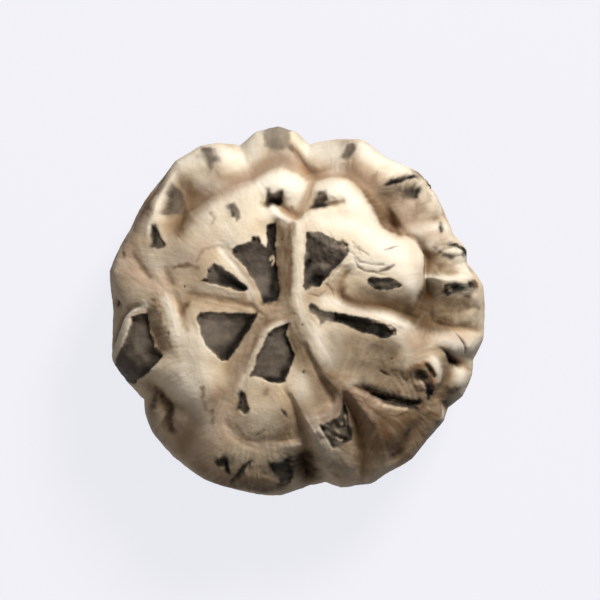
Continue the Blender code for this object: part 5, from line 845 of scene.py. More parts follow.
        (0.40, 1.40, [(4.8, -18.0), (6.6, -19.2)]),
        (0.50, 0.70, [(-6.2, 6.0), (-8.2, 8.6)]),
        (0.40, 2.00, [(-17.4, 6.2), (-14.6, 6.6)]),
        (0.55, 1.60, [(-9.4, 18.9), (-7.6, 18.6)]),
        (0.50, 1.20, [(4.2, 19.6), (5.0, 17.8)]),
        (0.45, 1.60, [(-14.2, -8.6), (-13.2, -10.6)]),
        (0.50, 0.62, [
            (0.2, 11.0), (0.1, 6.0), (0.1, 2.4), (0.5, 0.0), (1.0, -1.6), (2.2, -3.4), (3.1, -5.0),
            (3.9, -6.6)]),
        (0.45, 0.32, [
            (-0.6, -0.9), (-1.7, -1.3), (-3.0, -1.85), (-4.0, -2.6), (-5.0, -4.2), (-5.9, -6.2),
            (-6.7, -8.6), (-7.2, -10.4)]),
        (0.60, 0.50, [(-5.6, 1.9), (-6.8, 4.1), (-8.4, 6.4), (-9.6, 8.2)]),
        (0.30, 0.50, [(-7.4, 2.0), (-9.0, 2.3), (-12.0, 2.9)]),
        (0.70, 0.55, [(-16.2, 1.4), (-15.5, 0.0), (-14.9, -1.6), (-14.7, -3.4)]),
        (0.45, 2.20, [(-13.4, -3.4), (-13.2, -6.4), (-12.2, -8.0)]),
        (0.20, 1.80, [(-15.8, -8.4), (-14.6, -9.4)]),
        (0.70, 0.55, [(-18.6, 0.5), (-20.2, 0.0), (-21.1, -1.2), (-21.9, -3.2), (-22.6, -5.2)]),
        (0.60, 0.30, [(-14.9, 16.6), (-15.8, 14.8), (-16.6, 12.8), (-17.3, 11.0), (-18.0, 9.4)]),
        (0.70, 0.50, [(-4.0, 12.2), (-3.1, 12.8), (-2.2, 11.7), (-0.8, 11.2)]),
        (0.70, 1.30, [(-4.4, 15.6), (-2.0, 16.6), (0.2, 15.4), (-0.6, 13.8)]),
        (0.70, 1.00, [(3.2, 15.2), (5.4, 14.9), (6.9, 13.4)]),
        (0.70, 1.50, [(3.6, 11.0), (7.0, 10.8), (9.4, 9.0), (12.6, 7.0)]),
        (0.60, 1.00, [(7.4, 6.2), (10.4, 5.8), (13.4, 5.0), (14.2, 3.4)]),
        (0.65, 0.80, [(3.4, 1.1), (6.0, 0.7), (9.0, 0.0), (11.8, -0.9), (13.6, -1.8)]),
        (0.30, 0.34, [(6.2, -9.0), (7.2, -8.6), (8.4, -9.2)]),
        (0.25, 0.36, [(1.3, -13.4), (2.6, -13.2), (4.0, -12.7), (4.8, -11.6), (5.3, -10.2)]),
        (0.50, 1.20, [(0.4, -8.4), (0.6, -10.4)]),
        (0.40, 0.80, [(12.6, -3.6), (13.4, -5.0), (13.2, -6.4)]),
        (0.35, 0.60, [(4.6, -2.2), (5.4, -3.4)]),
        (0.60, 0.60, [(18.4, -3.9), (19.4, -4.3), (20.3, -5.0)]),
        (0.55, 0.34, [(16.4, -5.8), (17.1, -6.5), (17.5, -7.6), (17.2, -8.9)]),
        (0.85, 0.34, [(18.3, 7.5), (19.2, 7.35), (20.0, 6.9)]),
        (0.80, 0.80, [(20.2, 5.9), (20.6, 5.1)]),
        (0.60, 0.50, [(16.2, 4.3), (18.2, 4.2), (20.2, 4.3)]),
        (0.60, 0.80, [(20.2, -7.7), (20.9, -8.6)]),
        (0.70, 0.30, [(18.1, -12.0), (18.2, -13.2)]),
        (0.60, 0.90, [(16.4, 13.8), (17.4, 12.6)]),
        (0.60, 0.60, [(14.4, 10.2), (16.6, 10.2), (18.4, 10.0)]),
        (0.60, 1.00, [(1.6, 20.2), (3.2, 19.2), (4.6, 19.4)]),
        (0.60, 1.20, [(8.6, 19.2), (11.0, 18.0), (13.4, 17.0)]),
        (0.50, 1.20, [(-5.6, 20.6), (-6.0, 19.0)]),
        (0.60, 1.00, [(-14.2, 18.0), (-12.6, 18.8)]),
        (0.30, 2.40, [(-10.4, 10.4), (-8.6, 10.0)]),
    ],
    "rust": [
        (0.45, 0.40, [(-1.6, 12.6), (-1.0, 12.0), (-0.4, 11.6)]),
        (0.80, 0.40, [(21.6, 3.5), (21.9, 3.1)]),
        (0.40, 0.80, [(-17.8, 14.0), (-17.0, 14.4)]),
        (0.50, 0.50, [(1.2, 17.6), (0.8, 18.2)]),
        (0.40, 0.60, [(-22.2, -3.4), (-22.6, -4.4)]),
        (0.50, 0.40, [(16.6, 1.8), (16.8, 2.6)]),
        (0.40, 0.50, [(10.6, -14.4), (10.8, -15.2)]),
        (0.50, 0.50, [(12.8, -18.8), (13.6, -18.0)]),
        (0.50, 0.60, [(4.6, -20.2), (5.2, -20.6)]),
        (0.50, 0.45, [(16.8, -8.4), (17.0, -9.0)]),
        (0.70, 0.30, [(15.4, -6.3), (16.0, -6.8), (16.6, -7.6)]),
        (0.50, 0.45, [(19.3, -5.7), (20.1, -6.3), (20.9, -6.8)]),
    ],
    # Grey: painted shade in valleys and slots, in places the skin's olive grey
    "grey": [
        (0.35, 1.60, [(3.6, 19.6), (5.4, 19.6)]),
        (0.80, 1.20, [(15.4, -1.0), (17.6, -1.6)]),
        (0.80, 1.00, [(9.6, -4.3), (11.6, -4.7)]),
        (0.60, 2.60, [(5.8, -5.4), (9.0, -6.8), (12.2, -6.8)]),
        (0.45, 1.00, [(4.6, -3.0), (8.0, -3.8), (11.6, -4.4)]),
        (0.60, 1.60, [(-7.6, -17.8), (-4.6, -18.2), (-1.8, -17.6)]),
        (0.30, 2.00, [(3.4, -16.2), (3.8, -18.0)]),
        (0.60, 1.20, [(16.6, 2.8), (16.3, 1.0), (16.2, -0.6), (17.4, -1.2)]),
        (0.50, 1.20, [(9.6, 1.2), (12.6, 1.0)]),
        (0.80, 1.00, [(10.8, 14.9), (12.6, 15.0), (14.2, 14.9)]),
        (0.55, 1.10, [(18.8, 1.2), (20.4, 1.0)]),
        (0.50, 1.40, [(6.8, -12.6), (7.2, -14.6)]),
        (0.45, 1.00, [(18.3, -6.4), (18.4, -8.4)]),
        (0.40, 1.60, [(9.4, 2.1), (12.0, 2.2)]),
        (0.20, 1.20, [(17.2, 6.0), (18.4, 5.6)]),
        (0.40, 1.80, [(-1.6, -14.8), (-2.8, -13.8)]),
        (0.45, 1.60, [(-2.4, 20.0), (-2.2, 19.0)]),
        (0.50, 0.90, [(-14.8, 15.6), (-15.0, 13.6), (-15.6, 12.2)]),
        (0.40, 1.20, [(2.6, -9.4), (2.9, -10.6)]),
        (0.40, 1.50, [(6.2, -17.6), (5.6, -18.8)]),
        (0.35, 2.20, [(0.6, -4.6), (0.4, -2.6)]),
    ],
}

# Where the skin is torn into small flakes: how strongly, half width, and the line along the middle
TORN = [
    (0.9, 1.6, [(2.6, 7.6), (4.6, 6.8)]),
    (0.7, 1.2, [(4.6, 8.8), (6.6, 7.4)]),
    (0.8, 0.9, [(1.6, 3.4), (3.4, 3.4), (4.6, 5.2)]),
    (0.9, 1.6, [(13.6, -7.6), (16.0, -8.6), (16.2, -10.6)]),
    (0.8, 1.3, [(7.6, -10.2), (10.8, -11.6), (15.0, -12.2)]),
    (0.6, 2.0, [(8.6, -4.6), (11.6, -6.4)]),
    (0.9, 1.6, [(12.4, 15.4), (15.0, 15.6), (16.6, 15.4)]),
    (0.8, 1.3, [(17.4, 7.8), (20.2, 7.0)]),
    (0.8, 1.0, [(18.4, 2.8), (21.4, 2.8)]),
    (0.7, 1.0, [(-4.0, 6.6), (-3.0, 6.0), (-2.6, 8.6)]),
    (0.6, 1.0, [(-3.8, 13.8), (-2.0, 14.2)]),
    (0.6, 1.0, [(2.2, 13.4), (4.0, 13.6)]),
    (0.7, 1.6, [(3.2, -14.8), (5.6, -14.8)]),
    (0.6, 1.2, [(-9.6, -18.6), (-6.4, -19.6), (-2.0, -20.4)]),
    (0.6, 1.0, [(-17.4, -10.4), (-16.0, -13.4)]),
    (0.7, 0.8, [(9.4, -2.2), (12.0, -2.8)]),
]

# Small round pits, painted dark inside as shade: middle, radius and depth
DOTS = [
    (0.6, -1.7, 0.14, 0.2), (-16.6, -0.3, 0.14, 0.2), (-15.8, -2.7, 0.13, 0.2), (-13.9, 3.1, 0.16, 0.15),
    (15.0, -7.9, 0.75, 0.7), (11.7, -5.8, 0.2, 0.15), (2.5, 4.0, 0.6, 0.4), (1.6, 6.0, 0.3, 0.3),
    (17.5, 9.9, 0.35, 0.3), (0.9, -7.3, 0.2, 0.1),
]

# Cap's outer line: its points, the step over which its slope is taken, and how much further down the
# side a point lies that is drawn outside the widest line
PROFILE_POINTS = 300
SLOPE_STEP = 0.0002
SIDE_STRETCH = 3.0

# Waves of the outline: the share of the radius from which they set in, and what the rim's bottom loses
OUTLINE_START = 0.6
OUTLINE_LOSS = 0.5

# Relief stands straight up on the crown and turns outward between these shares of the radius, by less
# than the slope there
LEAN_START = 0.55
LEAN_END = 0.9
LEAN_OUT = 0.7

# Skin's own stretch: how high the folds stand against the drawn heights, how much the skin swells
# everywhere, in 1 over mm, the grids that it is worked out on, with their passes, and how much its
# sharp, soft and broad forms are evened out
FOLD_HEIGHT = 1.6
BASE_SWELL = 0.10
SWELL_FADE = 0.003
PUFF_REACH = 1.5
GRID_REACH = 0.0385
GRID_PASSES = {0.0008: 300, 0.0004: 250, 0.0002: 250}
DRAWN_SPACING = 0.4
SHARP_SPREAD = 1
SOFT_SPREAD = 34
SOFT_REACH = 0.0016
BROAD_SPREAD = 9
RELIEF_AT_OUTLINE = 0.12
RELIEF_FADE = 0.007

# Folds and strokes wander from their drawn lines by this much, over places of this size
WANDER = 0.00022
WANDER_SIZE = 0.0031
WANDER_SEEDS = (1, 2)

# Layers of fraying and roughness: height, size and seed of each
BORDER_FRAY = ((0.00011, 0.0011, 3), (0.00007, 0.0005, 4))
STAIN_FRAY = ((0.00016, 0.0007, 9), (0.00008, 0.0004, 10))
ROUGHNESS = ((0.00010, 0.0042, 6), (0.00004, 0.0013, 7), (0.000014, 0.0005, 8))

# Fine wrinkles that run along the folds
WRINKLE_HEIGHT = 0.000045
WRINKLE_WIDTH = 0.00042
WRINKLE_LENGTH = 5.0
WRINKLE_REACH = 0.0018
WRINKLE_SEED = 20

# Fibres of the flesh, drawn out along the way that the skin falls away, but round the middle of the
# crown, where they are weaker
FIBRE_STEP = 0.0001
FIBRE_WIDTH = 0.00042
FIBRE_REACH = 12
FIBRE_HEIGHT = 0.000014
FIBRE_TURN = 0.0145
FIBRE_TURN_WIDTH = 0.001
FIBRE_ON_CROWN = 0.35
FIBRE_LAYERS = ((1.0, FIBRE_WIDTH, 11), (0.6, 0.5 * FIBRE_WIDTH, 12))

# Sides of the cap: creases that run down them, and plates of brown skin, with where each sets in
CREASE_DEPTH = 0.00022
CREASE_WIDTH = 0.0021
CREASE_WANDER = 0.16
CREASE_SEED = 15
SIDE_START = 0.0015
SIDE_FULL = 0.0025
PLATE_HEIGHT = 0.00022
PLATE_SIZE = 0.0036
PLATE_JITTER = 0.32
PLATE_CRACK = 0.0003
PLATE_SEED = 5
PLATE_SHADE_LEAST = 0.6
PLATES_START = -0.001
PLATES_FULL = 0.006
PLATE_BEND = (0.0006, 0.0016, 16)
PLATE_FRAY = 2.0

# Cuts and dots: the depth from which a cut is painted fully black as shade, how much its width frays, how
# wide its painted shade is against it, how far round it points are looked at, and how much a dot frays
CUT_FULL_SHADE_DEPTH = 0.0003
CUT_FRAY = 0.3
CUT_SHADE_WIDTH = 1.3
CUT_REACH = 0.002
DOT_FRAY = 0.5

# Torn flakes: their thickness, the sizes and seeds of the random shapes that part them, how steep
# their edges are, and the shade under each edge
FLAKE_HEIGHT = 0.00016
FLAKE_SIZES = ((0.0026, 21), (0.0014, 22))
FLAKE_FRAY = 1.5
FLAKE_FIBRE = 0.10
FLAKE_EDGE = 0.06
FLAKE_SHADE = 0.07

# Strokes of stain fade from their middle line outward, the faster the larger the edge is, and are
# uneven with the fibres and with spots of this size
STROKE_EDGE = 2.2
STROKE_REACH = 2.4
STROKE_FIBRE = 0.22
STROKE_MOTTLE = (0.3, 0.0016, 14)

# Patches: width of their side walls seen from above, steep to the east and gentle to the north,
# where they end on the side of the cap, and how rough and mottled their skin is
WALL_WIDTH = 0.00030
GENTLE_WALL_WIDTH = 0.0012
GENTLE_WALL_FACING = (0.3, 0.9)
PATCH_FADE = 0.0045
PATCH_END = 0.002
PATCH_REACH = 0.002
PATCH_ROUGHNESS = 0.00012
PATCH_LAYERS = ((1.0, 0.0011, 40), (0.5, 0.0005, 70))
PATCH_MOTTLE = (0.6, 0.0012, 13)
PATCH_EDGE_OUTSIDE = 0.3

# Fineness of the cap's mesh, how far past the widest line its crown reaches, and the rim's inner side
CROWN_RINGS = 150
CROWN_STEP = 0.000165
CROWN_EDGE = 0.003
CROWN_GROWTH = 6
RIM_RINGS = 20
LIP_RINGS = 8
LIP_WAVE = 0.3
LIP_OVERLAP = 0.0006

# Hollows in the skin, against its height evened out, which the material paints as shade, and its crests as
# highlight: passes of evening, and the depth that counts as 1
HOLLOWS = {"hollow": (60, 0.0004), "fine_hollow": (6, 0.0001)}

# Where the side's colour sets in and where it is full, measured down the cap from its widest line
SIDE_COLOUR = (-0.002, 0.004)

# Waves of the rim's bottom: how many round the cap, their turn and their share
RIM_WAVES = ((3, 0.5, 1.0), (7, 2.0, 0.35))

# Cells along each side of the random grid behind the noise, after which it repeats
NOISE_CELLS = 64


def smooth_step(low, high, value):
    """0 below low, 1 above high, and an even curve between."""
    t = np.clip((value - low) / (high - low), 0.0, 1.0)
    return t * t * (3.0 - 2.0 * t)


def noise(points, size, seed):
    """Smooth random heights over the plane, about -1 to 1, with bumps about size across."""
    slopes = np.random.default_rng(seed).normal(size=(NOISE_CELLS, NOISE_CELLS, 2))
    slopes /= np.linalg.norm(slopes, axis=2, keepdims=True)
    grid = points / size
    cell = np.floor(grid).astype(int)
    inside = grid - cell
    ease = inside ** 3 * (inside * (inside * 6.0 - 15.0) + 10.0)
    corner = {}
    for i in (0, 1):
        for j in (0, 1):
            slope = slopes[(cell[:, 0] + i) % NOISE_CELLS, (cell[:, 1] + j) % NOISE_CELLS]
            corner[i, j] = ((inside - (i, j)) * slope).sum(axis=1)
    low = corner[0, 0] + (corner[1, 0] - corner[0, 0]) * ease[:, 0]
    high = corner[0, 1] + (corner[1, 1] - corner[0, 1]) * ease[:, 0]
    return 1.5 * (low + (high - low) * ease[:, 1])


def layered_noise(points, layers, seed_shift=0):
    """Layers of noise added up, each given by its height, its size and its seed."""
    return sum(height * noise(points, size, seed + seed_shift) for height, size, seed in layers)


def ring_points(radius, turn):
    """Points in the plan at a radius, or a radius for each, in the directions turn."""
    return np.stack([radius * np.cos(turn), radius * np.sin(turn)], axis=-1)


def ring_places(radius, turn, height):
    """Places in space at a radius and a height in the directions turn."""
    return np.stack([radius * np.cos(turn), radius * np.sin(turn), height], axis=-1)


def even_turns(count):
    """Directions evenly round the axis."""
    return math.tau * np.arange(count) / count


def grid_places(step):
    """The places of a square grid centred on the axis, and how many lie along one side."""
    count = int(GRID_REACH / step)
    axis = np.arange(-count, count + 1) * step
    return np.stack(np.meshgrid(axis, axis, indexing="ij"), axis=2).reshape(-1, 2), len(axis)


class Profile:
    """The cap's outer line from the crown to the rim's bottom, by the way walked along it."""

    def __init__(self):
        turn = np.linspace(0.0, math.pi / 2, PROFILE_POINTS)
        radius = CAP_RADIUS * np.sin(turn) ** (2 / CROWN_ROUNDNESS)
        height = WIDEST_Z + (CAP_TOP_Z - WIDEST_Z) * np.cos(turn).clip(0) ** (2 / SHOULDER_ROUNDNESS)
        turn = turn[1:]
        under = RIM_BOTTOM_RADIUS + (CAP_RADIUS - RIM_BOTTOM_RADIUS) * np.cos(turn)
        fall = WIDEST_Z - (WIDEST_Z - RIM_BOTTOM_Z) * np.sin(turn)
        self.radius = np.concatenate([radius, under])
        self.height = np.concatenate([height, fall])
        steps = np.hypot(np.diff(self.radius), np.diff(self.height))
        self.walk = np.concatenate([[0.0], np.cumsum(steps)])
        self.widest = self.walk[len(radius) - 1]
        self.end = self.walk[-1]

    def at(self, walk):
        return np.interp(walk, self.walk, self.radius), np.interp(walk, self.walk, self.height)

    def outward(self, walk):
        """The direction out of the surface, as its part away from the axis and its part up."""
        radius_before, height_before = self.at(walk - SLOPE_STEP)
        radius_after, height_after = self.at(walk + SLOPE_STEP)
        length = np.hypot(radius_after - radius_before, height_after - height_before) + 1e-12
        return (height_before - height_after) / length, (radius_after - radius_before) / length

    def walk_to(self, radius):
        """How far from the crown the cap reaches this radius, stretched past the widest line."""
        top = self.walk <= self.widest
        past = np.maximum(radius - CAP_RADIUS, 0.0)
        return np.interp(radius, self.radius[top], self.walk[top]) + SIDE_STRETCH * past


PROFILE = Profile()


def outline_scale(turn):
    """How far the cap's outline stands out in a direction, against a plain circle."""
    degrees = [point[0] for point in OUTLINE]
    reach = [point[1] * MM / CAP_RADIUS for point in OUTLINE]
    return np.interp(np.degrees(turn), degrees, reach, period=360)


def to_map(plan):
    """Points seen from above, moved outward to where the cap's skin would lie if unrolled flat."""
    turn = np.arctan2(plan[:, 1], plan[:, 0])
    radius = np.hypot(plan[:, 0], plan[:, 1])
    weight = smooth_step(OUTLINE_START, 1.0, radius / CAP_RADIUS)
    walk = PROFILE.walk_to(radius / (1.0 + weight * (outline_scale(turn) - 1.0)))
    return ring_points(walk, turn)


def line_distance(points, line):
    """Signed distance from an open line, and how far along the line the nearest place is."""
    best = np.full(len(points), np.inf)
    side = np.ones(len(points))
    along = np.zeros(len(points))
    passed = 0.0
    for start, end in zip(line[:-1], line[1:]):
        way = end - start
        length = math.hypot(*way)
        from_start = points - start
        part = np.clip((from_start @ way) / length ** 2, 0.0, 1.0)
        gap = np.hypot(*(from_start - part[:, None] * way).T)
        nearer = gap < best
        best = np.where(nearer, gap, best)
        cross = way[0] * from_start[:, 1] - way[1] * from_start[:, 0]
        side = np.where(nearer, np.where(cross < 0.0, -1.0, 1.0), side)
        along = np.where(nearer, passed + part * length, along)
        passed += length
    return side * best, along


def border_distance(points, border):
    """Distance from a closed border, below zero inside it, and how far north the nearest border is."""
    best = np.full(len(points), np.inf)
    north = np.zeros(len(points))
    inside = np.zeros(len(points), bool)
    for start, end in zip(border, np.roll(border, -1, axis=0)):
        way = end - start
        part = np.clip(((points - start) @ way) / (way @ way), 0.0, 1.0)
        away = points - start - part[:, None] * way
        gap = np.hypot(*away.T)
        nearer = gap < best
        best = np.where(nearer, gap, best)
        north = np.where(nearer, -away[:, 1] / (gap + 1e-9), north)
        if start[1] != end[1]:
            crosses = (start[1] > points[:, 1]) != (end[1] > points[:, 1])
            reach = start[0] + (points[:, 1] - start[1]) * way[0] / way[1]
            inside ^= crosses & (points[:, 0] < reach)
    return np.where(inside, -best, best), north


def near_line(points, line, reach):
    """Which points may lie within reach of a line."""
    low, high = line.min(axis=0) - reach, line.max(axis=0) + reach
    return np.flatnonzero(((points > low) & (points < high)).all(axis=1))


def line_lengths(line):
    return np.concatenate([[0.0], np.cumsum(np.hypot(*np.diff(line, axis=0).T))])


def sample_grid(grid, step, points):
    """Values at points from a square grid centred on the axis, evenly mixed between its corners."""
    middle = (len(grid) - 1) / 2
    place = np.clip(points / step + middle, 0.0, len(grid) - 1.001)
    cell = place.astype(int)
    (u, v), (i, j) = (place - cell).T, cell.T
    near = grid[i, j] * (1 - v) + grid[i, j + 1] * v
    far = grid[i + 1, j] * (1 - v) + grid[i + 1, j + 1] * v
    return near * (1 - u) + far * u


def smooth_grid(grid, passes):
    for _ in range(passes):
        for axis in (0, 1):
            grid = 0.5 * grid + 0.25 * (np.roll(grid, 1, axis) + np.roll(grid, -1, axis))
    return grid


class StretchedSkin:
    """The skin held at the folds' heights and puffed up between them, over the unrolled cap."""

    def __init__(self):
        coarse = np.zeros((3, 3))
        coarse_step = GRID_REACH
        for step, passes in GRID_PASSES.items():
            coarse = self.relax(step, passes, coarse, coarse_step)
            if coarse_step == GRID_REACH:
                self.broad_step = step
                self.broad = smooth_grid(coarse, BROAD_SPREAD)
            coarse_step = step
        self.step = coarse_step
        self.sharp = smooth_grid(coarse, SHARP_SPREAD)
        self.soft = smooth_grid(coarse, SOFT_SPREAD)

    def relax(self, step, passes, coarse, coarse_step):
        places, side_count = grid_places(step)
        height = sample_grid(coarse, coarse_step, places).reshape(side_count, side_count)
        walk = np.hypot(*places.T).reshape(height.shape)
        held = walk > PROFILE.end
        height[held] = 0.0
        total = np.zeros_like(height)
        number = np.zeros_like(height)
        for corners in [*SHARP_FOLDS.values(), *SOFT_FOLDS.values()]:
            values = np.array(corners) * MM
            line = to_map(values[:, :2])
            lengths = line_lengths(line)
            stops = np.linspace(0.0, lengths[-1], int(lengths[-1] / (DRAWN_SPACING * step)) + 2)
            cells = [np.rint(np.interp(stops, lengths, line[:, side]) / step).astype(int) + side_count // 2
                     for side in (0, 1)]
            np.add.at(total, tuple(cells), np.interp(stops, lengths, values[:, 2]))
            np.add.at(number, tuple(cells), 1.0)
        drawn = number > 0
        height[drawn] = total[drawn] / number[drawn]
        held |= drawn
        swell = np.full(len(places), BASE_SWELL)
        for x, y, length, width, turn, extra in PUFFS:
            middle = to_map(np.array([[x, y]]) * MM)[0]
            cos, sin = math.cos(math.radians(turn)), math.sin(math.radians(turn))
            away = places - middle
            across = (away @ (cos, sin) / (length * MM)) ** 2 + (away @ (-sin, cos) / (width * MM)) ** 2
            swell += extra * np.clip(PUFF_REACH - across, 0.0, 1.0)
        swell = swell.reshape(height.shape)
        swell *= 1.0 - smooth_step(PROFILE.widest - SWELL_FADE, PROFILE.widest, walk)
        push = swell / MM * step ** 2 / 4
        inner = (slice(1, -1), slice(1, -1))
        for _ in range(passes):
            mean = (height[:-2, 1:-1] + height[2:, 1:-1] + height[1:-1, :-2] + height[1:-1, 2:]) / 4
            height[inner] = np.where(held[inner], height[inner], mean + push[inner])
        return height

    def at(self, points, softness):
        """Height at points, from the sharp folds where softness is 0 to the soft ones where it is 1."""
        sharp = sample_grid(self.sharp, self.step, points)
        return sharp + softness * (sample_grid(self.soft, self.step, points) - sharp)


class Fibres:
    """Random shades over the unrolled cap, drawn out down the skin, and round the crown's middle."""

    def __init__(self, skin):
        places, side_count = grid_places(FIBRE_STEP)
        shade = layered_noise(places, FIBRE_LAYERS).reshape(side_count, side_count)
        walk = np.hypot(*places.T)
        dome = PROFILE.at(walk)[1].reshape(shade.shape)
        relief = FOLD_HEIGHT * sample_grid(skin.soft, skin.step, places).reshape(shade.shape)
        fall = np.stack(np.gradient(dome + relief, FIBRE_STEP), axis=2)
        fall /= np.linalg.norm(fall, axis=2, keepdims=True) + 1e-9
        inner = (walk < FIBRE_TURN).reshape(shade.shape)
        fall[inner] = np.stack([-fall[..., 1], fall[..., 0]], axis=2)[inner]
        total = shade.ravel().copy()
        for sign in (-1.0, 1.0):
            at = places.copy()
            for _ in range(FIBRE_REACH):
                way = np.stack([sample_grid(fall[..., side], FIBRE_STEP, at) for side in (0, 1)], axis=1)
                at = at + sign * FIBRE_STEP * way
                total += sample_grid(shade, FIBRE_STEP, at)
        self.shade = (total / total.std()).reshape(shade.shape)

    def at(self, points):
        return sample_grid(self.shade, FIBRE_STEP, points)


class Relief:
    """Height of the skin over the plain dome for points of the unrolled cap, and what colours it."""

    def __init__(self, points):
        self.plain = points
        self.walk = np.hypot(*points.T)
        self.points = points + WANDER * np.stack(
            [noise(points, WANDER_SIZE, seed) for seed in WANDER_SEEDS], axis=1)
        self.fray = layered_noise(points, BORDER_FRAY)
        softness = self.fold_softness()
        skin = StretchedSkin()
        self.fibre = Fibres(skin).at(self.plain)
        self.fibre *= FIBRE_ON_CROWN + (1.0 - FIBRE_ON_CROWN) * smooth_step(
            FIBRE_TURN - FIBRE_TURN_WIDTH, FIBRE_TURN + FIBRE_TURN_WIDTH, self.walk)
        self.height = FOLD_HEIGHT * skin.at(self.points, softness)
        broad = FOLD_HEIGHT * sample_grid(skin.broad, skin.broad_step, self.points)
        self.broad_hollow = (broad - self.height) / MM
        self.height *= 1.0 - (1.0 - RELIEF_AT_OUTLINE) * smooth_step(
            PROFILE.widest - RELIEF_FADE, PROFILE.widest, self.walk)
        self.cut = np.zeros(len(points))
        self.add_wrinkles(softness)
        self.add_patches()
        self.add_cuts()
        self.add_roughness()
        self.add_flakes()
        self.add_side()
        self.stains_and_painted_light = {colour: self.stain(strokes) for colour, strokes in STAINS_AND_PAINTED_LIGHT.items()}

    def fold_softness(self):
        softness = np.zeros(len(self.points))
        for corners in SOFT_FOLDS.values():
            line = to_map(np.array(corners)[:, :2] * MM)
            near = near_line(self.points, line, 2 * SOFT_REACH)
            gap, _ = line_distance(self.points[near], line)
            softness[near] = np.maximum(softness[near], np.exp(-(gap / SOFT_REACH) ** 2))
        return softness

    def add_wrinkles(self, softness):
        for number, corners in enumerate(SHARP_FOLDS.values()):
            line = to_map(np.array(corners)[:, :2] * MM)
            near = near_line(self.points, line, 2 * WRINKLE_REACH)
            gap, along = line_distance(self.points[near], line)
            drawn_out = np.stack([along / WRINKLE_LENGTH, gap], axis=1)
            streak = noise(drawn_out, WRINKLE_WIDTH, WRINKLE_SEED + number)
            fade = np.exp(-(gap / WRINKLE_REACH) ** 2) * (1.0 - softness[near])
            self.height[near] += WRINKLE_HEIGHT * streak * fade

    def add_patches(self):
        fade = 1.0 - smooth_step(PROFILE.widest - PATCH_FADE, PROFILE.widest + PATCH_END, self.walk)
        share, size, seed = PATCH_MOTTLE
        self.dark = np.zeros(len(self.plain))
        for number, (depth, roughness, edge, strength, corners) in enumerate(PATCHES.values()):
            border = to_map(np.array(corners) * MM)
            near = near_line(self.plain, border, PATCH_REACH)
            gap, north = border_distance(self.plain[near], border)
            gap += self.fray[near]
            wall = WALL_WIDTH + (GENTLE_WALL_WIDTH - WALL_WIDTH) * smooth_step(*GENTLE_WALL_FACING, north)
            floor = smooth_step(0.0, 1.0, -gap / wall)
            rough = layered_noise(self.plain[near], PATCH_LAYERS, number) * (PATCH_ROUGHNESS * roughness)
            self.height[near] += floor * (rough - depth * MM) * fade[near]
            blur = edge * MM
            mottle = gap + share * blur * noise(self.plain[near], size, seed)
            shade = strength * (1.0 - smooth_step(-blur, PATCH_EDGE_OUTSIDE * blur, mottle))
            self.dark[near] = np.maximum(self.dark[near], shade)

    def add_cuts(self):
        for corners in CUTS.values():
            values = np.array(corners) * MM
            line = to_map(values[:, :2])
            near = near_line(self.points, line, CUT_REACH)
            gap, along = line_distance(self.points[near], line)
            lengths = line_lengths(line)
            depth = np.interp(along, lengths, values[:, 2])
            width = np.interp(along, lengths, values[:, 3]) + CUT_FRAY * self.fray[near]
            self.height[near] -= depth * np.exp(-(gap / width) ** 2)
            # Painted shade: the deeper the cut, the blacker its middle
            shade = np.clip(depth / CUT_FULL_SHADE_DEPTH, 0.0, 1.0)
            shade *= np.exp(-(gap / (CUT_SHADE_WIDTH * width)) ** 2)
            self.cut[near] = np.maximum(self.cut[near], shade)
        for x, y, radius, depth in DOTS:
            middle = to_map(np.array([[x, y]]) * MM)[0]
            gap = np.hypot(*(self.points - middle).T) + DOT_FRAY * self.fray
            pit = np.exp(-(np.maximum(gap, 0.0) / (radius * MM)) ** 4)
            self.height -= depth * MM * pit
            # Each pit is painted dark as shade
            self.cut = np.maximum(self.cut, pit)

    def add_roughness(self):
        self.height += FIBRE_HEIGHT * self.fibre * (1.0 - self.dark)
        for height, size, seed in ROUGHNESS:
            self.height += height * noise(self.plain, size, seed)

    def add_flakes(self):
        """Torn skin: thin ragged flakes, each a little higher than the next."""
        torn = self.stain(TORN)
        self.flake_edge_shade = np.zeros(len(self.plain))
        for size, seed in FLAKE_SIZES:
            shape = noise(self.plain + FLAKE_FRAY * self.fray[:, None], size, seed)
            shape += FLAKE_FIBRE * self.fibre
            self.height += FLAKE_HEIGHT * (smooth_step(-FLAKE_EDGE, FLAKE_EDGE, shape) - 0.5) * torn
            # Painted shade under the edge of each flake
            under = np.exp(-((shape + FLAKE_SHADE) / FLAKE_SHADE) ** 2)
            self.flake_edge_shade = np.maximum(self.flake_edge_shade, under * torn)

    def add_side(self):
        """Creases down the side of the cap, and brown skin that is left there in plates."""
        walk = np.maximum(self.walk, 1e-6)[:, None]
        round_cap = self.plain / walk * (CAP_RADIUS + CREASE_WANDER * (walk - PROFILE.widest))
        crease = 1.0 - np.abs(noise(round_cap, CREASE_WIDTH, CREASE_SEED)) * 2.0
        down = smooth_step(PROFILE.widest - SIDE_START, PROFILE.widest + SIDE_FULL, self.walk)
        self.height -= CREASE_DEPTH * crease.clip(-1.0) * down
        turn = np.arctan2(self.plain[:, 1], self.plain[:, 0])
        bend = layered_noise(self.plain, [PLATE_BEND]) + PLATE_FRAY * self.fray
        gap, shade = plate_gaps(CAP_RADIUS * turn + bend, self.walk + bend)
        inside = smooth_step(0.5 * PLATE_CRACK, 1.5 * PLATE_CRACK, gap) * down
        self.plate = shade * inside
        self.height += PLATE_HEIGHT * inside

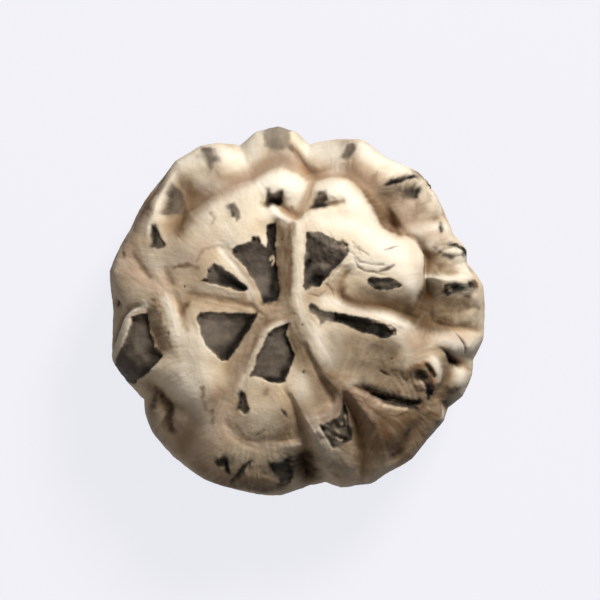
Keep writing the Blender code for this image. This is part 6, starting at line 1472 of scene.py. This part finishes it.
    def stain(self, strokes):
        """How strongly one colour's strokes cover each point."""
        cover = np.zeros(len(self.points))
        fray = layered_noise(self.plain, STAIN_FRAY)
        mottle = 1.0 + STROKE_FIBRE * self.fibre + layered_noise(self.plain, [STROKE_MOTTLE])
        for strength, width, corners in strokes:
            line = to_map(np.array(corners) * MM)
            near = near_line(self.points, line, STROKE_REACH * width * MM)
            gap, _ = line_distance(self.points[near], line)
            gap = np.maximum(np.abs(gap) + fray[near], 0.0) / (width * MM)
            value = np.clip(strength * np.exp(-(gap ** STROKE_EDGE)) * mottle[near], 0.0, 1.0)
            cover[near] = 1.0 - (1.0 - cover[near]) * (1.0 - value)
        return cover


def plate_gaps(around, walk):
    """For points on the side: the way to the border of their plate, and how much dark skin it keeps."""
    nearest = np.full(len(around), CAP_RADIUS)
    second = nearest.copy()
    shade = np.zeros(len(around))
    random = np.random.default_rng(PLATE_SEED)
    circle = 2.0 * math.pi * CAP_RADIUS
    columns = round(circle / PLATE_SIZE)
    rows = round((PROFILE.end - PROFILE.widest) / PLATE_SIZE) + 2
    for row in range(rows):
        for column in range(columns):
            shift = random.uniform(-PLATE_JITTER, PLATE_JITTER, 2)
            middle = (column + 0.5 * (row % 2) + shift[0]) * circle / columns
            down = (row - 0.5 + shift[1]) * PLATE_SIZE
            aside = (around - middle + 0.5 * circle) % circle - 0.5 * circle
            gap = np.hypot(aside, walk - PROFILE.widest - down)
            closer = gap < nearest
            second = np.where(closer, nearest, np.minimum(second, gap))
            nearest = np.where(closer, gap, nearest)
            covered = float(smooth_step(PLATES_START, PLATES_FULL, down))
            kept = random.uniform(PLATE_SHADE_LEAST, 1.0) if random.random() < covered else 0.0
            shade = np.where(closer, kept, shade)
    return second - nearest, shade


def rim_wave(turn):
    """The rim's bottom rises and falls, with three low places round the cap."""
    return sum(share * np.cos(count * turn + start) for count, start, share in RIM_WAVES)


def cap_place(points, rise):
    """Places in space of points of the unrolled cap, raised by the relief."""
    walk = np.hypot(points[:, 0], points[:, 1])
    turn = np.arctan2(points[:, 1], points[:, 0])
    radius, height = PROFILE.at(walk)
    away, up = PROFILE.outward(walk)
    weight = smooth_step(OUTLINE_START, 1.0, radius / CAP_RADIUS)
    beyond = smooth_step(PROFILE.widest, PROFILE.end, walk)
    radius = radius * (1.0 + weight * (outline_scale(turn) - 1.0) * (1.0 - OUTLINE_LOSS * beyond))
    lean = smooth_step(LEAN_START, LEAN_END, radius / CAP_RADIUS)
    rise = rise * (1.0 - beyond ** 2)
    away, up = LEAN_OUT * away * lean, up * lean + (1.0 - lean)
    radius = radius + rise * away
    height = height + rise * up + RIM_BOTTOM_WAVE * rim_wave(turn) * beyond
    return ring_places(radius, turn, height)


def ring_walks():
    """How far each ring of the crown's mesh lies from the middle: even steps, then longer ones."""
    numbers = np.arange(1, CROWN_RINGS + 1)
    reach = PROFILE.widest + CROWN_EDGE
    even = CROWN_STEP * numbers
    late = (numbers / CROWN_RINGS) ** CROWN_GROWTH
    return even + late * (reach - even[-1])


def crown_grid():
    """Points and triangles of a disc in rings, each ring with 6 more points than the one inside."""
    walks = ring_walks()
    points = [np.zeros((1, 2))]
    faces = []
    first = 0
    for number in range(1, CROWN_RINGS + 1):
        count = 6 * number
        points.append(ring_points(walks[number - 1], even_turns(count)))
        start = 1 + 3 * number * (number - 1)
        step = np.arange(count)
        sector, place = step // number, step % number
        inner_count = max(6 * (number - 1), 1)
        inner = first + (sector * (number - 1) + place) % inner_count
        inner_back = first + (sector * (number - 1) + place - 1) % inner_count
        outer = start + step
        outer_next = start + (step + 1) % count
        faces.append(np.stack([inner, outer, outer_next], axis=1))
        turned = place > 0
        faces.append(np.stack([inner_back, outer, inner], axis=1)[turned])
        first = start
    return np.vstack(points), np.vstack(faces)


def strip_faces(ring_starts, count):
    """Triangles of bands between rings of equal count, given each ring's first vertex number."""
    step = np.arange(count)
    after = (step + 1) % count
    faces = []
    for upper, lower in zip(ring_starts, ring_starts[1:]):
        faces.append(np.stack([upper + step, lower + step, lower + after], axis=1))
        faces.append(np.stack([upper + step, lower + after, upper + after], axis=1))
    return np.vstack(faces)


def spread_values(values, edges, passes):
    """Values evened out over the mesh, each pass half way to the mean of the neighbours."""
    count = np.bincount(edges.ravel(), minlength=len(values))
    for _ in range(passes):
        total = np.bincount(edges[:, 0], values[edges[:, 1]], len(values))
        total += np.bincount(edges[:, 1], values[edges[:, 0]], len(values))
        values = 0.5 * values + 0.5 * total / count
    return values


def make_piece(name, places, faces, attributes, material):
    """A piece of the mushroom, with values on its points that the material reads."""
    mesh = bpy.data.meshes.new(name)
    mesh.from_pydata(places.tolist(), [], faces.tolist())
    for key, values in attributes.items():
        layer = mesh.attributes.new(key, "FLOAT", "POINT")
        layer.data.foreach_set("value", values.astype(np.float32))
    mesh.shade_smooth()
    mesh.materials.append(material)
    piece = bpy.data.objects.new(name, mesh)
    bpy.context.scene.collection.objects.link(piece)
    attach(piece, "root")
    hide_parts("mushroom")


def make_cap():
    points, faces = crown_grid()
    count = 6 * CROWN_RINGS
    turn = even_turns(count)
    edge_start = len(points) - count
    edge_walk = np.hypot(*points[-1])
    rim_walks = np.linspace(edge_walk, PROFILE.end, RIM_RINGS + 1)[1:]
    points = np.vstack([points] + [ring_points(walk, turn) for walk in rim_walks])
    relief = Relief(points)
    places = cap_place(points, relief.height)
    lip = lip_places(turn, places[-count:])
    places = np.vstack([places] + lip)
    starts = edge_start + count * np.arange(1 + RIM_RINGS + len(lip))
    faces = np.vstack([faces, strip_faces(starts, count)])
    inner = np.zeros(count * len(lip))
    # Values on the skin for the material, among them painted shade in cuts and under flakes, and the
    # strokes of stain and painted light
    on_skin = {
        "dark": relief.dark, "cut": relief.cut, "fibre": relief.fibre, "plate": relief.plate,
        "flake_edge_shade": relief.flake_edge_shade, "broad_hollow": relief.broad_hollow, **relief.stains_and_painted_light}
    attributes = {name: np.concatenate([values, inner]) for name, values in on_skin.items()}
    side_start, side_full = (PROFILE.widest + shift for shift in SIDE_COLOUR)
    attributes["side"] = np.concatenate([smooth_step(side_start, side_full, relief.walk), inner + 1.0])
    edges = np.vstack([faces[:, :2], faces[:, 1:]])
    height = np.concatenate([relief.height, inner])
    # How deep each point lies below its evened-out height: painted as shade in hollows and as highlight on
    # crests
    for name, (passes, depth) in HOLLOWS.items():
        attributes[name] = (spread_values(height, edges, passes) - height) / depth
    make_piece("cap", places, faces, attributes, flesh_material())


def lip_places(turn, bottom):
    """Rings that carry the rim from its bottom up its inner side to the gills."""
    bottom_radius = np.hypot(bottom[:, 0], bottom[:, 1])
    spread = outline_scale(turn) - 1.0
    wave = RIM_BOTTOM_WAVE * rim_wave(turn)
    rings = []
    for part in np.arange(1, LIP_RINGS + 1) / LIP_RINGS:
        swing = part * math.pi / 2
        radius = bottom_radius + (LIP_RADIUS * (1.0 + LIP_WAVE * spread) - bottom_radius) * math.sin(swing)
        height = bottom[:, 2] + (LIP_Z + 0.5 * wave - bottom[:, 2]) * (1.0 - math.cos(swing))
        rings.append(ring_places(radius, turn, height))
    top = rings[-1].copy()
    for part in np.arange(1, LIP_RINGS + 1) / LIP_RINGS:
        radius = np.hypot(top[:, 0], top[:, 1]) * (1 - part) + ROOF_EDGE_RADIUS * part
        height = top[:, 2] * (1 - part) + (ROOF_EDGE_Z + LIP_OVERLAP) * part
        rings.append(ring_places(radius, turn, height))
    return rings


def roof_height(radius):
    """The roof over the gills climbs from the rim to the stem."""
    part = (radius - ROOF_EDGE_RADIUS) / (ROOF_STEM_RADIUS - ROOF_EDGE_RADIUS)
    return ROOF_EDGE_Z + (ROOF_STEM_Z - ROOF_EDGE_Z) * np.sin(0.5 * math.pi * np.clip(part, 0.0, 1.0))


def make_roof():
    """The flesh between the gills."""
    turn = even_turns(ROOF_COLUMNS)
    places = []
    for radius in np.linspace(ROOF_EDGE_RADIUS + ROOF_OVERLAP, ROOF_STEM_SHARE * STEM_RADIUS, ROOF_RINGS):
        places.append(ring_places(radius, turn, np.full(ROOF_COLUMNS, float(roof_height(radius)))))
    faces = strip_faces(ROOF_COLUMNS * np.arange(ROOF_RINGS), ROOF_COLUMNS)
    places = np.vstack(places)
    make_piece("gill_roof", places, faces, {"edge": np.zeros(len(places))}, gill_material())


def make_gills():
    """Thin wavy blades that hang from the roof, each a folded sheet with a fine lower edge."""
    sides = np.array(GILL_SIDES)
    depths = np.array(GILL_DEPTHS)
    across = len(sides)
    random = np.random.default_rng(GILL_SEED)
    places, faces, edge = [], [], []
    first = 0
    for number in range(GILL_COUNT):
        start = GILL_STARTS[number % len(GILL_STARTS)]
        start += random.uniform(-GILL_START_SHIFT, GILL_START_SHIFT)
        steps = int((ROOF_EDGE_RADIUS - start) / GILL_STEP)
        radius = np.linspace(start, ROOF_EDGE_RADIUS + GILL_OVERLAP, steps + 1)
        part = (radius - start) / (radius[-1] - start)
        along = np.stack([radius, np.full(steps + 1, GILL_SPREAD * number)], axis=1)
        wave = GILL_WAVE * noise(along, GILL_WAVE_LENGTH, GILL_WAVE_SEED)
        rise = np.clip(GILL_RISE_INSIDE * part, 0, 1)
        fall = np.clip(GILL_RISE_OUTSIDE * (1 - part), 0, 1)
        depth = GILL_DEPTH * random.uniform(GILL_DEPTH_LEAST, 1.0) * rise * fall
        depth *= 1.0 if number % len(GILL_STARTS) == 0 else GILL_SHORT_DEPTH
        offset = wave[:, None] * (GILL_SWAY_AT_ROOF + depths) + 0.5 * GILL_THICKNESS * sides
        turn = math.tau * number / GILL_COUNT + offset / radius[:, None]
        height = roof_height(radius)[:, None] - depth[:, None] * depths
        places.append(ring_places(radius[:, None], turn, height).reshape(-1, 3))
        edge.append(np.tile(np.clip(depths, 0, 1), steps + 1))
        row = np.arange(steps)[:, None] * across + np.arange(across - 1) + first
        corners = [row, row + 1, row + across + 1, row + across]
        faces.append(np.stack(corners, axis=2).reshape(-1, 4))
        first += (steps + 1) * across
    attributes = {"edge": np.concatenate(edge)}
    make_piece("gills", np.vstack(places), np.vstack(faces), attributes, gill_material())


def stem_radius(turn, height):
    """The stem is a little oval, and widens to the cap and to its cut end."""
    oval = 1.0 + STEM_OVAL * np.cos(2 * turn + STEM_OVAL_TURN)
    oval = oval + STEM_BULGES * np.cos(3 * turn + STEM_TWIST * height)
    middle = STEM_WAIST * ROOF_STEM_Z
    return STEM_RADIUS * oval + STEM_FLARE * ((height - middle) / middle) ** 2


def make_stem():
    """The short stem with fibres running up it, down to its flat cut end."""
    turn = even_turns(STEM_COLUMNS)
    places, fibre, cut = [], [], []

    def add_ring(radius, height, ridge, in_cut):
        places.append(ring_places(radius, turn, height))
        fibre.append(ridge / STEM_FIBRES[0][1])
        cut.append(np.full(STEM_COLUMNS, in_cut))

    for height in np.linspace(ROOF_STEM_Z, STEM_EDGE_ROUNDING, STEM_RINGS):
        ridge = 0.0
        for count, rise in STEM_FIBRES:
            twist = STEM_FIBRE_TWIST * height * math.sin(count)
            ridge = ridge + rise * np.cos(count * turn + STEM_FIBRE_SHIFT * count + twist)
        radius = stem_radius(turn, height) + ridge - STEM_FIBRE_SINK
        add_ring(radius, np.full(STEM_COLUMNS, height), ridge, 0.0)
    edge = stem_radius(turn, 0.0) - STEM_EDGE_ROUNDING
    for part in np.linspace(1.0, 0.0, CUT_END_RINGS) ** CUT_END_SPACING:
        radius = np.maximum(part, CUT_END_INNERMOST) * edge
        rough = noise(ring_points(radius, turn), CUT_END_GRAIN, CUT_END_SEED)
        add_ring(radius, CUT_END_ROUGHNESS * (1.0 + rough).clip(0.0), CUT_END_FIBRE * rough, 1.0)
    faces = strip_faces(STEM_COLUMNS * np.arange(len(places)), STEM_COLUMNS)
    attributes = {"fibre": np.concatenate(fibre), "cut": np.concatenate(cut)}
    make_piece("stem", np.vstack(places), faces, attributes, stem_material())


class Nodes:
    """A material's node tree, with short calls for the nodes used here."""

    def __init__(self, name):
        self.material = bpy.data.materials.new(name)
        self.material.use_nodes = True
        self.tree = self.material.node_tree
        self.shader = self.tree.nodes["Principled BSDF"]

    def add(self, kind, **values):
        node = self.tree.nodes.new(kind)
        for key, value in values.items():
            setattr(node, key, value)
        return node

    def plug(self, socket, value):
        if hasattr(value, "is_output"):
            self.tree.links.new(value, socket)
        else:
            socket.default_value = value

    def times(self, first, second):
        node = self.add("ShaderNodeMath", operation="MULTIPLY")
        self.plug(node.inputs[0], first)
        self.plug(node.inputs[1], second)
        return node.outputs[0]

    def mix(self, factor, first, second):
        node = self.add("ShaderNodeMix", data_type="RGBA")
        self.plug(node.inputs["Factor"], factor)
        self.plug(node.inputs["A"], first)
        self.plug(node.inputs["B"], second)
        return node.outputs["Result"]

    def attribute(self, name):
        return self.add("ShaderNodeAttribute", attribute_name=name).outputs["Fac"]

    def noise(self, size, detail, roughness=0.5, stretch=(1, 1, 1)):
        """Noise from 0 to 1 with spots about size across, in metres."""
        place = self.add("ShaderNodeTexCoord").outputs["Object"]
        mapping = self.add("ShaderNodeMapping")
        self.plug(mapping.inputs["Vector"], place)
        mapping.inputs["Scale"].default_value = stretch
        node = self.add("ShaderNodeTexNoise")
        self.plug(node.inputs["Vector"], mapping.outputs["Vector"])
        node.inputs["Scale"].default_value = 1.0 / size
        node.inputs["Detail"].default_value = detail
        node.inputs["Roughness"].default_value = roughness
        return node.outputs["Fac"]

    def ramp(self, value, low, high):
        """0 below low, 1 above high, and a smooth curve between."""
        node = self.add("ShaderNodeMapRange", interpolation_type="SMOOTHSTEP")
        self.plug(node.inputs["Value"], value)
        node.inputs["From Min"].default_value = low
        node.inputs["From Max"].default_value = high
        return node.outputs["Result"]

    def spots(self, noise_values, low, high):
        """Spots of noise: 0 where it is below low, 1 where it is above high."""
        return self.ramp(self.noise(*noise_values), low, high)

    def tint(self, colour, cover, strength, tint):
        """A colour with a tint laid over it, as far as the cover times the strength says."""
        return self.mix(self.times(cover, strength), colour, tint)

    def tint_by(self, colour, tints):
        """A colour tinted by attributes: name, sign, where a tint sets in and is full, strength, tint."""
        for name, sign, low, high, strength, tint in tints:
            cover = self.ramp(self.times(self.attribute(name), sign), low, high)
            colour = self.tint(colour, cover, strength, tint)
        return colour

    def layers(self, colour, covers):
        """A colour with others over it, each where the attribute of its name covers it."""
        for name, cover_colour in covers:
            colour = self.mix(self.attribute(name), colour, cover_colour)
        return colour

    def bumps(self, layers):
        """Bumps on the shader, each given by the values of its noise, its height and its strength."""
        normal = None
        for noise_values, height, strength in layers:
            node = self.add("ShaderNodeBump")
            self.plug(node.inputs["Height"], self.noise(*noise_values))
            node.inputs["Distance"].default_value = height
            node.inputs["Strength"].default_value = strength
            if normal is not None:
                self.plug(node.inputs["Normal"], normal)
            normal = node.outputs["Normal"]
        self.plug(self.shader.inputs["Normal"], normal)


# Colours, in linear light
CREAM = (0.64, 0.52, 0.375, 1.0)
PALE = (0.76, 0.662, 0.52, 1.0)
WHITE = (0.87, 0.81, 0.715, 1.0)
ROSE = (0.49, 0.345, 0.27, 1.0)
TAN = (0.36, 0.25, 0.155, 1.0)
BROWN = (0.150, 0.090, 0.046, 1.0)
RUST = (0.30, 0.13, 0.05, 1.0)
GREY = (0.20, 0.17, 0.125, 1.0)
SKIN = (0.056, 0.044, 0.036, 1.0)
SKIN_PALE = (0.112, 0.090, 0.073, 1.0)
ASH = (0.27, 0.225, 0.19, 1.0)
BLACK = (0.005, 0.004, 0.003, 1.0)
PLATE_BROWN = (0.085, 0.055, 0.038, 1.0)
GILL_DARK = (0.30, 0.185, 0.095, 1.0)
GILL_TAN = (0.47, 0.32, 0.18, 1.0)
GILL_PALE = (0.66, 0.50, 0.32, 1.0)

# Spots of a material: size, detail and roughness of the noise, with its stretch where it has one, and
# the noise where spots set in and where they are full
FLESH_BLOTCHES = ((0.004, 3.0), 0.35, 0.65)
FLESH_SPECKS = ((0.0007, 2.0, 0.6), 0.62, 0.75)
SIDE_BLOTCHES = ((0.0025, 3.0), 0.25, 0.7)
PLATE_SPOTS = ((0.0013, 4.0, 0.6), 0.35, 0.7)
SKIN_SPOTS = ((0.0012, 4.0, 0.6), 0.35, 0.7)
GILL_BLOTCHES = ((0.003, 3.0), 0.3, 0.7)
GILL_SPECKS = ((0.0006, 2.0, 0.6), 0.6, 0.75)
STEM_STREAKS = ((0.0009, 3.0, 0.6, (1.0, 1.0, 0.12)), 0.3, 0.7)
PITH_BLOTCHES = ((0.0008, 3.0), 0.35, 0.65)

# Tints by height: attribute, sign, where the tint sets in and where it is full, its strength and colour.
# The hollow tints are painted shade in tan and brown in hollows and creases, with painted highlight in
# white on broad crests; the crest tints are painted highlight in white on crests, also standing for paler
# worn edges
HOLLOW_SHADE_AND_CREST_HIGHLIGHT_TINTS = (
    ("broad_hollow", -1.0, 0.05, 0.7, 0.45, WHITE),
    ("broad_hollow", 1.0, 0.0, 0.8, 0.65, TAN),
    ("hollow", 1.0, 0.05, 0.9, 0.8, TAN),
    ("hollow", 1.0, 0.7, 2.2, 0.8, BROWN),
    ("broad_hollow", 1.0, 0.6, 2.0, 0.7, BROWN),
    ("fine_hollow", 1.0, 0.1, 1.0, 0.5, TAN),
)
CREST_HIGHLIGHT_AND_WEAR_TINTS = (("hollow", -1.0, 0.1, 0.9, 0.4, WHITE),)
FIBRE_TINTS = (("fibre", 1.0, 0.4, 2.2, 0.09, WHITE), ("fibre", -1.0, 0.4, 2.2, 0.11, TAN))
STEM_TINTS = (("fibre", -1.0, 0.2, 1.6, 0.6, BROWN),)

# Bumps finer than the meshes: the values of the noise, the height and the strength
FLESH_BUMPS = (((0.0014, 5.0, 0.6), 0.00030, 0.2), ((0.00035, 4.0, 0.65), 0.00006, 0.6))
STEM_BUMPS = (((0.0003, 3.0, 0.6, (1.0, 1.0, 0.3)), 0.00006, 0.5),)

# How strongly the other tints cover: specks, the side's brown and its plates, the painted shade under
# flakes and in cuts, and gills
SPECK_TINT = 0.25
SIDE_TINT = 0.75
PLATE_TINT = 0.9
FLAKE_EDGE_SHADE_TINT = 0.35
CUT_SHADE_TINT = 0.8
GILL_EDGE_TINT = 0.55
GILL_SPECK_TINT = 0.35

# Gloss of the materials
FLESH_ROUGHNESS = 0.78
FLESH_SPECULAR = 0.12
GILL_ROUGHNESS = 0.8
STEM_ROUGHNESS = 0.85

# Floor: half its width, and its colour, roughness and glow
FLOOR_HALF = 1.5
FLOOR_COLOUR = (0.06, 0.06, 0.06, 1.0)
FLOOR_ROUGHNESS = 0.9
FLOOR_GLOW_COLOUR = (0.93, 0.93, 1.0, 1.0)
FLOOR_GLOW = 0.86

# Square lamps: the direction in the plan, elevation in degrees, distance, width, watts and colour
LAMPS = {
    "key": ((0.50, 0.87), 42, 1.0, 0.28, 14.0, (1.0, 0.965, 0.90)),
    "fill": ((-0.74, -0.67), 50, 1.0, 0.60, 1.5, (1.0, 0.87, 0.72)),
}

# Light from all round
SURROUNDINGS_COLOUR = (1.0, 0.93, 0.86, 1.0)
SURROUNDINGS_STRENGTH = 0.09


def flesh_material():
    nodes = Nodes("dried flesh and skin")
    colour = nodes.mix(nodes.spots(*FLESH_BLOTCHES), CREAM, PALE)
    # Painted shade in hollows and creases, and painted highlight on broad crests
    colour = nodes.tint_by(colour, HOLLOW_SHADE_AND_CREST_HIGHLIGHT_TINTS)
    colour = nodes.tint(colour, nodes.spots(*FLESH_SPECKS), SPECK_TINT, TAN)
    # Painted highlight on crests, also standing for paler worn edges
    colour = nodes.tint_by(colour, CREST_HIGHLIGHT_AND_WEAR_TINTS)
    # Tan and rose strokes: flesh tone and painted shade; pale strokes: painted highlight
    colour = nodes.layers(colour, (("tan", TAN), ("rose", ROSE), ("pale", WHITE)))
    colour = nodes.tint_by(colour, FIBRE_TINTS)
    lower = nodes.times(nodes.attribute("side"), nodes.spots(*SIDE_BLOTCHES))
    colour = nodes.tint(colour, lower, SIDE_TINT, TAN)
    plate_skin = nodes.mix(nodes.spots(*PLATE_SPOTS), BROWN, PLATE_BROWN)
    colour = nodes.tint(colour, nodes.attribute("plate"), PLATE_TINT, plate_skin)
    # Painted shade under the edges of torn flakes
    colour = nodes.tint(colour, nodes.attribute("flake_edge_shade"), FLAKE_EDGE_SHADE_TINT, BROWN)
    # Grey and brown strokes: skin tone and painted shade in valleys and on slopes
    colour = nodes.layers(colour, (("grey", GREY), ("brown", BROWN)))
    skin = nodes.mix(nodes.spots(*SKIN_SPOTS), SKIN, SKIN_PALE)
    colour = nodes.layers(colour, (("dark", skin),))
    # Ash: pale scuffs on the dark skin; floor: painted shadow on the patches' floors
    for name, on_skin in (("ash", ASH), ("floor", BLACK)):
        colour = nodes.tint(colour, nodes.attribute(name), nodes.attribute("dark"), on_skin)
    # Black strokes: black marks and painted cast shadow
    colour = nodes.layers(colour, (("rust", RUST), ("black", BLACK)))
    # Painted shade inside cuts and pits, darker the deeper they are
    colour = nodes.tint(colour, nodes.attribute("cut"), CUT_SHADE_TINT, BLACK)
    colour = nodes.layers(colour, (("flake", CREAM),))
    nodes.plug(nodes.shader.inputs["Base Color"], colour)
    nodes.shader.inputs["Roughness"].default_value = FLESH_ROUGHNESS
    nodes.shader.inputs["Specular IOR Level"].default_value = FLESH_SPECULAR
    nodes.bumps(FLESH_BUMPS)
    return nodes.material


def gill_material():
    nodes = Nodes("dried gills")
    colour = nodes.mix(nodes.spots(*GILL_BLOTCHES), GILL_DARK, GILL_TAN)
    colour = nodes.tint(colour, nodes.attribute("edge"), GILL_EDGE_TINT, GILL_PALE)
    colour = nodes.tint(colour, nodes.spots(*GILL_SPECKS), GILL_SPECK_TINT, BROWN)
    nodes.plug(nodes.shader.inputs["Base Color"], colour)
    nodes.shader.inputs["Roughness"].default_value = GILL_ROUGHNESS
    return nodes.material


def stem_material():
    nodes = Nodes("dried stem")
    colour = nodes.mix(nodes.spots(*STEM_STREAKS), TAN, CREAM)
    colour = nodes.tint_by(colour, STEM_TINTS)
    pith = nodes.mix(nodes.spots(*PITH_BLOTCHES), CREAM, PALE)
    colour = nodes.layers(colour, (("cut", pith),))
    nodes.plug(nodes.shader.inputs["Base Color"], colour)
    nodes.shader.inputs["Roughness"].default_value = STEM_ROUGHNESS
    nodes.bumps(STEM_BUMPS)
    return nodes.material


def make_camera():
    camera = bpy.data.objects.new("camera", bpy.data.cameras.new("camera"))
    bpy.context.scene.collection.objects.link(camera)
    middle_px = PHOTO_SIDE_PX / 2
    camera.location = (
        (middle_px - AXIS_PX[0]) / PX_PER_MM * MM,
        (AXIS_PX[1] - middle_px) / PX_PER_MM * MM,
        WIDEST_Z + CAMERA_DISTANCE)
    camera.data.sensor_width = SENSOR_WIDTH_MM
    camera.data.lens = SENSOR_WIDTH_MM * CAMERA_DISTANCE / (PHOTO_SIDE_PX / PX_PER_MM * MM)
    camera.data.clip_start = CAMERA_NEAR
    bpy.context.scene.camera = camera


def make_floor():
    mesh = bpy.data.meshes.new("floor")
    corners = [(x * FLOOR_HALF, y * FLOOR_HALF, 0) for x, y in ((-1, -1), (1, -1), (1, 1), (-1, 1))]
    mesh.from_pydata(corners, [], [(0, 1, 2, 3)])
    floor = bpy.data.objects.new("floor", mesh)
    bpy.context.scene.collection.objects.link(floor)
    nodes = Nodes("pale floor")
    nodes.shader.inputs["Base Color"].default_value = FLOOR_COLOUR
    nodes.shader.inputs["Roughness"].default_value = FLOOR_ROUGHNESS
    nodes.shader.inputs["Emission Color"].default_value = FLOOR_GLOW_COLOUR
    nodes.shader.inputs["Emission Strength"].default_value = FLOOR_GLOW
    floor.visible_diffuse = False
    mesh.materials.append(nodes.material)


def make_light(name, direction, elevation, distance, size, watts, colour):
    """A square lamp that looks at the cap from a direction in the plan and an elevation."""
    lamp = bpy.data.lights.new(name, "AREA")
    lamp.size = size
    lamp.energy = watts
    lamp.color = colour
    light = bpy.data.objects.new(name, lamp)
    bpy.context.scene.collection.objects.link(light)
    lift = math.radians(elevation)
    length = math.hypot(*direction)
    light.location = (
        distance * math.cos(lift) * direction[0] / length,
        distance * math.cos(lift) * direction[1] / length,
        distance * math.sin(lift))
    light.rotation_mode = "QUATERNION"
    light.rotation_quaternion = light.location.to_track_quat("Z", "Y")


def make_lights():
    for name, values in LAMPS.items():
        make_light(name, *values)
    world = bpy.data.worlds.new("studio")
    world.use_nodes = True
    background = world.node_tree.nodes["Background"]
    background.inputs["Color"].default_value = SURROUNDINGS_COLOUR
    background.inputs["Strength"].default_value = SURROUNDINGS_STRENGTH
    bpy.context.scene.world = world


make_cap()
make_roof()
make_gills()
make_stem()
make_floor()
make_lights()
make_camera()
bpy.context.scene.view_settings.view_transform = "Standard"
